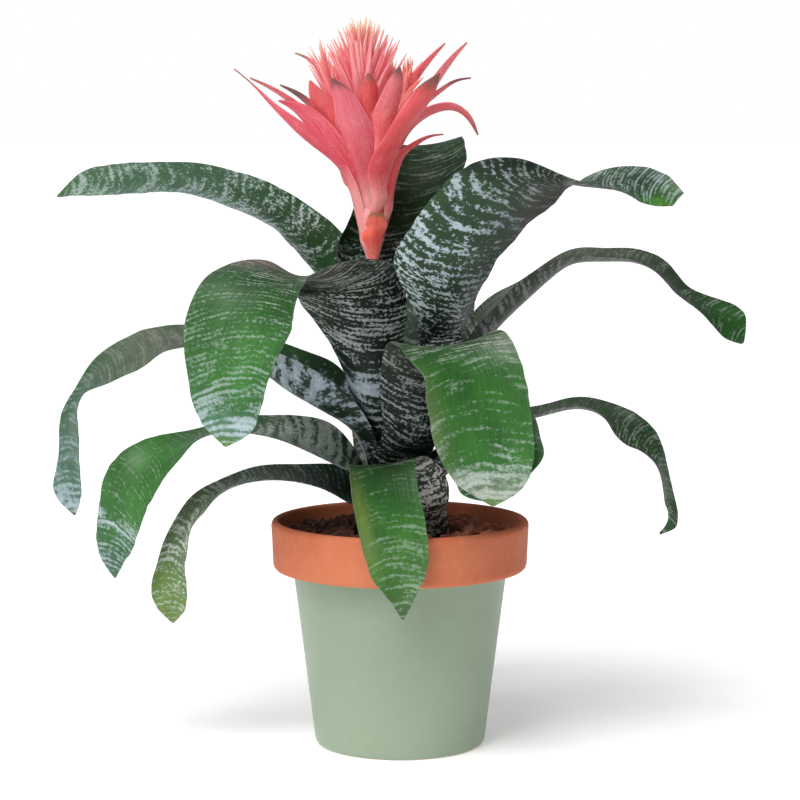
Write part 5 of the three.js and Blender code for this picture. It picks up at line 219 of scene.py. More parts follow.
        [-33.8,90.6,241.9, -26.5,95.6,239.8, -19.5,101.1,238.6, -12.6,106.9,238.1, -6.1,113.2,238.5, 0,119.7,239.6, 5.7,126.5,241.5],
        [-34.1,106.6,232.2, -26.6,111.1,230.6, -19.3,116.1,229.5, -12.4,121.7,229.1, -5.9,127.8,229.2, 0.2,134.3,229.9, 5.7,141.1,231.2],
        [-34.3,118.3,221.2, -26.8,122.4,219.8, -19.5,127.1,218.9, -12.6,132.3,218.4, -6.1,138,218.3, 0.1,144.2,218.6, 5.7,150.8,219.4],
        [-34.2,131.1,203.7, -26.9,134.7,202.7, -19.8,138.9,202, -13.1,143.5,201.5, -6.7,148.7,201.4, -0.7,154.3,201.5, 4.8,160.4,201.8],
        [-33.4,139.6,187, -26.5,142.8,186.3, -19.9,146.6,185.7, -13.6,150.8,185.3, -7.6,155.5,185.1, -2,160.7,185.1, 3.2,166.3,185.2],
        [-31.4,146.9,167, -25.4,149.7,166.5, -19.6,153,166.1, -14.1,156.6,165.8, -8.9,160.7,165.6, -4,165.1,165.5, 0.6,169.9,165.5],
        [-27.1,153.2,149.5, -22.8,155.2,149.2, -18.7,157.5,149, -14.7,160.1,148.8, -10.9,162.9,148.7, -7.2,166,148.6, -3.8,169.3,148.5],
        [-16.2,162.3,131.4, -16,162.5,131.4, -15.8,162.8,131.4, -15.5,163,131.3, -15.3,163.2,131.3, -15.1,163.5,131.3, -14.8,163.7,131.2],
    ],
    "leaf_right_lower": [
        [18.7,17.8,128, 23.5,12.4,128, 26.4,5.7,128, 27,-1.6,128, 25.3,-8.7,128, 21.6,-15,128, 16.1,-19.7,128],
        [17.2,17.4,153.1, 21.5,11.9,153.6, 24.1,5.3,154, 24.6,-1.7,154, 23.1,-8.5,153.8, 19.7,-14.6,153.4, 14.6,-19.5,152.7],
        [16.4,16.6,171.9, 20.2,11.1,172.4, 22.5,4.8,172.7, 22.9,-1.9,172.7, 21.5,-8.4,172.6, 18.4,-14.4,172.2, 13.8,-19.2,171.7],
        [21.1,12.7,185.1, 24.5,7.1,184.4, 26.3,0.7,184, 26.3,-5.9,184, 24.6,-12.3,184.3, 21.4,-18,184.8, 16.8,-22.5,185.7],
        [31,10.1,196.4, 33.3,4.7,193.7, 34.4,-1.5,191.9, 34.1,-8.1,191.2, 32.5,-14.6,191.7, 29.7,-20.3,193.3, 25.9,-25,195.9],
        [43.7,11.9,204.2, 44.7,7.1,199.9, 45.1,1.3,196.9, 44.8,-5.1,195.4, 43.9,-11.5,195.6, 42.3,-17.6,197.3, 40.3,-22.9,200.6],
        [61.3,12.9,211.2, 61.7,8.1,207.8, 61.7,2.6,205.4, 61.2,-3.2,204.3, 60.4,-9.1,204.4, 59.2,-14.8,205.7, 57.7,-20,208.2],
        [79.6,12.7,215.2, 79.7,7.8,212.6, 79.5,2.5,210.8, 79,-3.1,209.9, 78.4,-8.7,210, 77.5,-14.1,211, 76.5,-19.3,212.9],
        [95.3,11.1,218.5, 95.4,5.7,216.2, 95.2,0,214.7, 94.8,-5.8,214, 94.2,-11.7,214.2, 93.4,-17.5,215.2, 92.5,-23,217.1],
        [111.7,10.1,222, 111.3,4.4,219.8, 110.7,-1.5,218.4, 110.1,-7.5,217.7, 109.5,-13.6,217.8, 108.9,-19.6,218.7, 108.2,-25.5,220.2],
        [127,10.6,220.4, 125.6,5.2,218.5, 124.4,-0.4,217.2, 123.3,-6.2,216.4, 122.4,-12.1,216.2, 121.7,-18,216.6, 121.3,-23.8,217.6],
        [144.4,9.9,215.2, 141.8,5.3,213, 139.4,0.5,211.1, 137.3,-4.6,209.6, 135.4,-9.8,208.5, 133.9,-15.2,207.8, 132.5,-20.7,207.5],
        [158.9,7.4,207.3, 155.8,3.9,204.7, 152.9,0.2,202.4, 150.2,-3.9,200.3, 147.8,-8.1,198.4, 145.5,-12.6,196.8, 143.5,-17.3,195.4],
        [167.9,7.6,192.9, 165.5,4.1,191.5, 163.4,0.5,190.2, 161.5,-3.4,189, 159.8,-7.4,188.1, 158.4,-11.5,187.2, 157.3,-15.8,186.6],
        [172.9,6.9,173.7, 170.9,3.6,173.9, 169.2,0.2,174.1, 167.8,-3.3,174.5, 166.6,-6.9,174.9, 165.7,-10.6,175.4, 165,-14.3,176],
        [176.8,3.8,154.5, 175.1,1.8,155.1, 173.6,-0.4,155.7, 172.1,-2.6,156.4, 170.8,-5,157.1, 169.7,-7.3,157.8, 168.6,-9.8,158.5],
        [176.4,-2,140.5, 175.6,-2.2,141.5, 174.8,-2.4,142.4, 174,-2.7,143.4, 173.2,-2.9,144.4, 172.5,-3.3,145.4, 171.7,-3.6,146.4],
        [166.4,-5.6,135.7, 166.3,-5.8,136, 166.3,-5.9,136.2, 166.3,-6,136.4, 166.3,-6.1,136.6, 166.3,-6.2,136.8, 166.3,-6.4,137.1],
    ],
    "leaf_left_lower": [
        [0.7,-24.4,128, -7.8,-21.7,128, -14.7,-16.2,128, -19.2,-8.4,128, -20.7,0.4,128, -19,9.2,128, -14.3,16.7,128],
        [-4.4,-24.9,156.9, -12.4,-21.8,155.9, -18.9,-16.2,155, -23.2,-8.7,154.5, -24.7,-0.2,154.3, -23.4,8.3,154.5, -19.3,15.9,155],
        [-8.5,-25.6,170.3, -15.8,-22.2,169.4, -21.6,-16.7,168.7, -25.4,-9.6,168.2, -26.9,-1.6,168.1, -25.7,6.4,168.4, -22.2,13.7,168.9],
        [-18.9,-30.9,176.3, -23.3,-26.7,176.2, -26.5,-21.5,176.4, -28.4,-15.6,177.1, -28.6,-9.6,178.2, -27.3,-3.7,179.6, -24.4,1.6,181.3],
        [-28.6,-34.7,179.9, -31.5,-29.1,179.8, -33.6,-23.2,180.7, -34.6,-17.2,182.8, -34.5,-11.6,185.7, -33.2,-6.7,189.4, -30.9,-2.8,193.6],
        [-43.6,-37.4,186.6, -45.4,-30.5,186.9, -46.5,-23.7,188.6, -47,-17.2,191.6, -46.7,-11.4,195.8, -45.7,-6.5,200.9, -44.1,-2.7,206.8],
        [-59.5,-41.2,194.9, -60.5,-34.1,195, -61.1,-27.2,196.3, -61.3,-20.5,198.7, -61.1,-14.2,202.1, -60.5,-8.6,206.4, -59.5,-3.8,211.5],
        [-78,-44.7,202.6, -78.5,-37.8,202.2, -78.8,-30.9,202.7, -79,-24.1,204, -79,-17.6,206.1, -78.9,-11.3,209.1, -78.6,-5.5,212.7],
        [-97.5,-47,207.3, -97.6,-40.4,206.2, -97.6,-33.7,205.9, -97.6,-27,206.3, -97.7,-20.4,207.5, -97.7,-13.9,209.4, -97.7,-7.7,212],
        [-114.2,-48.6,208, -114,-42.3,206.3, -113.9,-35.8,205.3, -113.9,-29.2,205.1, -114.1,-22.7,205.5, -114.4,-16.3,206.7, -114.9,-10,208.5],
        [-127.2,-49.6,201.8, -127.7,-43.2,200.6, -128.4,-36.8,200.1, -129.4,-30.4,200, -130.7,-24.1,200.6, -132.2,-17.9,201.7, -133.9,-11.9,203.4],
        [-139.3,-48.7,187.7, -141.3,-42.7,188.6, -143.5,-36.8,190, -145.9,-31.1,191.8, -148.6,-25.7,194, -151.4,-20.5,196.5, -154.5,-15.6,199.5],
        [-149.5,-44.8,173.9, -152.4,-40.1,176.8, -155.6,-35.8,179.9, -159,-31.8,183.3, -162.5,-28.2,186.9, -166.2,-25,190.8, -170.1,-22.2,194.9],
        [-157.4,-39.6,159.5, -161.2,-36.9,163.4, -165.2,-34.6,167.4, -169.3,-32.8,171.6, -173.5,-31.4,175.8, -177.7,-30.5,180.1, -182,-30.1,184.5],
        [-162.2,-40.8,148.2, -166.1,-38.2,151.5, -170.1,-36,154.9, -174.3,-34.2,158.4, -178.6,-32.7,161.9, -182.9,-31.7,165.4, -187.3,-31.1,169],
        [-167.2,-42.9,133.8, -170.9,-40.4,135.7, -174.8,-38.2,137.6, -178.8,-36.2,139.6, -182.9,-34.5,141.6, -187,-33.1,143.7, -191.3,-32,145.8],
        [-173,-42.3,123.6, -175.6,-40.5,124.4, -178.3,-38.9,125.2, -181,-37.4,126, -183.8,-36,126.9, -186.7,-34.8,127.7, -189.6,-33.7,128.5],
        [-178.6,-38.6,113.5, -178.7,-38.4,113.5, -178.9,-38.2,113.5, -179,-38,113.5, -179.1,-37.8,113.5, -179.2,-37.6,113.5, -179.4,-37.4,113.5],
    ],
    "leaf_front_right_inner": [
        [27.6,11.8,128, 30.2,3.3,128, 29.7,-5.7,128, 26.3,-14,128, 20.4,-20.6,128, 12.6,-24.9,128, 3.8,-26.3,128],
        [26.4,10.8,148.5, 28.5,2.4,148.8, 27.8,-6.3,148.7, 24.5,-14.3,148.2, 18.7,-20.8,147.5, 11.3,-25.1,146.5, 2.8,-26.8,145.4],
        [25.4,9.9,162, 27.2,1.6,162.2, 26.4,-6.8,162.1, 23.1,-14.5,161.7, 17.6,-20.9,160.9, 10.4,-25.2,160, 2.3,-27.2,158.9],
        [26.2,6.5,171, 27.7,-1.4,171, 26.9,-9.5,170.8, 23.7,-17,170.3, 18.6,-23.2,169.8, 11.9,-27.6,169.1, 4.3,-29.8,168.4],
        [29.7,-1.6,178.6, 31,-9,178, 30.3,-16.6,177.5, 27.6,-23.6,177.2, 23.1,-29.7,177, 17.3,-34.3,177.1, 10.5,-37,177.3],
        [34.9,-11.9,186, 35.9,-18.7,184.6, 35.2,-25.7,183.7, 32.9,-32.4,183.5, 29.2,-38.3,183.8, 24.3,-43,184.7, 18.5,-46.2,186.2],
        [41.1,-21.4,194.3, 41.5,-27.8,192.3, 40.5,-34.3,191.2, 38.2,-40.6,190.9, 34.8,-46.3,191.5, 30.3,-51.1,193, 25.2,-54.7,195.3],
        [47.9,-27.6,203.7, 47.1,-33.9,201.6, 45.2,-40.2,200.4, 42.2,-46.3,200, 38.3,-51.7,200.5, 33.6,-56.4,201.9, 28.3,-60,204.1],
        [55.4,-34,213.3, 53.2,-40.4,211, 49.9,-46.6,209.5, 45.8,-52.4,208.9, 40.9,-57.6,209.3, 35.5,-62.1,210.5, 29.6,-65.6,212.5],
        [63.1,-42.8,221.1, 59.1,-48.9,218.3, 54.3,-54.7,216.5, 48.8,-60.3,215.8, 42.8,-65.3,216.1, 36.5,-69.6,217.4, 30,-73.2,219.7],
        [71,-53.5,224.3, 64.8,-57.9,221.7, 58.2,-62.4,220, 51.4,-66.9,219.3, 44.4,-71.2,219.7, 37.4,-75.4,221, 30.4,-79.3,223.2],
        [79.3,-63.3,221.2, 71,-65.1,219.6, 62.7,-67.4,218.6, 54.5,-70.2,218.3, 46.4,-73.6,218.5, 38.6,-77.5,219.4, 31.2,-81.8,220.9],
        [84.3,-73.6,213.8, 75.3,-73.3,212.8, 66.2,-73.6,212.2, 57.3,-74.8,211.9, 48.5,-76.6,212.1, 39.9,-79.2,212.7, 31.6,-82.5,213.6],
        [86.4,-81,205.1, 77.3,-79.3,204.2, 68.1,-78.4,203.6, 58.9,-78.4,203.4, 49.6,-79.1,203.4, 40.5,-80.6,203.7, 31.6,-82.9,204.4],
        [85.8,-85.3,195.9, 77,-83.1,194.5, 68.1,-81.8,193.3, 59,-81.3,192.4, 49.9,-81.8,191.7, 40.9,-83,191.2, 32,-85.2,191],
        [79.1,-87.8,186.3, 71.8,-86,184.8, 64.4,-84.9,183.4, 56.9,-84.6,182.1, 49.3,-84.9,181, 41.8,-86,180.1, 34.4,-87.7,179.3],
        [69.1,-88.9,177.5, 64.3,-88.1,176.6, 59.5,-87.6,175.7, 54.6,-87.4,174.9, 49.7,-87.6,174.1, 44.9,-88.1,173.4, 40,-88.9,172.8],
        [56.3,-89.7,170, 56,-89.8,169.9, 55.7,-89.9,169.8, 55.4,-90,169.7, 55.1,-90.1,169.6, 54.8,-90.2,169.5, 54.4,-90.3,169.4],
    ],
    "leaf_back_lower": [
        [-13.4,21.7,128, -7.3,25.6,128, -0.3,27.6,128, 6.9,27.8,128, 14,26.1,128, 20.4,22.7,128, 25.6,17.6,128],
        [-15.5,23.3,149.1, -9.4,26.6,149.9, -2.7,28.4,150.8, 4.2,28.5,151.7, 10.9,27,152.6, 17,23.9,153.4, 22.3,19.3,154.1],
        [-15.8,27,165.6, -9.8,29.6,166.2, -3.4,30.8,167, 3.1,30.4,167.8, 9.3,28.6,168.6, 14.9,25.4,169.4, 19.6,20.9,170.2],
        [-13.8,38.2,181.2, -7.3,39.3,181.2, -0.8,38.7,181.4, 5.4,36.6,182, 10.7,33.1,182.8, 15,28.4,183.9, 18,22.8,185.1],
        [-12.1,51.5,195.8, -5.1,50.9,195, 1.6,48.6,194.7, 7.6,44.8,195, 12.5,39.7,195.8, 16,33.7,197.2, 17.9,27.1,199.1],
        [-12.6,63.1,207, -5.5,61,205.2, 1.4,57.6,204.3, 7.7,53.2,204.4, 13,47.8,205.4, 17.3,41.7,207.4, 20.3,35.3,210.1],
        [-13.4,75.9,215.3, -6.4,72.4,213.1, 0.4,68.3,211.9, 7,63.5,211.9, 13.1,58.3,213, 18.6,52.7,215.2, 23.3,47,218.5],
        [-13.5,90.3,219.4, -6.9,85.7,217.5, -0.2,80.9,216.6, 6.4,75.9,216.6, 12.9,70.7,217.6, 19.1,65.6,219.6, 25,60.5,222.6],
        [-13.6,103,218.8, -7.4,97.6,217.3, -1.1,92.2,216.7, 5.3,86.9,216.8, 11.8,81.7,217.7, 18.3,76.8,219.5, 24.7,72.1,222.1],
        [-13.7,117,213.6, -8.1,110.9,212.7, -2.1,105.1,212.3, 4.2,99.5,212.6, 10.7,94.4,213.5, 17.3,89.6,214.9, 24.2,85.3,217],
        [-13.8,128.1,204.4, -8.3,121.8,203.9, -2.4,115.9,203.9, 3.8,110.4,204.2, 10.4,105.3,205, 17.3,100.7,206.3, 24.4,96.7,207.9],
        [-13.9,137.2,190.9, -8.5,131.1,190.7, -2.7,125.5,190.9, 3.5,120.2,191.3, 10,115.5,192.1, 16.9,111.3,193.1, 24,107.6,194.4],
        [-13.8,143.8,175.8, -8.6,138.1,175.9, -2.9,132.7,176.2, 3.1,127.8,176.7, 9.5,123.4,177.4, 16.2,119.5,178.3, 23.1,116,179.4],
        [-13,150.4,157.9, -8.1,144.9,158.2, -2.9,139.7,158.6, 2.7,135,159.1, 8.6,130.6,159.8, 14.8,126.7,160.6, 21.3,123.3,161.6],
        [-11.3,154.4,137.6, -6.7,149.7,137.9, -1.8,145.4,138.3, 3.4,141.4,138.8, 8.8,137.8,139.4, 14.4,134.5,140.1, 20.3,131.6,140.9],
        [-9.1,155.4,119.5, -4.9,152,119.8, -0.5,148.8,120.1, 4,145.9,120.6, 8.7,143.3,121, 13.5,141,121.5, 18.5,139,122.1],
        [-6,154.9,103.9, -2.8,152.8,104.1, 0.5,150.9,104.4, 3.9,149.1,104.6, 7.3,147.5,104.9, 10.9,146,105.3, 14.5,144.7,105.6],
        [2.8,151.7,87.5, 3,151.5,87.6, 3.3,151.2,87.6, 3.5,151,87.6, 3.7,150.8,87.7, 4,150.5,87.7, 4.2,150.3,87.8],
    ],
    "leaf_left_lowest": [
        [-11.7,-25.2,128, -18.5,-19.4,128, -23.2,-11.8,128, -25.5,-3.1,128, -25.1,5.9,128, -22,14.3,128, -16.6,21.4,128],
        [-15.6,-24.8,149.1, -21.9,-18.9,148.3, -26.2,-11.5,147.7, -28.3,-3.1,147.4, -28,5.5,147.4, -25.3,13.7,147.8, -20.4,20.8,148.4],
        [-19.2,-24.5,157.4, -24.6,-18.7,156.9, -28.3,-11.8,156.7, -30.1,-4.1,157, -29.9,3.7,157.6, -27.6,11.1,158.6, -23.4,17.5,159.8],
        [-25.4,-24.9,156.6, -28.8,-19.4,157, -31.2,-13.4,158.2, -32.4,-7.3,160.3, -32.3,-1.4,163, -30.8,3.9,166.2, -28.2,8.5,169.9],
        [-33.3,-25.9,160, -35.4,-20,160.4, -36.9,-14.1,161.9, -37.8,-8.4,164.4, -37.8,-3,167.9, -37.2,1.7,172.1, -35.9,5.7,177],
        [-46.5,-28.8,168, -47.5,-22.5,167.4, -48.2,-16.1,167.9, -48.6,-9.8,169.4, -48.7,-3.9,172, -48.5,1.6,175.5, -47.9,6.3,179.8],
        [-60.2,-31.5,172.8, -60.6,-25.2,171.8, -61,-18.7,171.6, -61.2,-12.3,172.3, -61.3,-6,173.9, -61.3,-0.1,176.4, -61.2,5.5,179.6],
        [-75.9,-33.4,175.1, -76.1,-27.1,174.1, -76.3,-20.8,173.8, -76.4,-14.4,174.3, -76.5,-8.1,175.4, -76.7,-2,177.2, -76.7,3.9,179.7],
        [-93,-35.2,174.2, -92.4,-29,173.4, -92,-22.7,173.2, -91.6,-16.4,173.7, -91.3,-10.2,174.8, -91.1,-4.2,176.6, -91,1.6,178.9],
        [-106.7,-36.9,170.5, -105.7,-30.8,169.9, -104.9,-24.6,169.8, -104.2,-18.5,170.3, -103.8,-12.3,171.4, -103.6,-6.4,173, -103.7,-0.5,175.2],
        [-116.2,-38.6,163.8, -115.9,-32.5,163.6, -115.8,-26.5,163.8, -116,-20.4,164.5, -116.5,-14.5,165.6, -117.2,-8.7,167.2, -118.2,-3.1,169.1],
        [-123.8,-39.3,155.2, -124.3,-33.4,155.3, -125.2,-27.5,155.8, -126.4,-21.8,156.6, -128,-16.2,157.8, -129.8,-10.7,159.3, -131.9,-5.5,161.2],
        [-130.4,-39.3,146.7, -131.5,-33.7,146.3, -133,-28.2,146.3, -134.9,-22.8,146.4, -137.2,-17.5,146.8, -139.8,-12.5,147.5, -142.7,-7.7,148.3],
        [-133.3,-38.7,134.9, -135.2,-33.5,134.6, -137.4,-28.6,134.4, -139.9,-23.7,134.4, -142.8,-19.1,134.4, -146.1,-14.8,134.6, -149.6,-10.7,134.9],
        [-135.3,-37.5,120, -137.7,-33.1,119.8, -140.5,-28.8,119.6, -143.5,-24.8,119.4, -146.9,-21,119.4, -150.5,-17.5,119.3, -154.3,-14.2,119.4],
        [-134.9,-34,105.7, -138.2,-31.1,105.3, -141.7,-28.3,104.9, -145.4,-25.8,104.5, -149.2,-23.5,104.2, -153.2,-21.5,103.8, -157.3,-19.7,103.5],
        [-135,-30.9,93.7, -138.1,-29.2,93.6, -141.4,-27.6,93.5, -144.7,-26.2,93.3, -148,-25,93.2, -151.5,-24,93, -154.9,-23.1,92.8],
        [-143.2,-27.5,82.6, -143.4,-27.4,82.5, -143.5,-27.2,82.5, -143.7,-27,82.4, -143.9,-26.8,82.4, -144,-26.6,82.4, -144.2,-26.5,82.3],
    ],
    "leaf_front_lowest": [
        [32.2,-13.2,128, 26.9,-21.2,128, 19.4,-27.2,128, 10.5,-30.6,128, 1,-31.1,128, -8.3,-28.7,128, -16.3,-23.5,128],
        [30,-14.8,147.7, 24.6,-22.3,147, 17.3,-27.9,146, 8.7,-31.1,144.9, -0.5,-31.7,143.7, -9.5,-29.6,142.5, -17.4,-24.9,141.5],
        [28.9,-18.4,155.5, 23.4,-25.1,154.6, 16.2,-30.1,153.6, 8,-33,152.6, -0.7,-33.6,151.7, -9.2,-31.8,150.9, -16.9,-27.8,150.4],
        [29.1,-26.5,157, 23.4,-31.9,155.5, 16.5,-35.9,154.3, 8.8,-38.3,153.6, 0.8,-38.8,153.4, -7.1,-37.5,153.8, -14.4,-34.4,154.7],
        [30.1,-35.9,161.5, 23.8,-40.2,159.3, 16.6,-43.2,157.8, 8.9,-44.8,157.2, 1,-44.8,157.5, -6.7,-43.4,158.6, -13.9,-40.5,160.6],
        [30.4,-41.1,171.3, 23.2,-45.1,168.7, 15.1,-47.6,166.9, 6.7,-48.5,166, -1.9,-47.9,165.8, -10.1,-45.7,166.6, -17.8,-42,168.1],
        [26.7,-46.8,182.1, 19,-49.8,179.2, 10.6,-51.6,177, 1.9,-52.1,175.7, -6.8,-51.4,175.2, -15.4,-49.4,175.5, -23.6,-46.3,176.6],
        [20.3,-53,190.2, 12.7,-55,187.2, 4.7,-56.4,185.1, -3.6,-57,183.6, -11.9,-57,183, -20.3,-56.3,183.2, -28.4,-55,184.2],
        [14.2,-58.7,193.4, 7.1,-60.4,190.9, -0.3,-62,189.1, -7.8,-63.3,188, -15.4,-64.5,187.6, -23.1,-65.4,187.8, -30.6,-66.1,188.8],
        [9.7,-64.8,191.8, 2.9,-66.6,190.1, -4,-68.7,188.9, -10.8,-71,188.2, -17.6,-73.5,188.1, -24.3,-76.1,188.4, -30.8,-78.9,189.3],
        [9.3,-72.1,185.7, 2.5,-73.7,184.4, -4.3,-75.8,183.5, -11,-78.1,183, -17.6,-80.9,182.9, -24,-84,183.1, -30.3,-87.5,183.7],
        [11.3,-79.6,175.9, 4.3,-80.8,174.9, -2.6,-82.5,174.1, -9.5,-84.7,173.7, -16.2,-87.2,173.4, -22.8,-90.2,173.5, -29.2,-93.5,173.8],
        [13.9,-85.3,163.3, 6.8,-86.4,162.6, -0.2,-87.9,162, -7.1,-89.9,161.6, -13.9,-92.4,161.5, -20.5,-95.3,161.4, -26.8,-98.6,161.6],
        [16.4,-89.5,150.2, 9.5,-90.2,149.7, 2.6,-91.3,149.3, -4.2,-92.9,148.9, -10.8,-95,148.7, -17.3,-97.6,148.6, -23.6,-100.5,148.6],
        [17.1,-93.7,136.4, 10.6,-93.6,136.2, 4.1,-93.9,136, -2.4,-94.7,135.9, -8.8,-96,135.8, -15,-97.7,135.8, -21.2,-99.9,135.9],
        [14.9,-93.9,123.2, 9.7,-94.4,123.1, 4.6,-95.2,123.1, -0.5,-96.4,123.1, -5.4,-97.9,123.2, -10.3,-99.7,123.3, -15.1,-101.9,123.4],
        [9.4,-95.6,112.8, 6.4,-96.4,112.7, 3.5,-97.3,112.7, 0.6,-98.3,112.7, -2.3,-99.4,112.7, -5,-100.7,112.7, -7.8,-102.1,112.7],
        [2.4,-98.5,98.9, 2.2,-98.7,98.9, 2,-98.8,98.9, 1.8,-99,99, 1.6,-99.2,99, 1.4,-99.3,99, 1.2,-99.5,99.1],
    ],
}

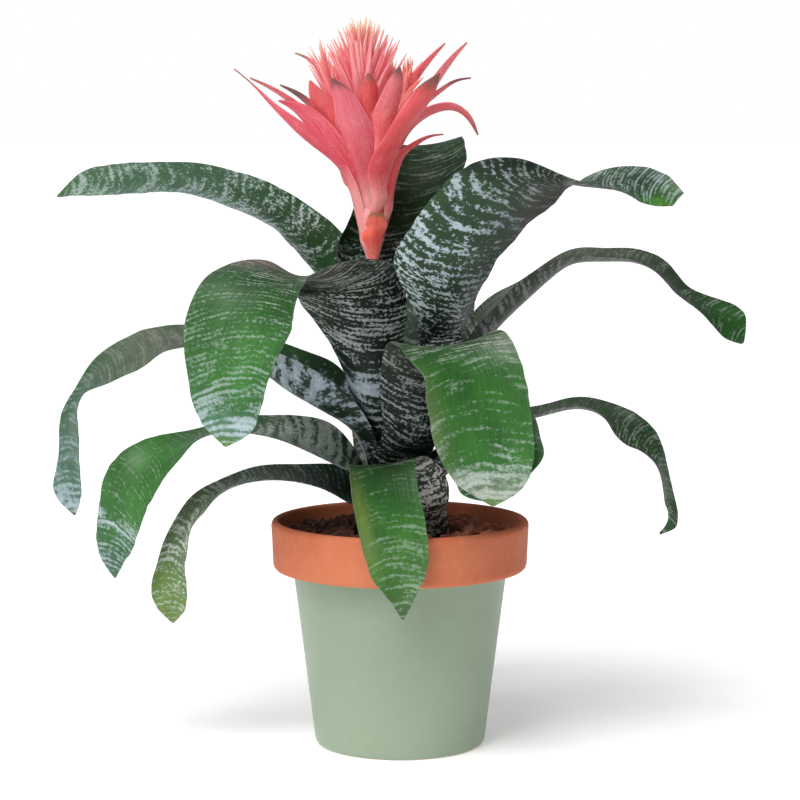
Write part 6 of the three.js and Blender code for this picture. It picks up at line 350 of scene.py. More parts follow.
BRACTS = {
    "bract_right_spike": [
        [-15.96,0.99,340.19, -15.83,-0.46,340.18, -16.37,-1.81,340.14, -17.45,-2.77,340.08, -18.85,-3.15,340.02],
        [-15.54,1.43,353.27, -15.35,-0.62,353.08, -16.11,-2.54,352.96, -17.65,-3.91,352.94, -19.65,-4.44,353.02],
        [-14.41,1.45,362.26, -14.34,-1.1,361.94, -15.32,-3.48,361.76, -17.19,-5.26,361.75, -19.61,-6.12,361.92],
        [-11.99,0.19,370.88, -12.35,-2.5,370.52, -13.68,-4.88,370.37, -15.79,-6.62,370.45, -18.37,-7.46,370.75],
        [-8.86,-1.08,380.08, -9.39,-3.8,379.77, -10.88,-6.16,379.77, -13.1,-7.81,380.07, -15.73,-8.51,380.64],
        [-5.57,-1.68,390.1, -5.97,-4.5,389.89, -7.27,-7.03,390.06, -9.31,-8.95,390.58, -11.83,-10.02,391.38],
        [-0.92,-3.21,400.94, -1.48,-5.85,400.83, -2.81,-8.18,401.09, -4.75,-9.97,401.69, -7.09,-11,402.56],
        [4.28,-4.79,411.5, 3.59,-7.12,411.51, 2.31,-9.16,411.86, 0.55,-10.7,412.5, -1.51,-11.61,413.39],
        [9.34,-5.88,420.81, 8.72,-7.91,420.96, 7.65,-9.68,421.42, 6.21,-11.06,422.14, 4.52,-11.93,423.07],
        [15.02,-7.57,429.69, 14.49,-9.05,430.01, 13.69,-10.34,430.53, 12.66,-11.36,431.24, 11.47,-12.05,432.08],
        [20.81,-9.52,437.39, 20.38,-10.31,437.79, 19.86,-10.99,438.27, 19.27,-11.54,438.83, 18.62,-11.94,439.45],
        [28.41,-10.68,446.57, 28.29,-10.84,446.72, 28.17,-11,446.86, 28.04,-11.15,447.02, 27.9,-11.28,447.18],
    ],
    "bract_right_back": [
        [-20.19,2.89,340, -18.76,3.14,340.06, -17.37,2.73,340.14, -16.32,1.73,340.21, -15.82,0.37,340.26],
        [-21.63,4.16,353.75, -19.54,4.54,353.67, -17.51,3.93,353.71, -15.98,2.48,353.88, -15.27,0.49,354.14],
        [-22.64,6.32,364.35, -19.92,6.58,364.17, -17.3,5.79,364.2, -15.21,4.07,364.43, -13.96,1.69,364.81],
        [-17.96,9.54,369.71, -16.01,8.59,369.48, -14.46,6.99,369.55, -13.53,4.96,369.92, -13.35,2.74,370.53],
        [-8.97,13.98,375.46, -8.52,11.14,375.19, -8.94,8.31,375.38, -10.18,5.8,376.01, -12.07,3.92,376.99],
        [-4.18,16.07,383.69, -3.87,12.99,383.52, -4.45,9.98,383.87, -5.86,7.39,384.69, -7.93,5.49,385.89],
        [1.29,17.39,392.5, 1.61,14.43,392.44, 1.14,11.54,392.92, -0.09,9.01,393.9, -1.95,7.12,395.27],
        [9.73,18.3,401.97, 9.81,15.52,401.98, 9.25,12.85,402.55, 8.1,10.55,403.61, 6.48,8.84,405.08],
        [18.25,18.12,410.2, 18.08,15.9,410.27, 17.51,13.8,410.76, 16.59,11.98,411.64, 15.38,10.55,412.85],
        [27.18,16.62,417.42, 26.97,15.28,417.64, 26.59,14.03,418.1, 26.08,12.93,418.76, 25.44,12.02,419.59],
        [35.84,15.12,423.35, 35.72,14.54,423.63, 35.57,14,423.98, 35.39,13.52,424.39, 35.18,13.1,424.86],
        [45.1,14.35,425.46, 45.1,14.17,425.63, 45.09,14,425.81, 45.09,13.84,426.01, 45.08,13.7,426.21],
    ],
    "bract_left_spike": [
        [-19.59,-3.08,340.3, -20.91,-2.47,340.2, -21.8,-1.33,340.14, -22.1,0.09,340.13, -21.73,1.49,340.17],
        [-20.64,-4.4,353.71, -22.51,-3.52,353.4, -23.8,-1.89,353.25, -24.23,0.15,353.29, -23.7,2.16,353.53],
        [-22.26,-6.16,363.05, -24.46,-4.86,362.6, -25.99,-2.76,362.4, -26.58,-0.22,362.49, -26.13,2.31,362.85],
        [-24.08,-5.83,371.42, -26.43,-4.54,370.93, -28.16,-2.43,370.66, -29.01,0.17,370.64, -28.85,2.89,370.89],
        [-25.74,-5.52,379.02, -28.21,-4.43,378.41, -30.11,-2.46,377.98, -31.16,0.1,377.82, -31.2,2.87,377.93],
        [-28.71,-7.69,389.3, -31.16,-6.54,388.39, -33.09,-4.54,387.74, -34.24,-1.94,387.44, -34.47,0.91,387.52],
        [-32.79,-9.09,400.05, -35.1,-7.96,399.1, -36.97,-6.06,398.42, -38.17,-3.62,398.07, -38.56,-0.91,398.11],
        [-38.42,-9.92,412.18, -40.41,-8.87,411.38, -42.04,-7.24,410.78, -43.17,-5.17,410.46, -43.69,-2.84,410.44],
        [-44.36,-10.15,423.25, -45.86,-9.22,422.61, -47.1,-7.92,422.12, -48.01,-6.31,421.83, -48.53,-4.52,421.75],
        [-50.39,-9.69,432.28, -51.26,-8.95,431.78, -51.99,-8.03,431.39, -52.57,-6.97,431.11, -52.97,-5.79,430.97],
        [-56.22,-9.08,437.56, -56.66,-8.57,437.2, -57.06,-8,436.89, -57.4,-7.37,436.65, -57.68,-6.69,436.48],
        [-65.32,-8.21,441.26, -65.48,-8.11,441.1, -65.65,-8,440.95, -65.81,-7.88,440.8, -65.96,-7.75,440.65],
    ],
    "bract_right_tall": [
        [-15.47,1.69,328.87, -15.01,0.26,328.8, -15.23,-1.22,328.76, -16.1,-2.45,328.74, -17.43,-3.15,328.76],
        [-15.39,2.41,346.12, -14.72,0.39,346.01, -15.04,-1.72,345.93, -16.28,-3.46,345.92, -18.16,-4.46,345.96],
        [-15.02,3.02,357.66, -14.23,0.39,357.38, -14.65,-2.33,357.22, -16.2,-4.61,357.23, -18.56,-6.01,357.4],
        [-11.97,3,363.56, -11.43,0.11,363.11, -12.07,-2.79,362.92, -13.77,-5.24,363.04, -16.26,-6.82,363.43],
        [-5.92,2.61,368.99, -5.88,-0.39,368.42, -6.85,-3.27,368.32, -8.72,-5.64,368.71, -11.21,-7.19,369.52],
        [-2.07,2.69,377.95, -2.06,-0.64,377.67, -3.2,-3.77,377.94, -5.3,-6.24,378.73, -8.07,-7.7,379.91],
        [2.73,2.63,388, 2.64,-0.9,387.92, 1.39,-4.17,388.43, -0.86,-6.7,389.47, -3.76,-8.13,390.89],
        [9.7,2.16,399.9, 9.37,-1.31,399.85, 8.03,-4.48,400.4, 5.84,-6.97,401.49, 3.05,-8.46,402.98],
        [17.62,0.86,412.37, 17.13,-2.18,412.44, 15.88,-4.95,413, 14.01,-7.17,414.02, 11.68,-8.65,415.39],
        [25.6,-0.65,424.34, 25.19,-2.93,424.63, 24.33,-5,425.25, 23.08,-6.74,426.17, 21.51,-8.03,427.33],
        [33.14,-2.61,435.57, 32.71,-3.87,435.98, 32.12,-5,436.52, 31.38,-5.98,437.19, 30.52,-6.76,437.96],
        [42.31,-4.75,447.26, 42.15,-4.88,447.4, 41.99,-5,447.55, 41.83,-5.11,447.71, 41.66,-5.22,447.86],
    ],
    "bract_left_back": [
        [-21.26,-1.29,328.88, -21.51,0.19,328.76, -21.08,1.63,328.76, -20.05,2.72,328.85, -18.65,3.24,329.03],
        [-23.27,-1.77,344.33, -23.62,0.25,344.17, -23.03,2.21,344.16, -21.62,3.7,344.29, -19.71,4.4,344.54],
        [-25.35,-2.4,355.62, -25.6,0.35,355.42, -24.66,2.96,355.51, -22.73,4.9,355.88, -20.17,5.8,356.46],
        [-27.14,-1.98,362.24, -27.5,0.8,361.69, -26.69,3.54,361.46, -24.87,5.74,361.58, -22.36,7.02,362.02],
        [-29.77,0.8,369.27, -31.07,2.19,367.33, -31.63,4.14,365.53, -31.39,6.42,364.07, -30.38,8.75,363.13],
        [-32.67,2.15,377.16, -34.37,3.33,374.94, -35.48,5.25,372.84, -35.87,7.75,371.09, -35.47,10.6,369.89],
        [-36.32,2.47,385.97, -37.98,4.29,384.29, -38.99,6.7,382.84, -39.26,9.47,381.75, -38.76,12.37,381.13],
        [-41.44,3.55,394.75, -43.17,5.43,393.2, -44.33,7.88,391.93, -44.8,10.69,391.05, -44.56,13.63,390.63],
        [-48.28,5.13,403.78, -49.96,6.76,402.32, -51.2,8.94,401.16, -51.9,11.49,400.38, -52.01,14.22,400.04],
        [-56.36,7.21,411.97, -57.56,8.32,410.87, -58.55,9.79,409.98, -59.25,11.52,409.35, -59.65,13.42,409],
        [-64.68,9.18,417.44, -65.33,9.85,416.68, -65.9,10.68,416.04, -66.37,11.65,415.51, -66.73,12.73,415.14],
        [-76.08,10.79,421.82, -76.09,10.89,421.59, -76.1,11,421.36, -76.1,11.12,421.15, -76.1,11.26,420.94],
    ],
    "bract_back_inner": [
        [-21.03,1.72,328.74, -19.96,2.78,328.71, -18.54,3.25,328.76, -17.06,3.03,328.88, -15.83,2.18,329.05],
        [-22.84,2.27,343.15, -21.42,3.68,343.11, -19.51,4.31,343.18, -17.54,4.02,343.35, -15.91,2.87,343.57],
        [-24.77,3.18,355.71, -22.87,4.96,355.57, -20.4,5.75,355.64, -17.84,5.4,355.91, -15.71,3.98,356.31],
        [-25.68,4.03,360.14, -23.51,5.91,359.88, -20.75,6.75,359.9, -17.9,6.4,360.21, -15.48,4.92,360.75],
        [-26.29,5.37,358.72, -23.84,7.32,358.08, -20.76,8.2,357.88, -17.59,7.87,358.16, -14.84,6.39,358.87],
        [-27.05,5.83,360.43, -24.42,8.07,359.76, -21.05,9.11,359.51, -17.53,8.76,359.72, -14.49,7.1,360.36],
        [-28.5,5.9,369.17, -25.69,8.69,368.76, -21.94,10.03,368.62, -17.98,9.65,368.76, -14.56,7.63,369.17],
        [-30,7.27,379.97, -27.05,10.21,379.33, -23.11,11.69,379.1, -18.91,11.45,379.33, -15.21,9.52,379.97],
        [-31.1,10.4,389.42, -28.15,13.12,388.63, -24.33,14.55,388.35, -20.26,14.45,388.63, -16.59,12.84,389.42],
        [-32,16.05,400.76, -29.37,18.17,400.01, -26.12,19.32,399.75, -22.67,19.38,400.01, -19.46,18.32,400.76],
        [-31.99,21.61,410.02, -30.07,22.97,409.52, -27.79,23.75,409.35, -25.39,23.88,409.52, -23.09,23.34,410.02],
        [-30.14,29.31,420.01, -29.85,29.39,420, -29.55,29.45,420, -29.26,29.5,420, -28.96,29.54,420.01],
    ],
    "bract_left_slender": [
        [-19.89,-2.46,323.26, -20.77,-1.31,323.11, -21.05,0.11,323.06, -20.68,1.51,323.11, -19.72,2.59,323.27],
        [-22.03,-3.96,338.92, -23.47,-2.12,338.74, -23.92,0.18,338.67, -23.31,2.44,338.75, -21.75,4.17,338.94],
        [-23.09,-5.03,351.04, -24.79,-2.66,350.89, -25.3,0.21,350.94, -24.51,3,351.22, -22.57,5.12,351.68],
        [-26.17,-4.41,357.17, -27.69,-2.33,356.37, -28.24,0.26,355.79, -27.73,2.92,355.51, -26.26,5.22,355.55],
        [-31.91,-2.59,363.26, -32.97,-1.39,361.27, -33.62,0.32,359.49, -33.8,2.42,358.09, -33.49,4.79,357.2],
        [-35.72,-3.29,372.99, -37.07,-1.73,371.32, -37.95,0.33,369.89, -38.32,2.74,368.83, -38.13,5.34,368.21],
        [-40.59,-3.78,382.46, -42.18,-2.02,381.02, -43.29,0.25,379.86, -43.82,2.85,379.07, -43.74,5.6,378.69],
        [-49.09,-3.67,394.23, -50.79,-2.11,392.76, -52.09,0,391.59, -52.88,2.5,390.82, -53.12,5.21,390.49],
        [-58.05,-3.53,405.65, -59.54,-2.17,404.4, -60.77,-0.39,403.41, -61.67,1.7,402.74, -62.19,3.99,402.43],
        [-67.99,-3.25,413.31, -69.02,-2.18,412.38, -69.91,-0.87,411.66, -70.64,0.65,411.16, -71.16,2.3,410.92],
        [-80.17,-2.21,420.26, -80.68,-1.67,419.67, -81.15,-1.02,419.16, -81.58,-0.27,418.75, -81.93,0.54,418.43],
        [-94.36,-1.22,426, -94.37,-1.12,425.77, -94.38,-1,425.55, -94.39,-0.87,425.34, -94.39,-0.74,425.13],
    ],
    "bract_front_centre": [
        [-14.9,-0.91,323.3, -15.62,-2.16,323.16, -16.83,-2.96,323.06, -18.27,-3.13,323.01, -19.64,-2.64,323.02],
        [-14.07,-1.37,334.9, -15.16,-3.26,334.76, -16.99,-4.46,334.62, -19.16,-4.72,334.52, -21.22,-3.97,334.48],
        [-13.94,-1.59,345.69, -15.21,-3.81,345.45, -17.36,-5.23,345.26, -19.91,-5.53,345.17, -22.33,-4.66,345.19],
        [-13.37,-2.05,355.57, -14.93,-4.71,355.19, -17.54,-6.4,354.93, -20.63,-6.75,354.85, -23.56,-5.7,354.96],
        [-12.68,-4.38,364.31, -14.78,-6.78,363.91, -17.68,-8.15,363.65, -20.9,-8.25,363.59, -23.9,-7.06,363.72],
        [-12.83,-4.96,372.93, -14.73,-7.72,372.64, -17.57,-9.52,372.49, -20.88,-10.08,372.51, -24.16,-9.32,372.68],
        [-13.22,-5.07,382.48, -14.8,-8.35,382.3, -17.53,-10.75,382.26, -20.98,-11.9,382.35, -24.61,-11.62,382.56],
        [-13.18,-6.46,394.06, -15.04,-9.8,393.87, -18.03,-12.18,393.81, -21.71,-13.25,393.88, -25.5,-12.84,394.08],
        [-13.04,-7.78,405.66, -15.14,-11.12,405.46, -18.29,-13.48,405.38, -22.08,-14.56,405.43, -26.01,-14.21,405.62],
        [-13.51,-9.48,414.51, -15.6,-12.37,414.33, -18.52,-14.44,414.26, -21.95,-15.43,414.3, -25.52,-15.25,414.44],
        [-15.12,-12.18,422.23, -16.87,-13.97,422.13, -19.05,-15.23,422.08, -21.48,-15.84,422.1, -24,-15.77,422.17],
        [-19.32,-15.55,428.21, -19.61,-15.78,428.2, -19.92,-16,428.19, -20.24,-16.2,428.19, -20.56,-16.39,428.19],
    ],
    "bract_back_right_inner": [
        [-19.05,2.94,323.02, -17.61,3.14,323.01, -16.24,2.67,323.06, -15.22,1.64,323.15, -14.77,0.27,323.28],
        [-20.48,4.55,336.05, -18.25,4.87,336.1, -16.12,4.15,336.19, -14.54,2.55,336.32, -13.84,0.41,336.45],
        [-21.74,5.41,349.18, -19.02,5.81,349.21, -16.42,4.94,349.32, -14.51,2.99,349.5, -13.69,0.38,349.71],
        [-22.11,6.65,353.92, -19.01,7.01,353.66, -16.04,5.98,353.67, -13.82,3.77,353.92, -12.81,0.84,354.38],
        [-21.53,8.57,352.83, -18.18,8.71,351.94, -14.94,7.47,351.64, -12.43,5.08,351.99, -11.12,2,352.91],
        [-21.66,9.85,356.48, -17.87,9.93,355.66, -14.28,8.46,355.36, -11.53,5.72,355.63, -10.14,2.2,356.42],
        [-21.94,11.49,366.57, -17.55,11.44,366.07, -13.53,9.63,365.89, -10.56,6.37,366.07, -9.15,2.2,366.56],
        [-20.59,14.48,377.63, -15.99,14,376.83, -11.83,11.83,376.55, -8.75,8.29,376.83, -7.21,3.93,377.63],
        [-17.14,17.93,388.07, -13.02,17.11,387.18, -9.33,14.94,386.86, -6.53,11.69,387.18, -4.98,7.79,388.07],
        [-12.14,21.65,397.71, -8.98,20.72,396.95, -6.14,18.89,396.69, -3.91,16.35,396.95, -2.52,13.36,397.71],
        [-5.32,25.61,407.36, -3.54,24.79,406.98, -1.94,23.62,406.85, -0.58,22.16,406.98, 0.44,20.49,407.36],
        [2.66,30.11,417.01, 2.89,29.92,417, 3.12,29.73,417, 3.34,29.52,417, 3.55,29.31,417.01],
    ],
    "bract_front_wide": [
        [-15.47,-2.23,319.89, -16.69,-2.99,319.7, -18.13,-3.12,319.57, -19.49,-2.59,319.53, -20.46,-1.52,319.59],
        [-14.48,-3.96,332.31, -16.65,-5.32,331.98, -19.22,-5.56,331.76, -21.63,-4.62,331.68, -23.37,-2.71,331.77],
        [-14.76,-4.6,343.86, -17.27,-6.08,343.54, -20.19,-6.28,343.3, -22.89,-5.14,343.21, -24.81,-2.91,343.27],
        [-14.08,-4.6,352.47, -16.7,-6.6,351.98, -19.94,-7.22,351.65, -23.14,-6.35,351.56, -25.61,-4.17,351.71],
        [-12.03,-3.25,359.77, -14.32,-6.5,359.05, -17.81,-8.46,358.57, -21.83,-8.76,358.41, -25.6,-7.35,358.61],
        [-12.09,-5.53,367.79, -15.71,-8.89,366.75, -20.47,-10.49,366.12, -25.51,-10.03,366.04, -29.95,-7.58,366.5],
        [-12.87,-8.79,377.32, -18,-12.21,376.08, -24.15,-13.36,375.44, -30.3,-12.07,375.5, -35.44,-8.54,376.24],
        [-14.41,-11.88,387.77, -20.16,-15.35,386.71, -26.83,-16.57,386.25, -33.52,-15.35,386.43, -39.31,-11.88,387.24],
        [-18.59,-15.98,398.9, -23.86,-18.4,398.35, -29.63,-19.22,398.18, -35.39,-18.39,398.41, -40.66,-15.96,399.01],
        [-24.62,-19.47,409.52, -28.7,-21.21,409.51, -33.07,-21.87,409.76, -37.46,-21.4,410.25, -41.55,-19.84,410.95],
        [-30.64,-21.35,417.95, -33.37,-22.78,418.14, -36.36,-23.52,418.45, -39.42,-23.54,418.85, -42.38,-22.84,419.34],
        [-41.52,-24.68,424.76, -41.82,-24.85,424.92, -42.12,-25,425.08, -42.44,-25.14,425.23, -42.76,-25.27,425.37],
    ],
    "bract_right_drooping": [
        [-16.18,2.76,319.64, -15.1,1.79,319.58, -14.57,0.44,319.57, -14.71,-1.01,319.61, -15.47,-2.24,319.68],
        [-15.82,5.08,334.42, -13.83,3.29,334.36, -12.86,0.81,334.36, -13.11,-1.85,334.41, -14.52,-4.12,334.5],
        [-16.54,6.07,348.14, -14.13,3.99,348.05, -12.9,1.06,348.04, -13.12,-2.1,348.11, -14.71,-4.82,348.25],
        [-8.66,5.05,355.41, -7.93,2.28,354.86, -8.28,-0.63,354.62, -9.69,-3.25,354.7, -11.95,-5.16,355.11],
        [-3.66,4.44,365.41, -3.54,1.27,365.04, -4.5,-1.75,365.03, -6.41,-4.24,365.38, -9,-5.88,366.06],
        [0.02,3.81,379.38, 0.06,0.56,379.25, -0.93,-2.53,379.52, -2.82,-5.11,380.16, -5.41,-6.87,381.08],
        [6.1,2.54,391.43, 5.79,-0.63,391.29, 4.67,-3.59,391.71, 2.87,-6.03,392.66, 0.55,-7.72,394.04],
        [13.95,0.61,398.96, 13.27,-2.17,399.1, 12.13,-4.68,399.86, 10.62,-6.73,401.17, 8.86,-8.15,402.94],
        [23.75,-1.6,404.17, 23.4,-3.9,404.64, 22.9,-5.98,405.66, 22.29,-7.7,407.19, 21.6,-8.92,409.1],
        [33.92,-3.75,405.17, 33.83,-5.5,405.82, 33.82,-7.04,406.85, 33.9,-8.31,408.2, 34.07,-9.21,409.79],
        [40.68,-4.67,401.39, 40.96,-5.9,401.89, 41.38,-7,402.57, 41.94,-7.94,403.38, 42.62,-8.67,404.3],
        [48.7,-6.75,389.61, 48.85,-6.88,389.76, 49,-7,389.92, 49.16,-7.11,390.07, 49.32,-7.21,390.24],
    ],
    "bract_back_left": [
        [-20.83,-0.45,319.68, -20.69,0.99,319.57, -19.92,2.23,319.57, -18.69,2.99,319.69, -17.26,3.12,319.89],
        [-24,-0.79,331.81, -23.76,1.77,331.64, -22.39,3.96,331.65, -20.21,5.32,331.85, -17.66,5.55,332.2],
        [-25.56,-1,345.16, -25.32,1.98,345.06, -23.77,4.52,345.12, -21.24,6.06,345.32, -18.28,6.28,345.63],
        [-27.04,-0.69,348.81, -26.53,2.49,348.22, -24.7,5.28,348.08, -21.92,7.09,348.43, -18.76,7.58,349.19],
        [-28.69,0.08,345.76, -27.66,3.3,344.3, -25.47,6.27,343.79, -22.51,8.47,344.33, -19.29,9.52,345.82],
        [-30.2,-0.26,349.15, -29.16,3.61,347.8, -26.74,7.1,347.32, -23.34,9.65,347.78, -19.49,10.85,349.11],
        [-33.08,-0.23,359.1, -32.17,4.52,358.07, -29.56,8.7,357.7, -25.64,11.67,358.07, -21,13.01,359.1],
        [-37.56,2.11,368.57, -36.43,6.97,367.08, -33.7,11.36,366.55, -29.74,14.7,367.08, -25.09,16.51,368.57],
        [-43.77,6.94,378.23, -42.51,11.29,376.68, -40.01,15.34,376.15, -36.55,18.61,376.68, -32.54,20.72,378.23],
        [-49.92,13.13,385.73, -48.7,16.52,384.48, -46.68,19.72,384.05, -44.04,22.43,384.48, -41.04,24.42,385.73],
        [-57.05,20.79,392.43, -56.06,22.82,391.8, -54.77,24.76,391.59, -53.24,26.52,391.8, -51.56,28.01,392.43],
        [-64.37,30.81,398.02, -64.19,31.05,398, -64.01,31.29,398, -63.83,31.53,398, -63.64,31.77,398.02],
    ],
    "bract_front_left": [
        [-17.37,-3.15,317.08, -18.78,-2.89,316.84, -19.93,-2.02,316.72, -20.59,-0.73,316.74, -20.61,0.71,316.89],
        [-17.98,-6.21,329.96, -20.76,-5.7,329.57, -23.04,-3.99,329.35, -24.34,-1.44,329.35, -24.37,1.41,329.57],
        [-18.69,-7.37,340.98, -21.94,-6.68,340.64, -24.55,-4.6,340.44, -25.96,-1.55,340.43, -25.86,1.8,340.62],
        [-17.37,-4.32,347.97, -20.44,-5.35,347.33, -23.65,-4.94,346.78, -26.37,-3.21,346.43, -28.09,-0.51,346.35],
        [-17.03,-2.89,355.83, -20.26,-5.06,354.83, -24.16,-5.75,353.97, -28.1,-4.81,353.4, -31.41,-2.37,353.22],
        [-20.41,-7.54,364.6, -24.57,-8.22,363.32, -28.81,-7.32,362.48, -32.52,-4.94,362.21, -35.2,-1.43,362.55],
        [-25.56,-10.96,374.42, -29.94,-11.13,372.74, -34.31,-9.77,371.66, -38.11,-7.03,371.3, -40.88,-3.27,371.71],
        [-33.4,-14.97,385.25, -37.61,-14.67,383.27, -41.77,-13.09,381.87, -45.5,-10.36,381.17, -48.44,-6.75,381.25],
        [-41.92,-18.39,395.96, -45.69,-17.92,393.82, -49.4,-16.38,392.14, -52.78,-13.87,391.05, -55.6,-10.58,390.61],
        [-51.47,-21.16,404.67, -54.21,-20.51,402.74, -56.9,-19.14,401.17, -59.4,-17.12,400.03, -61.56,-14.55,399.4],
        [-61.53,-22.87,409.69, -63.08,-22.22,408.23, -64.62,-21.18,407.02, -66.08,-19.78,406.09, -67.41,-18.1,405.48],
        [-75.14,-23.25,411.72, -75.3,-23.13,411.5, -75.47,-23,411.29, -75.63,-22.86,411.08, -75.79,-22.71,410.87],
    ],
    "bract_front_right": [
        [-14.45,0.71,316.97, -14.45,-0.73,316.81, -15.11,-2.02,316.72, -16.27,-2.89,316.71, -17.7,-3.15,316.77],
        [-12.2,1.44,330.62, -12.2,-1.46,330.42, -13.51,-4.06,330.27, -15.84,-5.8,330.2, -18.7,-6.32,330.23],
        [-12.21,1.7,341.19, -12.16,-1.6,341.01, -13.61,-4.58,340.85, -16.24,-6.58,340.73, -19.49,-7.18,340.69],
        [-6.73,0.27,347.64, -8,-3.31,347.5, -10.58,-6.1,347.65, -14.04,-7.61,348.06, -17.78,-7.6,348.67],
        [-6.29,-0.69,356.65, -8.08,-4.61,356.54, -11.25,-7.52,356.83, -15.26,-8.93,357.47, -19.45,-8.61,358.34],
        [-4.66,-3.16,368.12, -7.04,-7.32,367.09, -10.86,-10.37,366.62, -15.56,-11.85,366.78, -20.42,-11.54,367.53],
        [-0.5,-7.38,381.08, -3.26,-11.26,378.6, -7.47,-14.03,376.77, -12.59,-15.36,375.84, -17.96,-15.06,375.9],
        [4.85,-11,392.03, 2.11,-14.61,388.87, -2.01,-17.32,386.41, -7.08,-18.83,384.89, -12.55,-19,384.49],
        [11.46,-13.98,401.05, 8.55,-17.63,398.63, 4.5,-20.51,396.87, -0.34,-22.39,395.95, -5.58,-23.1,395.92],
        [18.9,-18.39,411.26, 15.73,-21.43,410.17, 11.82,-23.61,409.55, 7.44,-24.76,409.44, 2.94,-24.79,409.86],
        [22.95,-21.08,419.63, 20.68,-23.32,419.32, 17.97,-25.03,419.32, 14.98,-26.13,419.62, 11.86,-26.56,420.23],
        [24.77,-26.02,427.57, 24.62,-26.26,427.66, 24.46,-26.5,427.76, 24.3,-26.73,427.86, 24.13,-26.95,427.98],
    ],
    "bract_back_right": [
        [-19.68,2.31,316.77, -18.42,3.02,316.69, -16.97,3.1,316.72, -15.64,2.53,316.86, -14.72,1.43,317.06],
        [-22.34,4.41,328.04, -19.93,5.77,327.93, -17.16,5.93,328, -14.62,4.84,328.24, -12.85,2.74,328.61],
        [-23.68,4.99,338.6, -20.89,6.64,338.71, -17.67,6.85,338.89, -14.72,5.55,339.1, -12.67,3.04,339.3],
        [-24.07,6.06,340.96, -21.08,7.51,340.47, -17.64,7.62,340.39, -14.45,6.36,340.74, -12.14,3.98,341.45],
        [-24.15,7.98,339.44, -20.85,9.04,338.08, -17.13,8.95,337.62, -13.62,7.7,338.12, -10.93,5.52,339.51],
        [-24.66,10.11,343.72, -20.7,11.25,342.45, -16.4,10.95,341.99, -12.46,9.25,342.41, -9.49,6.43,343.66],
        [-24.85,13.5,353.92, -20.12,14.7,352.95, -15.2,14.07,352.62, -10.83,11.73,352.95, -7.66,8,353.92],
        [-23.56,18.72,364.71, -18.53,19.39,363.48, -13.43,18.36,363.05, -8.91,15.77,363.48, -5.57,11.95,364.71],
        [-21.07,24.46,373.83, -16.26,24.56,372.64, -11.47,23.33,372.22, -7.18,20.89,372.64, -3.79,17.48,373.83],
        [-17.02,30.79,383.07, -13.02,30.6,382.03, -9.06,29.45,381.67, -5.47,27.41,382.03, -2.54,24.68,383.07],
        [-11.4,37.35,391.36, -8.69,37.02,390.66, -6.02,36.14,390.42, -3.58,34.77,390.66, -1.51,32.98,391.36],
        [-3.58,44.08,399.02, -3.3,43.97,399, -3.02,43.85,399, -2.75,43.72,399, -2.48,43.59,399.02],
    ],
    "bract_right_hooked": [
        [-15,2.07,314.72, -14.33,0.79,314.57, -14.3,-0.65,314.5, -14.92,-1.97,314.53, -16.05,-2.87,314.66],
        [-13.12,4.17,325.11, -11.79,1.59,324.74, -11.74,-1.33,324.58, -12.98,-3.98,324.67, -15.23,-5.81,324.99],
        [-12.71,4.69,332.94, -11.29,1.72,332.86, -11.23,-1.57,332.82, -12.56,-4.57,332.82, -15.02,-6.74,332.87],
        [-8.52,3.26,337.16, -8.07,0.73,336.64, -8.6,-1.83,336.24, -10.05,-4.05,336, -12.21,-5.63,335.97],
        [-5.19,2.72,342.42, -5.33,0.28,341.83, -6.28,-1.99,341.44, -7.91,-3.84,341.28, -10.04,-5.08,341.37],
        [-4.16,3.21,351.36, -4.26,0.48,351.26, -5.25,-2.07,351.32, -7.03,-4.14,351.51, -9.38,-5.49,351.83],
        [-1.98,2.43,362.5, -2.37,-0.14,362.45, -3.53,-2.45,362.59, -5.35,-4.28,362.9, -7.64,-5.41,363.36],
        [0.7,1.35,371.68, 0.16,-0.95,371.64, -0.97,-3,371.87, -2.6,-4.64,372.36, -4.58,-5.71,373.05],
        [4.47,0.35,378.34, 3.96,-1.63,378.34, 3.09,-3.44,378.68, 1.9,-4.97,379.31, 0.48,-6.12,380.22],
        [11.13,-1.08,383.61, 10.66,-2.54,383.7, 10,-3.88,384.08, 9.19,-5.01,384.71, 8.26,-5.9,385.57],
        [18.9,-2.82,388.3, 18.72,-3.65,388.47, 18.49,-4.42,388.76, 18.22,-5.11,389.17, 17.91,-5.72,389.69],
        [27.38,-4.13,390.04, 27.3,-4.32,390.18, 27.22,-4.5,390.33, 27.14,-4.67,390.49, 27.05,-4.84,390.66],
    ],
    "bract_left_long": [
        [-18.33,-3.02,314.88, -19.56,-2.29,314.62, -20.34,-1.08,314.5, -20.52,0.36,314.56, -20.06,1.72,314.78],
        [-20.39,-6.64,328.07, -23.01,-5.01,327.54, -24.69,-2.38,327.31, -25.09,0.73,327.43, -24.12,3.68,327.87],
        [-21.96,-6.5,339.69, -24.77,-5.15,339.03, -26.8,-2.76,338.42, -27.7,0.27,337.96, -27.33,3.44,337.74],
        [-24.02,-7.25,350.07, -26.91,-5.67,349.49, -29.05,-3.14,349.14, -30.16,0,349.08, -30.06,3.33,349.34],
        [-28.14,-9.1,361.36, -30.83,-6.96,360.76, -32.79,-4.06,360.66, -33.8,-0.71,361.06, -33.73,2.7,361.9],
        [-33.8,-10.2,371.89, -36.31,-8.16,370.67, -38.28,-5.38,370.01, -39.52,-2.15,369.99, -39.91,1.23,370.6],
        [-42.95,-11.18,382.72, -45.33,-9.6,381, -47.41,-7.3,379.78, -49.04,-4.47,379.16, -50.1,-1.32,379.19],
        [-54.27,-12.5,392.95, -56.41,-11.39,391.12, -58.39,-9.64,389.66, -60.09,-7.36,388.65, -61.41,-4.68,388.16],
        [-65.88,-14.08,401.29, -67.78,-13.05,400.25, -69.54,-11.6,399.5, -71.08,-9.8,399.07, -72.31,-7.73,398.99],
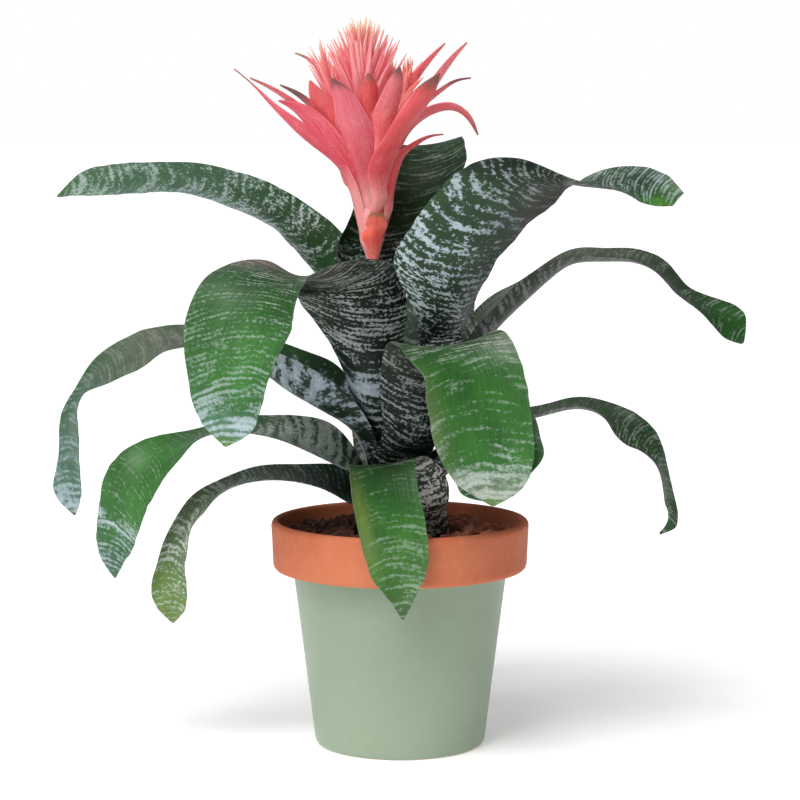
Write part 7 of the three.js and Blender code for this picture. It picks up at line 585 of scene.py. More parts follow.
        [-79.08,-14.74,410.58, -80.35,-13.95,410.39, -81.51,-12.97,410.37, -82.51,-11.85,410.54, -83.31,-10.62,410.89],
        [-89.24,-14.17,419.69, -90.09,-14.12,419.96, -90.9,-13.98,420.3, -91.66,-13.72,420.71, -92.34,-13.38,421.18],
        [-103.03,-14.33,431.07, -103.18,-14.17,430.94, -103.32,-14,430.82, -103.45,-13.82,430.71, -103.57,-13.63,430.6],
    ],
    "bract_back_long": [
        [-20.08,1.68,314.62, -19.04,2.69,314.49, -17.66,3.14,314.5, -16.23,2.93,314.66, -15.06,2.12,314.92],
        [-23.47,3.49,324.99, -21.36,5.5,324.67, -18.57,6.39,324.68, -15.68,6,325.01, -13.3,4.38,325.6],
        [-24.66,4.32,332.86, -22.25,6.5,332.88, -19.17,7.47,333.03, -15.97,7.05,333.28, -13.25,5.32,333.58],
        [-25.87,8.04,336.74, -23.01,9.76,335.46, -19.56,10.57,335.01, -16.02,10.37,335.45, -12.91,9.17,336.73],
        [-27.65,11.22,342.99, -24.27,13.29,341.82, -20.27,14.26,341.4, -16.17,14,341.79, -12.48,12.55,342.94],
        [-29.66,15.86,352.74, -25.8,18.15,351.53, -21.3,19.22,351.11, -16.68,18.95,351.53, -12.48,17.36,352.74],
        [-30.77,21.63,361.1, -26.82,23.71,359.71, -22.28,24.71,359.22, -17.63,24.52,359.71, -13.38,23.16,361.1],
        [-31.19,28.94,368.26, -27.49,30.57,366.77, -23.29,31.4,366.25, -19.01,31.32,366.77, -15.09,30.35,368.26],
        [-30.96,36.88,373.26, -27.79,37.98,371.86, -24.23,38.57,371.38, -20.63,38.6,371.86, -17.32,38.07,373.26],
        [-29.96,45.81,376.04, -27.64,46.25,375.13, -25.14,46.54,374.82, -22.63,46.68,375.13, -20.27,46.66,376.04],
        [-28.65,54.25,375.61, -27.27,54.35,375.23, -25.85,54.47,375.11, -24.43,54.6,375.23, -23.06,54.74,375.61],
        [-27.07,63.71,372.03, -26.77,63.73,372.01, -26.47,63.76,372, -26.18,63.79,372.01, -25.88,63.82,372.03],
    ],
    "scape_bract_front": [
        [-13.97,0.13,310.31, -14.53,-1.8,310.19, -16.14,-3,310.06, -18.15,-2.97,309.97, -19.74,-1.74,309.96],
        [-13.16,-0.02,315.22, -13.91,-2.45,314.44, -16.06,-3.99,314.02, -18.73,-4.02,314.15, -20.84,-2.52,314.75],
        [-12.33,-0.04,319.06, -13.26,-3.06,317.98, -15.94,-4.99,317.42, -19.29,-5.03,317.61, -21.92,-3.16,318.48],
        [-11.41,0.13,322.73, -12.51,-3.69,321.63, -15.79,-6.12,321.04, -19.92,-6.16,321.19, -23.19,-3.8,322.03],
        [-10.79,0.37,326.06, -11.98,-4.12,325.05, -15.72,-6.99,324.47, -20.46,-7.06,324.56, -24.25,-4.31,325.27],
        [-10.04,-0.19,328.42, -11.63,-4.78,327.53, -15.71,-7.53,326.97, -20.67,-7.32,326.97, -24.53,-4.23,327.51],
        [-8.76,-1.87,330.77, -11.22,-5.99,330.03, -15.63,-8.02,329.5, -20.45,-7.21,329.37, -23.98,-3.84,329.69],
        [-8.16,-2.83,332.55, -10.94,-6.59,331.91, -15.26,-8.3,331.45, -19.8,-7.47,331.3, -23.19,-4.42,331.51],
        [-8.35,-2.95,334.47, -10.76,-6.54,333.95, -14.55,-8.5,333.61, -18.74,-8.4,333.54, -22.27,-6.36,333.78],
        [-9.03,-3.13,336.57, -10.85,-6.47,336.18, -13.89,-8.73,336.01, -17.55,-9.49,336.11, -21.13,-8.66,336.46],
        [-9.63,-4.31,338.41, -11.24,-7.03,338.23, -13.73,-9.02,338.25, -16.75,-9.98,338.49, -19.88,-9.8,338.93],
        [-10.34,-6.8,340.5, -11.98,-8.33,340.68, -13.92,-9.4,340.98, -16.06,-9.96,341.38, -18.25,-9.97,341.87],
    ],
    "scape_bract_left": [
        [-18.91,-2.59,310.2, -19.88,-1.51,310.1, -20.26,-0.11,310.06, -19.98,1.31,310.09, -19.09,2.46,310.19],
        [-19.94,-3.5,315.34, -21.16,-2.04,314.87, -21.64,-0.15,314.7, -21.29,1.77,314.86, -20.18,3.31,315.33],
        [-21.14,-4.79,319.77, -22.81,-2.79,319.18, -23.47,-0.21,318.96, -22.98,2.41,319.18, -21.45,4.52,319.78],
        [-22.11,-5.48,323.44, -24.02,-3.17,322.84, -24.79,-0.21,322.6, -24.26,2.79,322.76, -22.55,5.25,323.31],
        [-22.66,-4.81,327.17, -24.49,-2.65,326.46, -25.32,0.06,325.98, -25.02,2.87,325.79, -23.65,5.3,325.9],
        [-23.07,-2.95,332.13, -24.58,-1.35,331.19, -25.46,0.64,330.26, -25.63,2.81,329.42, -25.07,4.93,328.72],
        [-23.61,-2.24,335.76, -25,-0.82,334.73, -25.9,0.94,333.64, -26.23,2.91,332.59, -25.97,4.96,331.64],
        [-24.75,-2.33,340.63, -26.15,-0.78,339.6, -27.03,1.13,338.59, -27.32,3.25,337.67, -27,5.45,336.92],
        [-26.12,-2.25,345.73, -27.45,-0.59,344.83, -28.27,1.4,343.98, -28.54,3.59,343.27, -28.23,5.82,342.74],
        [-27.35,-1.78,349.98, -28.5,-0.17,349.26, -29.24,1.69,348.6, -29.52,3.71,348.05, -29.32,5.76,347.64],
        [-28.72,-0.66,354.13, -29.51,0.56,353.63, -30.03,1.93,353.18, -30.25,3.4,352.8, -30.17,4.91,352.5],
        [-30.7,1.56,359.66, -30.81,1.88,359.49, -30.91,2.2,359.33, -30.98,2.53,359.17, -31.04,2.86,359.01],
    ],
    "scape_bract_right": [
        [-16.21,3.02,310, -14.95,2.29,310.03, -14.15,1.08,310.06, -13.98,-0.36,310.09, -14.48,-1.73,310.1],
        [-16.12,4.04,314.86, -14.5,3.05,314.56, -13.45,1.43,314.47, -13.21,-0.48,314.63, -13.83,-2.26,315],
        [-15.94,5.6,319.44, -13.67,4.24,319.07, -12.22,2,318.98, -11.88,-0.64,319.19, -12.72,-3.13,319.65],
        [-15.4,6.59,323.21, -12.86,4.94,322.86, -11.26,2.34,322.76, -10.91,-0.69,322.92, -11.88,-3.57,323.32],
        [-13.4,6.59,326.82, -11.4,4.72,326.32, -10.3,2.15,326, -10.31,-0.7,325.9, -11.46,-3.34,326.01],
        [-9.89,5.97,331.41, -9.08,3.87,330.62, -9.01,1.57,329.91, -9.7,-0.69,329.35, -11.12,-2.66,328.98],
        [-8.07,5.89,335.35, -7.7,3.65,334.47, -8.02,1.4,333.63, -9,-0.68,332.93, -10.53,-2.43,332.41],
        [-7.36,6.25,339.47, -6.89,3.94,338.64, -7.14,1.59,337.89, -8.07,-0.62,337.28, -9.6,-2.5,336.86],
        [-6.55,6.52,344.39, -6.04,4.27,343.66, -6.19,1.95,343.03, -6.99,-0.27,342.54, -8.38,-2.22,342.23],
        [-5.38,6.37,349.75, -5.08,4.41,349.14, -5.25,2.41,348.6, -5.9,0.48,348.18, -6.96,-1.28,347.88],
        [-4.35,5.56,354.51, -4.23,4.18,354.07, -4.38,2.79,353.68, -4.8,1.43,353.36, -5.47,0.17,353.11],
        [-3.17,3.88,360.25, -3.21,3.54,360.09, -3.26,3.2,359.94, -3.33,2.86,359.79, -3.42,2.53,359.64],
    ],
}

FOOT_BRACTS = {
    "flower_spike_right_foot_bract": [
        [-18.3,-2.7,357.88, -19.12,-3.93,357.62, -20.16,-5,357.55, -21.37,-5.88,357.67, -22.69,-6.52,357.97],
        [-12.77,-5.52,364.64, -14.28,-7.14,364.11, -16.22,-8.3,363.84, -18.4,-8.9,363.87, -20.63,-8.9,364.17],
        [-10.17,-7.25,369.48, -12.14,-8.97,368.93, -14.57,-10.02,368.64, -17.23,-10.28,368.66, -19.81,-9.74,368.98],
        [-8.2,-9.3,376.41, -10.76,-10.94,376.02, -13.75,-11.62,375.86, -16.79,-11.26,375.95, -19.5,-9.9,376.28],
        [-6.46,-10.74,384.94, -9.48,-12.57,384.6, -12.97,-13.18,384.48, -16.45,-12.51,384.59, -19.44,-10.63,384.92],
        [-4.65,-11.76,393.44, -8.07,-13.9,393.14, -12.05,-14.61,393.08, -16.01,-13.77,393.27, -19.35,-11.52,393.66],
        [-3.02,-12.32,399.76, -6.54,-14.76,399.52, -10.72,-15.68,399.55, -14.93,-14.95,399.86, -18.51,-12.68,400.4],
        [-1.64,-11.98,405.1, -4.56,-14.89,404.84, -8.33,-16.55,404.92, -12.41,-16.72,405.35, -16.21,-15.4,406.06],
        [-0.22,-12.13,410.99, -2.48,-15.28,410.77, -5.67,-17.47,410.95, -9.39,-18.45,411.48, -13.16,-18.08,412.31],
        [1.19,-13.95,418.22, -0.7,-16.61,418.24, -3.29,-18.55,418.57, -6.33,-19.57,419.17, -9.49,-19.56,419.97],
        [1.59,-16.33,425.08, 0.19,-18.09,425.24, -1.6,-19.43,425.58, -3.65,-20.24,426.06, -5.81,-20.47,426.66],
        [0.31,-19.61,432.01, 0.1,-19.91,432.07, -0.13,-20.2,432.14, -0.37,-20.48,432.21, -0.62,-20.74,432.29],
    ],
    "flower_spike_left_foot_bract": [
        [-20.17,-6.5,357.97, -21.49,-5.87,357.65, -22.71,-5,357.53, -23.76,-3.94,357.61, -24.61,-2.73,357.88],
        [-23.74,-8.1,364.01, -25.76,-7.58,363.04, -27.62,-6.44,362.32, -29.16,-4.78,361.91, -30.24,-2.75,361.85],
        [-25.94,-9.5,369.32, -28.33,-8.98,368.07, -30.52,-7.64,367.09, -32.27,-5.62,366.49, -33.4,-3.12,366.32],
        [-27.85,-11.19,375.95, -30.48,-10.6,374.62, -32.85,-9.07,373.58, -34.68,-6.78,372.96, -35.76,-3.98,372.82],
        [-29.84,-12.36,381.85, -32.67,-11.88,380.46, -35.26,-10.36,379.37, -37.28,-7.98,378.71, -38.51,-5.03,378.56],
        [-32.82,-13.32,389.31, -35.91,-13.23,387.83, -38.87,-11.99,386.64, -41.34,-9.75,385.89, -43.03,-6.78,385.67],
        [-35.82,-13.81,396.69, -39.07,-14.19,395.25, -42.34,-13.37,394.06, -45.25,-11.45,393.24, -47.45,-8.67,392.91],
        [-38.97,-13.94,403.99, -42.21,-14.83,402.72, -45.62,-14.56,401.61, -48.82,-13.17,400.78, -51.48,-10.8,400.32],
        [-41.95,-13.81,410.07, -44.87,-15.2,409.04, -48.11,-15.55,408.07, -51.33,-14.81,407.28, -54.19,-13.05,406.76],
        [-45.44,-14.81,414.83, -47.91,-15.96,413.94, -50.65,-16.29,413.1, -53.4,-15.75,412.38, -55.9,-14.38,411.84],
        [-49.97,-16.78,419.2, -51.75,-17.09,418.47, -53.57,-16.93,417.78, -55.33,-16.29,417.2, -56.92,-15.23,416.74],
        [-55.73,-17.69,424.02, -55.97,-17.6,423.87, -56.21,-17.5,423.71, -56.44,-17.39,423.56, -56.68,-17.27,423.42],
    ],
}


# ---------------------------------------------------------------- surfaces
def spline(x, Y, q):
    """Natural cubic spline through Y (n, ...) at x, read at q."""
    x = np.asarray(x, float)
    Y = np.asarray(Y, float)
    n = len(x)
    h = np.diff(x)
    A = np.zeros((n, n))
    B = np.zeros_like(Y)
    A[0, 0] = A[-1, -1] = 1
    for i in range(1, n - 1):
        A[i, i - 1], A[i, i], A[i, i + 1] = h[i - 1], 2 * (h[i - 1] + h[i]), h[i]
        B[i] = 6 * ((Y[i + 1] - Y[i]) / h[i] - (Y[i] - Y[i - 1]) / h[i - 1])
    M = np.linalg.solve(A, B.reshape(n, -1)).reshape(Y.shape)
    k = np.clip(np.searchsorted(x, q, side="right") - 1, 0, n - 2)
    t = q - x[k]
    shape = (-1,) + (1,) * (Y.ndim - 1)
    t, hk = t.reshape(shape), h[k].reshape(shape)
    a = (M[k + 1] - M[k]) / (6 * hk)
    b = M[k] / 2
    c = (Y[k + 1] - Y[k]) / hk - hk * (2 * M[k] + M[k + 1]) / 6
    return ((a * t + b) * t + c) * t + Y[k]


def surface(net, us, vs):
    """Fine grid (len(us), len(vs), 3) in metres through a coarse net in millimetres."""
    P = np.asarray(net, float)
    P = P.reshape(len(P), -1, 3) / 1000.0
    lines = P[:, [0, P.shape[1] // 2, -1]]
    d = np.r_[0, np.cumsum(np.linalg.norm(np.diff(lines, axis=0), axis=2).mean(1))]
    G = spline(d / d[-1], P, us)
    m = P.shape[1]
    G = spline(np.linspace(-1, 1, m), G.transpose(1, 0, 2), vs).transpose(1, 0, 2)
    return G


def normals(G):
    du = np.gradient(G, axis=0)
    dv = np.gradient(G, axis=1)
    n = np.cross(dv, du)
    return n / np.maximum(np.linalg.norm(n, axis=2, keepdims=True), 1e-12)


def smooth_noise(n, step, seed):
    """A 1-D wandering line of n samples with a bump about every step samples."""
    r = np.random.default_rng(seed)
    k = max(int(n / step) + 4, 5)
    return spline(np.linspace(0, 1, k), r.uniform(-1, 1, k), np.linspace(0, 1, n))


def mesh_object(name, verts, faces, mats, mat_index=None, attrs=None, smooth=True):
    me = bpy.data.meshes.new(name)
    me.from_pydata([tuple(v) for v in verts], [], [tuple(int(i) for i in f) for f in faces])
    for m in mats:
        me.materials.append(m)
    if mat_index is not None:
        me.polygons.foreach_set("material_index", np.asarray(mat_index, np.int32))
    me.polygons.foreach_set("use_smooth", np.full(len(faces), bool(smooth)))
    for key, data in (attrs or {}).items():
        a = me.attributes.new(key, "FLOAT_VECTOR", "POINT")
        a.data.foreach_set("vector", np.asarray(data, np.float32).ravel())
    me.update()
    me.validate()
    ob = bpy.data.objects.new(name, me)
    bpy.context.scene.collection.objects.link(ob)
    return ob


def blade_parts(G, half, co, look_top, look_under):
    """A closed thin body round the middle surface G. half is the half thickness at each
    grid point. Returns vertices, faces, material index (0 upper face, 1 under face)
    and the two attributes."""
    n, m = G.shape[:2]
    N = normals(G)
    top = (G + N * half[..., None]).reshape(-1, 3)
    low = (G - N * half[..., None]).reshape(-1, 3)
    idx = np.arange(n * m).reshape(n, m)
    a, b, c, d = idx[:-1, :-1], idx[1:, :-1], idx[1:, 1:], idx[:-1, 1:]
    up = np.stack([a, d, c, b], -1).reshape(-1, 4)
    dn = np.stack([a, b, c, d], -1).reshape(-1, 4) + n * m
    o = n * m
    walls = []
    walls.append(np.stack([idx[:-1, 0], idx[1:, 0], idx[1:, 0] + o, idx[:-1, 0] + o], -1))
    walls.append(np.stack([idx[1:, -1], idx[:-1, -1], idx[:-1, -1] + o, idx[1:, -1] + o], -1))
    walls.append(np.stack([idx[0, 1:], idx[0, :-1], idx[0, :-1] + o, idx[0, 1:] + o], -1))
    walls.append(np.stack([idx[-1, :-1], idx[-1, 1:], idx[-1, 1:] + o, idx[-1, :-1] + o], -1))
    walls = np.concatenate(walls)
    V = np.concatenate([top, low])
    F = np.concatenate([up, dn, walls])
    # turn every face outwards if the net was listed the other way round
    tri = V[F[: len(up), :3]]
    out = np.cross(tri[:, 1] - tri[:, 0], tri[:, 2] - tri[:, 0])
    if (out * N[:-1, :-1].reshape(-1, 3)).sum() < 0:
        F = F[:, ::-1]
    mi = np.r_[np.zeros(len(up)), np.ones(len(dn)), np.ones(len(walls))]
    co2 = np.concatenate([co.reshape(-1, 3), co.reshape(-1, 3)])
    lk = np.concatenate([look_top.reshape(-1, 3), look_under.reshape(-1, 3)])
    return V, F, mi, co2, lk


# ---------------------------------------------------------------- node helpers
class Tree:
    def __init__(self, name):
        self.mat = bpy.data.materials.new(name)
        self.mat.use_nodes = True
        self.t = self.mat.node_tree
        self.t.nodes.clear()
        self.out = self.t.nodes.new("ShaderNodeOutputMaterial")
        self.bsdf = self.t.nodes.new("ShaderNodeBsdfPrincipled")
        self.t.links.new(self.bsdf.outputs[0], self.out.inputs["Surface"])

    def set(self, sock, val):
        if isinstance(val, bpy.types.NodeSocket):
            self.t.links.new(val, sock)
        elif isinstance(val, (tuple, list)) and len(val) == 3 and sock.type == "RGBA":
            sock.default_value = (*val, 1)
        else:
            sock.default_value = val

    def attr(self, name):
        n = self.t.nodes.new("ShaderNodeAttribute")
        n.attribute_name = name
        return n.outputs["Vector"]

    def obj(self):
        return self.t.nodes.new("ShaderNodeTexCoord").outputs["Object"]

    def split(self, v):
        n = self.t.nodes.new("ShaderNodeSeparateXYZ")
        self.set(n.inputs[0], v)
        return n.outputs[0], n.outputs[1], n.outputs[2]

    def join(self, x, y, z):
        n = self.t.nodes.new("ShaderNodeCombineXYZ")
        for s, v in zip(n.inputs, (x, y, z)):
            self.set(s, v)
        return n.outputs[0]

    def m(self, op, a, b=None, c=None, clamp=False):
        n = self.t.nodes.new("ShaderNodeMath")
        n.operation = op
        n.use_clamp = clamp
        for s, v in zip(n.inputs, (a, b, c)):
            if v is not None:
                self.set(s, v)
        return n.outputs[0]

    def noise(self, vec, scale=1.0, detail=2.0, rough=0.5, dist=0.0, dims="3D"):
        n = self.t.nodes.new("ShaderNodeTexNoise")
        n.noise_dimensions = dims
        self.set(n.inputs["Vector"], vec)
        n.inputs["Scale"].default_value = scale
        n.inputs["Detail"].default_value = detail
        n.inputs["Roughness"].default_value = rough
        n.inputs["Distortion"].default_value = dist
        return n.outputs["Fac"]

    def voronoi(self, vec, scale, feature="F1", out="Distance", rand=1.0):
        n = self.t.nodes.new("ShaderNodeTexVoronoi")
        n.feature = feature
        self.set(n.inputs["Vector"], vec)
        n.inputs["Scale"].default_value = scale
        n.inputs["Randomness"].default_value = rand
        return n.outputs[out]

    def mix(self, fac, a, b, mode="MIX"):
        n = self.t.nodes.new("ShaderNodeMix")
        n.data_type = "RGBA"
        n.blend_type = mode
        self.set(n.inputs[0], fac)
        self.set(n.inputs[6], a)
        self.set(n.inputs[7], b)
        return n.outputs[2]

    def ramp(self, fac, stops, interp="LINEAR"):
        n = self.t.nodes.new("ShaderNodeValToRGB")
        n.color_ramp.interpolation = interp
        e = n.color_ramp.elements
        while len(e) < len(stops):
            e.new(0.5)
        for el, (p, c) in zip(e, stops):
            el.position = p
            el.color = (*c, 1) if len(c) == 3 else c
        self.set(n.inputs[0], fac)
        return n.outputs[0]

    def span(self, v, a, b, lo=0.0, hi=1.0, smooth=False):
        n = self.t.nodes.new("ShaderNodeMapRange")
        n.clamp = True
        if smooth:
            n.interpolation_type = "SMOOTHSTEP"
        self.set(n.inputs[0], v)
        for i, x in zip((1, 2, 3, 4), (a, b, lo, hi)):
            self.set(n.inputs[i], x)
        return n.outputs[0]

    def bump(self, height, strength, dist, normal=None):
        n = self.t.nodes.new("ShaderNodeBump")
        n.inputs["Strength"].default_value = strength
        n.inputs["Distance"].default_value = dist
        self.set(n.inputs["Height"], height)
        if normal is not None:
            self.set(n.inputs["Normal"], normal)
        return n.outputs[0]

    def finish(self, **k):
        for key, v in k.items():
            self.set(self.bsdf.inputs[key.replace("_", " ")], v)
        return self.mat


def lin(r, g, b):
    """sRGB 0..255 to linear."""
    f = lambda c: c / 12.92 if c <= 0.04045 else ((c + 0.055) / 1.055) ** 2.4
    return (f(r / 255), f(g / 255), f(b / 255))


# ---------------------------------------------------------------- materials
def leaf_material(name, seed, kind, wide=46.0, row=0.055, sheen=0.36):
    """kind 'under' is the banded outer face, 'upper' the greener inner face. The
    attribute leafco holds (arc length, distance from the midrib, -1..1 across), look
    holds (brightness of the green, threshold of the silver scales, greyish bloom and painted sheen), band
    holds (cross-band count from the base, opacity of the scales, blue tint) and fleck
    holds (share of loose flecks, pinkish grey, yellow). Low green and scale opacity also paint
    shade, and the bloom with pinkish grey paints a sheen of reflected light in places."""
    T = Tree(name)
    s, t, v = T.split(T.attr("leafco"))
    g, cut, bloom_and_sheen = T.split(T.attr("look"))
    B, opac, blue = T.split(T.attr("band"))
    loose, pink, yellow = T.split(T.attr("fleck"))
    # the cross bands wander, break up along the veins and scatter into flecks
    wob = T.noise(T.join(T.m("MULTIPLY", s, 17.0), T.m("MULTIPLY", t, 26.0), seed), 1.0, 2.5, 0.5)
    Bw = T.m("ADD", B, T.m("MULTIPLY", T.m("SUBTRACT", wob, 0.5), 2.6))
    n1 = T.noise(T.join(Bw, T.m("MULTIPLY", t, wide), seed + 3.0), 1.0, 2.8, 0.62, 0.12)
    rows = T.m("SINE", T.m("MULTIPLY", Bw, 6.2832))
    dash = T.noise(T.join(T.m("MULTIPLY", s, 190.0), T.m("MULTIPLY", t, 380.0 if kind == "upper" else 520.0), seed + 11.0), 1.0, 2.0, 0.6)
    speck = T.noise(T.join(T.m("MULTIPLY", s, 620.0), T.m("MULTIPLY", t, 430.0), seed + 17.0), 1.0, 2.0, 0.65)
    speck0 = T.m("SUBTRACT", speck, 0.5)
    val = T.m("ADD", T.m("MULTIPLY", n1, 0.8), T.m("MULTIPLY", rows, row))
    val = T.m("ADD", val, T.m("MULTIPLY", T.m("SUBTRACT", dash, 0.5), 0.22))
    val = T.m("ADD", val, T.m("MULTIPLY", speck0, T.m("MULTIPLY", loose, 1.1)))
    diff = T.m("SUBTRACT", T.m("ADD", val, 0.1), cut)
    mask = T.span(diff, -0.06, 0.11, 0.0, 1.0, True) if kind == "upper" else T.span(diff, -0.045, 0.06, 0.0, 1.0, True)
    # greens
    patch = T.noise(T.join(T.m("MULTIPLY", s, 34.0), T.m("MULTIPLY", t, 62.0), seed + 23.0), 1.0, 3.0, 0.6)
    vein = T.noise(T.join(T.m("MULTIPLY", s, 9.0), T.m("MULTIPLY", t, 1500.0), seed + 29.0), 1.0, 2.0, 0.6)
    if kind == "upper":
        dark, mid, bright = lin(20, 40, 20), lin(38, 82, 32), lin(62, 128, 44)
    else:
        dark, mid, bright = lin(15, 28, 18), lin(40, 66, 36), lin(70, 112, 48)
    # low values of the green paint shade at the leaf bases in the rosette and under other leaves
    gg = T.m("ADD", g, T.m("MULTIPLY", T.m("SUBTRACT", patch, 0.5), 0.55))
    gg = T.m("ADD", gg, T.m("MULTIPLY", T.m("SUBTRACT", vein, 0.5), 0.26))
    gg = T.m("ADD", gg, T.m("MULTIPLY", speck0, 0.25))
    green = T.mix(T.span(gg, 0.0, 0.5), dark, mid)
    green = T.mix(T.span(gg, 0.5, 1.0), green, bright)
    green = T.mix(T.m("MULTIPLY", yellow, T.span(patch, 0.3, 0.7, 0.5, 1.0)), green, lin(150, 158, 84))
    # the bloom colour; with pinkish grey it also paints the sheen of reflected light
    haze_c = T.mix(pink, T.mix(blue, lin(112, 136, 118), lin(112, 144, 142)), lin(140, 126, 122))
    haze = T.m("MULTIPLY", bloom_and_sheen, T.span(T.m("ADD", n1, T.m("MULTIPLY", dash, 0.5)), 0.45, 1.0, 0.4, 1.0))
    green = T.mix(haze, green, haze_c)
    # silver scales: greyish in thin rows, paler and bluer where they lie thick
    tone = T.m("ADD", T.m("MULTIPLY", T.span(diff, 0.0, 0.2), 0.6), T.m("MULTIPLY", speck, 0.5))
    grey = T.mix(tone, lin(130, 150, 130), lin(206, 218, 204)) if kind == "upper" else T.mix(tone, lin(134, 146, 138), lin(212, 218, 212))
    bluish = T.mix(tone, lin(132, 152, 162), lin(204, 218, 228))
    rosy = T.mix(tone, lin(148, 138, 134), lin(208, 202, 196))
    silver = T.mix(blue, T.mix(pink, grey, rosy), bluish)
    colour = T.mix(T.m("MULTIPLY", mask, opac), green, silver)
    # pale thin margin
    av = T.m("ABSOLUTE", v)
    if kind == "upper":
        colour = T.mix(T.span(av, 0.975, 1.0, 0.0, 0.2), colour, lin(134, 158, 116))
    rough = T.m("ADD", 0.42, T.m("MULTIPLY", mask, 0.25))
    rough = T.m("ADD", rough, T.m("MULTIPLY", speck0, 0.14))
    ribs = T.noise(T.join(T.m("MULTIPLY", s, 12.0), T.m("MULTIPLY", t, 850.0), seed + 31.0), 1.0, 1.0, 0.5)
    h = T.m("ADD", T.m("MULTIPLY", ribs, 0.7), T.m("MULTIPLY", T.m("ADD", mask, speck), 0.12))
    nb = T.bump(h, 0.4, 0.0009)
    return T.finish(Base_Color=colour, Roughness=rough, Normal=nb, Specular_IOR_Level=sheen if kind == "upper" else 0.2)


def bract_material(name, seed, root, body, tipdark, tipcol, glow=0.05):
    """leafco as for leaves, look holds (0..1 along, share of whitish bloom, redness)."""
    T = Tree(name)
    s, t, v = T.split(T.attr("leafco"))
    u, bloom, red = T.split(T.attr("look"))
    stri = T.noise(T.join(T.m("MULTIPLY", s, 40.0), T.m("MULTIPLY", t, 1900.0), seed), 1.0, 2.5, 0.6)
    patch = T.noise(T.join(T.m("MULTIPLY", s, 75.0), T.m("MULTIPLY", t, 130.0), seed + 5.0), 1.0, 3.0, 0.6)
    grain = T.noise(T.join(T.m("MULTIPLY", s, 900.0), T.m("MULTIPLY", t, 800.0), seed + 9.0), 1.0, 2.0, 0.65)
    along = T.m("ADD", u, T.m("MULTIPLY", T.m("SUBTRACT", patch, 0.5), 0.2))
    r, g_, b_ = body
    c = T.ramp(along, [(0.0, lin(*root)), (0.27, lin(*root)), (0.42, lin(r - 4, g_ - 8, b_ - 2)), (0.6, lin(r, g_, b_)), (0.85, lin(r - 2, g_ + 6, b_ + 6)), (1.0, lin(r - 12, g_ + 8, b_ + 2))])
    c = T.mix(T.m("MULTIPLY", red, T.span(patch, 0.3, 0.7, 0.6, 1.0)), c, lin(212, 44, 34))
    c = T.mix(T.span(patch, 0.52, 0.75, 0.0, 0.3), c, lin(236, 128, 138))
    c = T.mix(T.m("MULTIPLY", T.m("SUBTRACT", stri, 0.5, clamp=True), 1.3), c, lin(246, 170, 176))
    c = T.mix(T.m("MULTIPLY", T.m("SUBTRACT", 0.5, stri, clamp=True), 1.5), c, lin(176, 26, 44))
    bl = T.m("MULTIPLY", bloom, T.span(T.m("ADD", T.m("MULTIPLY", patch, 0.45), T.m("MULTIPLY", grain, 0.55)), 0.46, 0.6))
    c = T.mix(T.m("MULTIPLY", bl, 0.5), c, lin(248, 188, 190))
    # withered tip and thin margin
    av = T.m("ABSOLUTE", v)
    edge = T.span(av, 0.8, 1.0)
    c = T.mix(T.m("MULTIPLY", edge, 0.28), c, lin(244, 150, 152))
    far = T.m("ADD", T.m("ADD", u, T.m("MULTIPLY", T.m("SUBTRACT", patch, 0.5), 0.12)), T.m("MULTIPLY", edge, 0.05))
    tip = T.span(far, tipdark, tipdark + 0.1, 0.0, 0.85, True)
    c = T.mix(tip, c, lin(*tipcol))
    rough = T.m("ADD", 0.46, T.m("MULTIPLY", T.m("SUBTRACT", grain, 0.5), 0.25))
    nb = T.bump(T.m("ADD", T.m("MULTIPLY", stri, 0.8), T.m("MULTIPLY", grain, 0.3)), 0.5, 0.0006)
    # the emission makes the bract glow a little though it is no lamp: painted light standing in for light through and
    # onto it
    return T.finish(Base_Color=c, Roughness=rough, Normal=nb, Specular_IOR_Level=0.32, Subsurface_Weight=0.1, Subsurface_Radius=(0.003, 0.0012, 0.001), Subsurface_Scale=0.5, Emission_Color=c, Emission_Strength=glow)


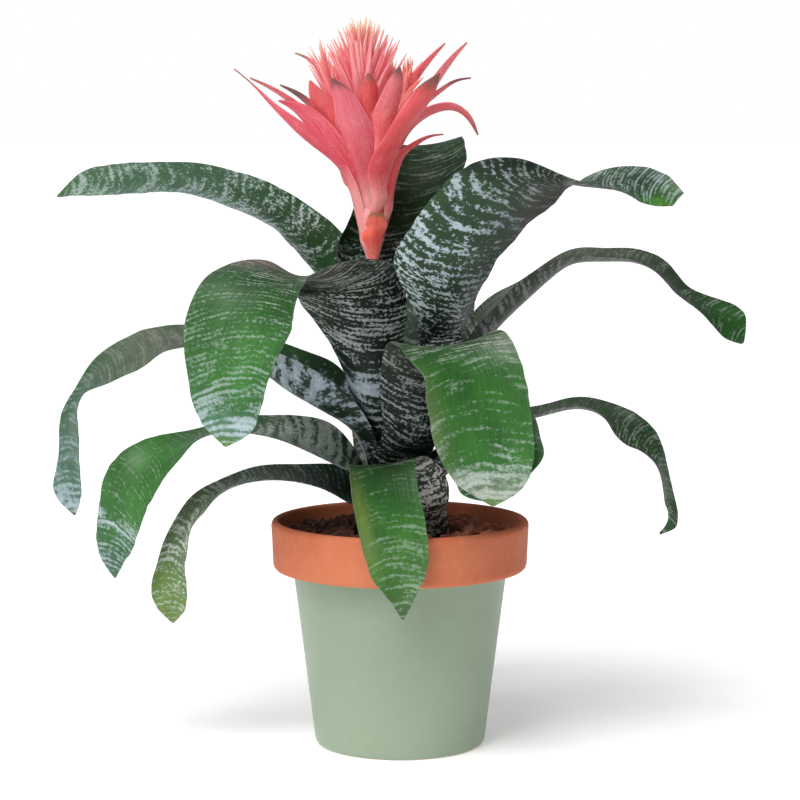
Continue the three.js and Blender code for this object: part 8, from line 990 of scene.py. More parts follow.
def spike_material():
    """look holds (0..1 along the small bract, tone, redness), leafco z the yellow of its tip."""
    T = Tree("floral_bracts")
    s, t, tipy = T.split(T.attr("leafco"))
    u, tone, red = T.split(T.attr("look"))
    stri = T.noise(T.join(T.m("MULTIPLY", s, 60.0), T.m("MULTIPLY", t, 2600.0), T.m("MULTIPLY", tone, 40.0)), 1.0, 2.0, 0.6)
    grain = T.noise(T.obj(), 900.0, 2.0, 0.6)
    c = T.ramp(u, [(0.0, lin(214, 60, 72)), (0.35, lin(236, 108, 122)), (0.68, lin(242, 136, 148)), (0.9, lin(246, 162, 166)), (1.0, lin(232, 152, 146))])
    c = T.mix(T.m("MULTIPLY", red, 0.85), c, T.ramp(u, [(0.0, lin(218, 60, 40)), (0.5, lin(236, 96, 72)), (0.85, lin(242, 132, 106)), (1.0, lin(236, 148, 110))]))
    c = T.mix(T.m("MULTIPLY", T.m("SUBTRACT", stri, 0.5, clamp=True), 1.5), c, lin(250, 196, 196))
    c = T.mix(T.m("MULTIPLY", T.m("SUBTRACT", 0.5, stri, clamp=True), 1.1), c, lin(190, 40, 56))
    c = T.mix(T.m("MULTIPLY", T.m("SUBTRACT", tone, 0.4, clamp=True), 0.6), c, lin(246, 160, 164))
    c = T.mix(T.m("MULTIPLY", T.m("SUBTRACT", 0.45, tone, clamp=True), T.span(u, 0.3, 1.0, 1.5, 0.5)), c, lin(208, 58, 78))
    edge = T.span(T.m("ABSOLUTE", t), 0.0012, 0.0034)
    c = T.mix(T.m("MULTIPLY", edge, 0.55), c, lin(252, 196, 192))
    c = T.mix(T.m("MULTIPLY", tipy, T.span(u, 0.7, 1.0)), c, lin(240, 214, 160))
    rough = T.m("ADD", 0.45, T.m("MULTIPLY", T.m("SUBTRACT", grain, 0.5), 0.25))
    # the small bracts carry a weak emission, painted light that makes them glow though they are no lamp
    return T.finish(Base_Color=c, Roughness=rough, Normal=T.bump(stri, 0.5, 0.0005), Specular_IOR_Level=0.32, Subsurface_Weight=0.1, Subsurface_Radius=(0.003, 0.0012, 0.0008), Subsurface_Scale=0.5, Emission_Color=c, Emission_Strength=0.11)


def clay_material():
    T = Tree("bare_clay")
    p = T.obj()
    big = T.noise(p, 16.0, 4.0, 0.6)
    mid = T.noise(p, 90.0, 4.0, 0.65)
    fine = T.noise(p, 900.0, 3.0, 0.7)
    x, y, z = T.split(p)
    turn = T.noise(T.join(T.m("MULTIPLY", x, 6.0), T.m("MULTIPLY", y, 6.0), T.m("MULTIPLY", z, 700.0)), 1.0, 2.0, 0.5)
    c = T.mix(T.span(big, 0.3, 0.7), lin(192, 100, 66), lin(208, 122, 86))
    c = T.mix(T.m("MULTIPLY", T.span(mid, 0.5, 0.8), 0.35), c, lin(218, 146, 112))
    c = T.mix(T.m("MULTIPLY", T.span(fine, 0.62, 0.8), 0.45), c, lin(150, 74, 48))
    rough = T.m("ADD", 0.68, T.m("MULTIPLY", T.m("SUBTRACT", mid, 0.5), 0.3))
    h = T.m("ADD", T.m("MULTIPLY", fine, 0.5), T.m("MULTIPLY", turn, 0.5))
    return T.finish(Base_Color=c, Roughness=rough, Normal=T.bump(h, 0.25, 0.0005), Specular_IOR_Level=0.3)


def paint_material():
    T = Tree("sage_paint")
    p = T.obj()
    big = T.noise(p, 11.0, 3.0, 0.55)
    mid = T.noise(p, 140.0, 3.0, 0.6)
    x, y, z = T.split(p)
    turn = T.noise(T.join(T.m("MULTIPLY", x, 5.0), T.m("MULTIPLY", y, 5.0), T.m("MULTIPLY", z, 420.0)), 1.0, 2.0, 0.5)
    c = T.mix(T.span(big, 0.3, 0.7), lin(138, 156, 131), lin(148, 165, 142))
    c = T.mix(T.m("MULTIPLY", T.span(mid, 0.55, 0.85), 0.25), c, lin(168, 184, 162))
    rough = T.m("ADD", 0.40, T.m("MULTIPLY", T.m("SUBTRACT", big, 0.5), 0.25))
    h = T.m("ADD", T.m("MULTIPLY", mid, 0.4), T.m("MULTIPLY", turn, 0.6))
    return T.finish(Base_Color=c, Roughness=rough, Normal=T.bump(h, 0.12, 0.0005), Specular_IOR_Level=0.45)


def bark_material():
    """look holds (tone, redness, 0) of each chip; tone and redness also carry painted light and shade, the chips on the
    left darker as if shaded by the rim and those on the right lighter and redder as if lit.
    """
    T = Tree("bark_mix")
    tone, red, w = T.split(T.attr("look"))
    p = T.obj()
    x, y, z = T.split(p)
    n = T.noise(p, 420.0, 4.0, 0.65)
    fibre = T.noise(T.join(T.m("MULTIPLY", x, 900.0), T.m("MULTIPLY", y, 260.0), T.m("MULTIPLY", z, 500.0)), 1.0, 3.0, 0.6)
    c = T.mix(T.m("ADD", T.m("MULTIPLY", tone, 0.85), T.m("MULTIPLY", n, 0.15)), lin(24, 15, 12), lin(236, 160, 130))
    c = T.mix(T.m("MULTIPLY", red, T.span(n, 0.3, 0.7, 0.5, 1.0)), c, lin(140, 66, 44))
    c = T.mix(T.m("MULTIPLY", T.span(fibre, 0.55, 0.8), 0.4), c, lin(150, 112, 88))
    return T.finish(Base_Color=c, Roughness=T.m("ADD", 0.75, T.m("MULTIPLY", n, 0.2)), Normal=T.bump(T.m("ADD", n, fibre), 0.6, 0.0012), Specular_IOR_Level=0.25)


def plain_plant(name, a, b, scale=160.0):
    T = Tree(name)
    p = T.obj()
    x, y, z = T.split(p)
    n = T.noise(p, scale, 3.0, 0.6)
    f = T.noise(T.join(T.m("MULTIPLY", x, 1200.0), T.m("MULTIPLY", y, 1200.0), T.m("MULTIPLY", z, 40.0)), 1.0, 2.0, 0.5)
    c = T.mix(T.m("ADD", T.m("MULTIPLY", n, 0.6), T.m("MULTIPLY", f, 0.4)), lin(*a), lin(*b))
    return T.finish(Base_Color=c, Roughness=T.m("ADD", 0.5, T.m("MULTIPLY", n, 0.2)), Normal=T.bump(T.m("ADD", n, f), 0.4, 0.0006))


# ---------------------------------------------------------------- leaves
# Rows along each leaf, from base to tip, for its inner (upper) and outer (under) face:
# (place, brightness of the green, cover of silver scales, greyish bloom and painted sheen, band spacing in
# mm, opacity of the scales, blue tint, loose flecks, pinkish grey, yellow).
# The low green, cover and scale opacity at the leaf bases deep in the rosette, and on leaves
# lying under others, are painted shade.
LOOKS = {
    "leaf_front_left": dict(
        grain=(42.0, 0.06, 0.24), skew=.34, under=[(0, -.1, .5, .0, 6, .62, .3, .3, .1, 0), (.2, -.1, .5, .0, 6, .62, .3, .3, .1, 0), (.27, -.05, .5, .05, 6, .7, .7, .3, 0, 0), (.30, .0, .86, .15, 7, .8, 1, .25, 0, 0),
               (.322, .0, .75, .1, 6, .75, .9, .4, 0, 0), (.338, -.1, .2, .0, 5, .6, .5, .5, 0, 0), (.36, -.15, .42, .0, 3.8, .66, .3, .5, 0, 0), (.40, -.1, .52, .0, 3.6, .7, .15, .6, 0, 0), (.47, -.02, .5, .0, 3.1, .66, .1, .8, 0, 0), (.52, .0, .42, .02, 2.9, .58, .1, .7, .1, 0), (.6, .1, .5, .2, 3.2, .45, 0, .3, .8, 0), (1, .3, .5, .4, 4, .5, .2, .3, .5, 0)],
        upper=[(0, .1, .4, .2, 5, .6, .3, .3, 0, 0), (.55, .15, .5, .3, 3, .35, 0, .15, 1, 0), (.63, .18, .5, .15, 2.8, .38, 0, .2, .7, 0), (.68, .26, .46, .03, 2.5, .38, .2, .4, .1, 0), (.72, .4, .3, .0, 2.8, .34, .2, .5, 0, 0), (.8, .62, .38, .03, 3.2, .34, .3, .5, 0, 0), (.87, .7, .5, .06, 3.5, .38, .4, .4, 0, 0), (.92, .66, .58, .15, 4.2, .5, .7, .35, 0, 0), (.955, .6, .78, .7, 5, .66, .8, .2, 0, 0), (.985, .7, .5, .2, 6, .55, .6, .2, 0, .2), (1, .8, .3, .05, 6, .5, .4, .2, 0, .5)],
        # the first upper spot paints the pinkish-grey sheen of reflected light on the crest of the fold
        spots=[("upper", .655, .075, 1.05, .42, dict(bloom_and_sheen=.95, pink=1, g=-.3, opac=-.2)), ("upper", .84, .1, -.2, .5, dict(g=.08)), ("upper", .95, .06, -.7, .5, dict(cover=.15, blue=.2)), ("under", .5, .08, .8, .4, dict(bloom_and_sheen=.3, pink=.4))]),
    "leaf_front_right": dict(
        skew=.12, under=[(0, -.15, .45, .0, 5.0, .5, .35, .6, 0, 0), (.35, -.15, .45, .0, 4.6, .5, .3, .6, 0, 0), (.45, -.1, .46, .0, 3.6, .46, .2, .6, 0, 0), (.6, .15, .5, .3, 3, .45, .0, .2, .8, 0), (1, .3, .5, .4, 4, .5, .2, .3, .5, 0)],
        upper=[(0, .1, .4, .2, 5, .6, .3, .3, 0, 0), (.5, .2, .5, .2, 2.4, .36, .0, .15, .7, 0), (.57, .28, .55, .2, 2.6, .5, .0, .2, .6, 0), (.615, .48, .46, .08, 3.0, .42, .1, .3, .2, 0), (.66, .62, .34, .0, 4.2, .36, .1, .3, 0, 0), (.74, .64, .24, .0, 4.8, .3, .2, .35, 0, 0), (.82, .66, .28, .02, 5.0, .36, .2, .5, 0, 0), (.88, .72, .42, .06, 5.5, .46, .3, .5, 0, 0), (.925, .78, .82, .9, 6, .7, .1, .4, .2, .15), (.965, .88, .88, 1, 6, .74, .0, .3, .3, .2), (.985, .85, .4, .2, 6, .5, .2, .3, 0, .4), (1, .85, .3, .1, 6, .5, .2, .3, 0, .4)],
        spots=[("upper", .8, .14, 1, .35, dict(bloom_and_sheen=.15, yellow=.3)), ("upper", .64, .05, -.9, .5, dict(bloom_and_sheen=.3, pink=.5, cover=.15))]),
    "leaf_front_lowest": dict(
        skew=.1, under=[(0, -.05, .66, .05, 5, .85, .0, 1, .35, 0), (.35, -.05, .64, .05, 5, .85, .0, 1, .35, 0), (.45, .2, .5, .3, 3, .5, .0, .4, .7, 0), (1, .3, .5, .4, 4, .5, .2, .3, .5, 0)],
        upper=[(0, .1, .4, .1, 5, .6, .2, .3, 0, 0), (.42, .15, .5, .12, 2.4, .35, .0, .1, .3, 0), (.48, .2, .35, .0, 2.8, .22, .0, .1, 0, 0), (.56, .42, .12, .0, 3.4, .22, .1, .3, 0, 0), (.66, .62, .2, .0, 3.4, .24, .1, .35, 0, 0), (.75, .7, .34, .0, 3.4, .28, .1, .4, 0, .05), (.88, .74, .48, .04, 3.4, .34, .2, .45, 0, .08), (.96, .6, .45, .1, 4, .45, .2, .3, 0, .1), (1, .45, .4, .15, 4, .35, .2, .2, 0, .1)],
        spots=[("upper", .68, .16, .85, .3, dict(yellow=.6, g=.1, cover=-.2)), ("upper", .8, .2, -.6, .6, dict(cover=.15))]),
    "leaf_right_upper": dict(
        grain=(66.0, .075),
        under=[(0, -.1, .45, .05, 6, .7, .5, .5, 0, 0), (.3, -.1, .48, .0, 4.5, .8, .3, 1, 0, 0), (.42, .05, .46, .02, 4.5, .82, .5, 1, 0, 0), (.5, .2, .5, .04, 4.6, .74, .7, 1, 0, 0), (.57, .34, .44, .05, 5.5, .74, .85, .9, 0, 0), (.62, .46, .38, .05, 7, .76, .9, .7, 0, 0), (.68, .44, .36, .05, 7.5, .72, .9, .6, 0, 0), (.72, .22, .34, .02, 5, .6, .7, .5, .1, 0), (.78, .06, .4, .06, 2.8, .34, .3, .4, .4, 0), (.85, .05, .45, .15, 2.6, .36, .2, .3, .4, 0), (1, .3, .5, .3, 3, .5, .3, .2, .2, 0)],
        upper=[(0, .2, .5, .2, 6, .8, .6, .5, 0, 0), (.8, .05, .5, .22, 2.4, .42, .4, .3, .3, 0), (.88, .15, .5, .15, 2.2, .46, .5, .3, .1, 0), (.94, .22, .5, .1, 2.2, .5, .6, .3, 0, 0), (1, .5, .4, .1, 4, .5, .4, .2, 0, .1)],
        spots=[("under", .56, .2, -1, .75, dict(cover=-.1, bloom_and_sheen=.12, opac=-.5, pink=.6, g=-.25)), ("under", .7, .09, -.9, .9, dict(cover=-.05, opac=-.35, pink=.5, g=-.25, bloom_and_sheen=.08)), ("under", .62, .12, .75, .35, dict(cover=.16)), ("under", .5, .08, .8, .35, dict(cover=.12)), ("under", .74, .07, -.4, .7, dict(bloom_and_sheen=.12, pink=.3)), ("upper", .965, .04, .8, .6, dict(g=.75, cover=-.25, bloom_and_sheen=-.25)), ("upper", .9, .1, -1, .6, dict(bloom_and_sheen=.1))]),
    "leaf_left_upper": dict(
        upper=[(0, .2, .45, .1, 5, .7, .4, .7, 0, 0), (.45, .24, .42, .05, 5.5, .75, .4, .85, 0, 0), (.6, .32, .46, .08, 5.5, .75, .5, .9, 0, 0), (.72, .38, .46, .24, 5.5, .5, .5, .8, 0, 0), (.82, .42, .48, .3, 5.5, .42, .5, .7, 0, 0), (.93, .46, .52, .25, 5.5, .5, .4, .5, 0, 0), (1, .5, .5, .2, 6, .5, .3, .3, 0, 0)],
        under=[(0, .1, .6, .35, 5, .7, .4, .4, 0, 0), (.5, .3, .6, .5, 5, .7, .5, .4, 0, 0), (1, .4, .6, .5, 5, .6, .4, .3, 0, 0)],
        spots=[("upper", .62, .2, -1, .55, dict(cover=.4, bloom_and_sheen=.75, blue=.2, opac=-.1)), ("upper", .9, .12, -.9, .5, dict(cover=.1, bloom_and_sheen=.3)), ("upper", .5, .06, .4, 1.2, dict(g=.1, cover=-.12))]),
    "leaf_left_middle": dict(
        upper=[(0, .0, .4, .0, 8, .8, .7, .4, 0, 0), (.15, .02, .45, .0, 8, .85, .9, .4, 0, 0), (.24, .02, .5, .0, 9, .85, 1, .5, 0, 0), (.33, .15, .64, .03, 10, .88, 1, .45, 0, 0), (.40, .25, .6, .03, 12, .88, 1, .35, 0, 0), (.44, .22, .4, .05, 8, .8, .9, .3, 0, 0), (.52, .2, .45, .35, 3, .22, .2, .3, .5, 0), (.62, .22, .45, .5, 2.6, .13, .0, .25, .6, 0), (.72, .26, .45, .42, 2.8, .15, .1, .25, .4, 0), (.78, .36, .45, .34, 3.4, .24, .6, .4, 0, 0), (.9, .42, .5, .36, 3.8, .3, .9, .5, 0, 0), (.96, .4, .68, .4, 4.5, .5, 1, .3, 0, 0), (1, .4, .75, .45, 5, .6, 1, .2, 0, 0)],
        under=[(0, .0, .4, .0, 8, .8, .7, .4, 0, 0), (.3, .2, .55, .05, 10, .9, 1, .4, 0, 0), (1, .4, .5, .5, 5, .6, .6, .3, 0, 0)],
        spots=[("upper", .38, .16, 1, .28, dict(cover=-.6, g=.02)), ("upper", .76, .06, .8, .5, dict(bloom_and_sheen=-.3, g=.05))]),
    "leaf_left_lower": dict(
        upper=[(0, .0, .4, .05, 6, .6, .2, .3, 0, 0), (.2, .0, .6, .1, 8, .8, .2, .4, .2, 0), (.28, .3, .84, .5, 7, 1, .2, .4, .15, 0), (.36, .4, .8, .5, 7, 1, .1, .55, .15, 0), (.44, .5, .76, .4, 7, .95, .1, .5, .3, 0), (.49, .42, .6, .25, 6, .6, .1, .5, .5, 0), (.54, .45, .45, .2, 4, .4, .1, .3, .5, 0), (.6, .55, .35, .1, 3.0, .24, .1, .3, .3, 0), (.68, .68, .24, .02, 3.0, .22, .1, .4, 0, 0), (.8, .72, .28, .03, 3.0, .25, .2, .5, 0, 0), (.855, .68, .34, .04, 3.4, .36, .6, .45, 0, 0), (.88, .6, .84, .15, 3.4, .7, .8, .2, 0, 0), (.9, .6, .45, .1, 3.0, .42, .7, .5, 0, 0), (.95, .55, .6, .2, 3.0, .46, .9, .5, 0, 0), (1, .6, .5, .2, 6, .6, .8, .3, 0, 0)],
        under=[(0, -.1, .5, .05, 6, .6, .3, .4, .2, 0), (.3, .1, .6, .2, 8, .7, .3, .4, .2, 0), (1, .4, .5, .4, 5, .5, .3, .3, .3, 0)],
        spots=[("upper", .42, .08, .8, .5, dict(g=.1, cover=-.2)), ("upper", .95, .05, 1, .6, dict(cover=.2, blue=.2))]),
    "leaf_left_lowest": dict(
        upper=[(0, .0, .4, .05, 6, .5, .3, .3, 0, 0), (.25, .05, .45, .1, 4, .5, .4, .5, .1, 0), (.36, .15, .55, .2, 3.6, .55, .3, .5, .2, 0), (.48, .35, .62, .25, 3.6, .65, .1, .5, .3, 0), (.55, .34, .64, .08, 4, .66, .0, .5, .25, .05), (.66, .42, .62, .05, 4.6, .7, .0, .5, .2, .1), (.78, .46, .66, .04, 4.6, .74, .0, .5, .1, .16), (.86, .66, .5, .1, 4.0, .65, .0, .6, .0, .35), (.94, .7, .5, .08, 3.6, .6, .0, .6, .0, .45), (1, .7, .34, .05, 3.6, .5, 0, .5, 0, .6)],
        under=[(0, -.05, .5, .05, 6, .5, .4, .4, 0, 0), (.3, .1, .5, .25, 5, .5, .4, .3, .2, 0), (1, .4, .5, .4, 5, .5, .2, .3, .3, 0)],
        spots=[("upper", .65, .15, .9, .4, dict(g=.1, cover=-.1))]),
    "leaf_right_middle": dict(
        upper=[(0, -.15, .5, .0, 5, .6, .3, .7, .1, 0), (.33, -.1, .5, .0, 4, .55, .2, .9, .2, 0), (.42, .0, .45, .03, 3, .3, .1, .6, .5, 0), (.5, .04, .42, .1, 2.4, .18, .0, .4, .6, 0), (.68, .06, .42, .16, 2.4, .16, .0, .3, .6, 0), (.8, .1, .42, .16, 2.4, .2, .1, .3, .4, 0), (.86, .2, .42, .05, 3, .28, .1, .3, .2, 0), (.91, .38, .36, .0, 3.4, .28, .1, .3, 0, 0), (1, .44, .3, .0, 4, .28, .1, .3, 0, 0)],
        under=[(0, -.1, .5, .05, 6, .6, .3, .6, .2, 0), (.4, .0, .5, .1, 5, .3, .2, .5, .4, 0), (1, .3, .4, .3, 4, .3, .1, .2, .5, 0)],
        spots=[("upper", .45, .12, .9, .35, dict(bloom_and_sheen=-.3, cover=-.3, g=-.1)), ("upper", .62, .15, -.8, .5, dict(bloom_and_sheen=.2)), ("upper", .83, .05, .7, .5, dict(bloom_and_sheen=.3))]),
    "leaf_right_lower": dict(
        upper=[(0, -.1, .5, .05, 6, .6, .3, .5, .2, 0), (.4, .05, .45, .12, 3, .3, .1, .4, .5, 0), (.55, .18, .42, .15, 2.4, .26, .0, .3, .5, 0), (.63, .2, .42, .12, 2.8, .3, .0, .4, .4, 0), (.75, .2, .46, .06, 3.0, .36, .1, .5, .2, 0), (.86, .26, .48, .08, 3.0, .36, .2, .5, .2, 0), (1, .34, .42, .1, 3.4, .36, .2, .3, .1, 0)],
        under=[(0, -.1, .5, .05, 6, .6, .3, .5, .2, 0), (.4, .0, .5, .2, 4, .4, .1, .3, .5, 0), (1, .2, .4, .3, 4, .4, .1, .2, .5, 0)],
        spots=[("upper", .67, .06, -.7, .5, dict(bloom_and_sheen=.35))]),
    "leaf_back_upper": dict(
        grain=(46.0, 0.055, 0.12),
        upper=[(0, -.1, .4, .0, 6, .6, .3, .5, 0, 0), (.35, -.05, .42, .0, 5, .6, .5, .6, 0, 0), (.44, -.02, .45, .0, 5, .6, .6, .5, 0, 0), (.5, .1, .4, .0, 4.6, .34, .4, .3, 0, 0), (.56, .12, .36, .0, 4.2, .24, .2, .2, .1, 0), (.65, .06, .42, .05, 3.0, .28, .1, .2, .2, 0), (.75, .06, .42, .05, 3.0, .22, .1, .2, .3, 0), (1, .5, .3, .1, 5, .4, .1, .2, 0, 0)],
        under=[(0, -.1, .45, .0, 6, .6, .4, .5, 0, 0), (.6, .24, .44, .05, 3.2, .3, .1, .2, .2, 0), (.78, .26, .46, .05, 3.0, .32, .1, .2, .2, 0), (1, .3, .45, .3, 5, .5, .3, .3, .1, 0)],
        spots=[]),
    "leaf_front_right_inner": dict(
        upper=[(0, .2, .4, .1, 5, .5, .3, .4, 0, 0), (.6, .5, .35, .1, 5, .5, .2, .3, 0, 0), (1, .7, .35, .1, 5, .5, .3, .3, 0, 0)],
        under=[(0, .0, .55, .1, 6, .7, .1, .8, .6, 0), (.4, .05, .5, .2, 5, .6, .2, .6, .4, 0), (.6, .2, .45, .4, 4, .5, .1, .3, .6, 0), (1, .4, .4, .4, 4, .4, .1, .3, .5, 0)],
        spots=[]),
}
for other in ("leaf_back_right", "leaf_back_left", "leaf_back_lower"):
    LOOKS[other] = dict(
        upper=[(0, .0, .45, .05, 6, .7, .4, .5, 0, 0), (.45, .3, .45, .1, 5, .6, .3, .4, .1, 0), (.7, .6, .4, .05, 4.8, .45, .2, .35, 0, 0), (.92, .65, .5, .15, 5, .6, .5, .3, 0, 0), (1, .6, .6, .2, 5, .7, .6, .2, 0, .1)],
        under=[(0, .0, .5, .05, 6, .75, .4, .4, .1, 0), (.4, .05, .5, .1, 4, .7, .3, .4, .2, 0), (.6, .2, .48, .3, 3.6, .5, .1, .3, .5, 0), (1, .35, .5, .35, 5, .55, .4, .3, .2, 0)],
        spots=[])
KEYS = ("g", "cover", "bloom_and_sheen", "period", "opac", "blue", "loose", "pink", "yellow")
GAUSS = NormalDist()


def leaf_looks(spec, face, us, vs, s, t, seed):
    """Attribute values on the grid for one face of a leaf."""
    rows = spec[face]
    x = [r[0] for r in rows]
    val = {k: np.interp(us, x, [r[i + 1] for r in rows])[:, None] * np.ones((1, len(vs))) for i, k in enumerate(KEYS)}
    for f, uc, ur, vc, vr, change in spec["spots"]:
        if f == face:
            w = np.exp(-((us[:, None] - uc) / ur) ** 2 * 1.6 - ((vs[None, :] - vc) / vr) ** 2 * 1.6)
            for k, d in change.items():
                val[k] = val[k] + d * w
    freq = 1000.0 / val["period"].mean(1)
    count = np.r_[0, np.cumsum((freq[1:] + freq[:-1]) / 2 * np.diff(s))]
    half = np.abs(t).max(1, keepdims=True)
    sag = (t / np.maximum(half, 1e-4)) ** 2 * half * 0.22 * freq[:, None]
    band = count[:, None] - sag - spec.get("skew", 0) * vs[None, :] * half * freq[:, None] + seed * 3.0
    cover = np.clip(val["cover"] * np.interp(val["cover"], [0, .5, .8], [.72, .78, 1]), .02, .97)
    spread = np.sqrt(0.085 ** 2 + 0.039 ** 2 + (0.1 * val["loose"]) ** 2)
    cut = 0.5 + np.vectorize(GAUSS.inv_cdf)(1 - cover) * spread
    c1 = lambda k: np.clip(val[k], 0, 1)
    look = np.stack([np.clip(val["g"], -.2, 1.2), cut, c1("bloom_and_sheen")], -1)
    bnd = np.stack([band, c1("opac"), c1("blue")], -1)
    flk = np.stack([np.clip(val["loose"], 0, 1), c1("pink"), c1("yellow")], -1)
    return look, bnd, flk


NU, NV = 150, 25
half_v = np.sin(np.linspace(-1, 1, NV) * np.pi / 2)
for i, (name, net) in enumerate(LEAVES.items()):
    us = np.linspace(0, 1, NU)
    G = surface(net, us, half_v)
    mid = G[:, NV // 2]
    step = np.linalg.norm(np.diff(G, axis=0), axis=2).mean(1)
    s = np.r_[0, np.cumsum(step)]
    across = np.linalg.norm(np.diff(G, axis=1), axis=2)
    t = np.concatenate([np.zeros((NU, 1)), np.cumsum(across, 1)], 1)
    t = t - t[:, NV // 2: NV // 2 + 1]
    width = across.sum(1)
    # slow waves of the free margins, none in the clasping base
    free = np.clip((s - 0.09) / 0.08, 0, 1) * np.clip((s[-1] - s) / 0.02, 0, 1)
    N = normals(G)
    for k, sgn in ((0, -1), (1, 1)):
        w = smooth_noise(NU, 0.016 / step.mean(), 50 + i * 2 + k) * 0.0008 * free
        edge = np.clip(sgn * half_v, 0, 1) ** 3
        G = G + N * (w[:, None] * edge[None, :])[..., None]
    # the margins waver in the plane of the blade too, and the tip is a little ragged
    for k, sgn in ((0, -1), (1, 1)):
        w = smooth_noise(NU, 0.011 / step.mean(), 150 + i * 2 + k) * 0.0007 + smooth_noise(NU, 0.004 / step.mean(), 250 + i * 2 + k) * 0.0003
        w = w * free * (1 + 1.3 * np.clip((us - .9) / .08, 0, 1))
        edge = np.clip(sgn * half_v, 0, 1) ** 2
        cross = G[:, -1] - G[:, 0]
        cross /= np.maximum(np.linalg.norm(cross, axis=1, keepdims=True), 1e-6)
        G = G + sgn * cross[:, None] * (w[:, None] * edge[None, :])[..., None]
    thick = 0.00026 + 0.00046 * (1 - np.abs(half_v) ** 2.2)[None, :] * np.clip(0.75 + 0.5 * (1 - us), 0, 1)[:, None]
    thick = np.broadcast_to(thick, (NU, NV)).copy()
    co = np.stack([np.broadcast_to(s[:, None], t.shape), t, np.broadcast_to(half_v[None], t.shape)], -1)
    lt = leaf_looks(LOOKS[name], "upper", us, half_v, s, t, 1.3 * i + 1)
    lu = leaf_looks(LOOKS[name], "under", us, half_v, s, t, 1.3 * i + 1.6)
    V, F, mi, co2, lk = blade_parts(G, thick, co, lt[0], lu[0])
    both = [np.concatenate([lt[k].reshape(-1, 3), lu[k].reshape(-1, 3)]) for k in (1, 2)]
    grain = LOOKS[name].get("grain", (46.0, 0.055))
    mats = [leaf_material(name + "_upper", 3.7 * i + 1.0, "upper", *grain), leaf_material(name + "_under", 3.7 * i + 2.0, "under", *grain)]
    ob = mesh_object(name + "_blade", V, F, mats, mi, {"leafco": co2, "look": lk, "band": both[0], "fleck": both[1]})
    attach(ob, "root")
    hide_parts(name)

# ---------------------------------------------------------------- bracts
# glow is painted light: a small emission that brightens a bract as if lit
BLOOK = {
    "scape_bract_front": dict(glow=.2, red=.08, bloom=0, tip=.88, body=(242, 108, 86), root=(240, 112, 92), tipcol=(128, 104, 60)),
    "scape_bract_left": dict(glow=.1, red=0, bloom=1, tip=.96, body=(238, 150, 150), root=(238, 160, 152)),
    "scape_bract_right": dict(red=.1, bloom=.3, tip=.96, body=(212, 84, 92), root=(214, 104, 100)),
    "bract_right_hooked": dict(red=.3, bloom=.25, tip=.9, body=(224, 78, 86)),
    "bract_left_long": dict(red=.1, bloom=.3, tip=.86, body=(232, 82, 102), tipcol=(150, 92, 92)),
    "bract_front_wide": dict(glow=.03, red=0, bloom=.38, tip=.88, body=(228, 98, 114), tipcol=(108, 74, 72)),
    "bract_front_right": dict(glow=.08, red=.25, bloom=.25, tip=.86, body=(234, 84, 90), tipcol=(112, 84, 70)),
    "bract_front_left": dict(red=.1, bloom=.3, tip=.94, body=(232, 78, 98)),
    "bract_left_back": dict(red=.1, bloom=.2, tip=.78, body=(214, 96, 102), tipcol=(104, 90, 86)),
    "bract_left_slender": dict(red=.1, bloom=.2, tip=.9, body=(230, 110, 118), tipcol=(150, 96, 92)),
    "bract_right_back": dict(red=.1, bloom=.2, tip=.84, body=(222, 104, 110), tipcol=(120, 84, 82)),
    "bract_right_drooping": dict(red=.1, bloom=.3, tip=.88, body=(232, 104, 112), tipcol=(150, 92, 84)),
    "bract_front_centre": dict(glow=.06, red=.8, bloom=.3, tip=.9, body=(232, 100, 104), tipcol=(140, 100, 88)),
    "bract_right_tall": dict(glow=.14, red=.15, bloom=.3, tip=.95, body=(232, 108, 116)),
    "bract_right_spike": dict(glow=.14, red=.3, bloom=.2, tip=.95, body=(232, 100, 106)),
    "flower_spike_right_foot_bract": dict(glow=.05, red=.1, bloom=.6, tip=.87, body=(226, 106, 112), tipcol=(112, 84, 76)),
    "flower_spike_left_foot_bract": dict(glow=.05, red=.25, bloom=.2, tip=.97, body=(226, 92, 96)),
    "bract_left_spike": dict(glow=.14, red=.2, bloom=.2, tip=.9, body=(230, 104, 110), tipcol=(150, 110, 100)),
}
BU, BV = 70, 13
blade_v, blade_f = [], []
bv = np.sin(np.linspace(-1, 1, BV) * np.pi / 2)
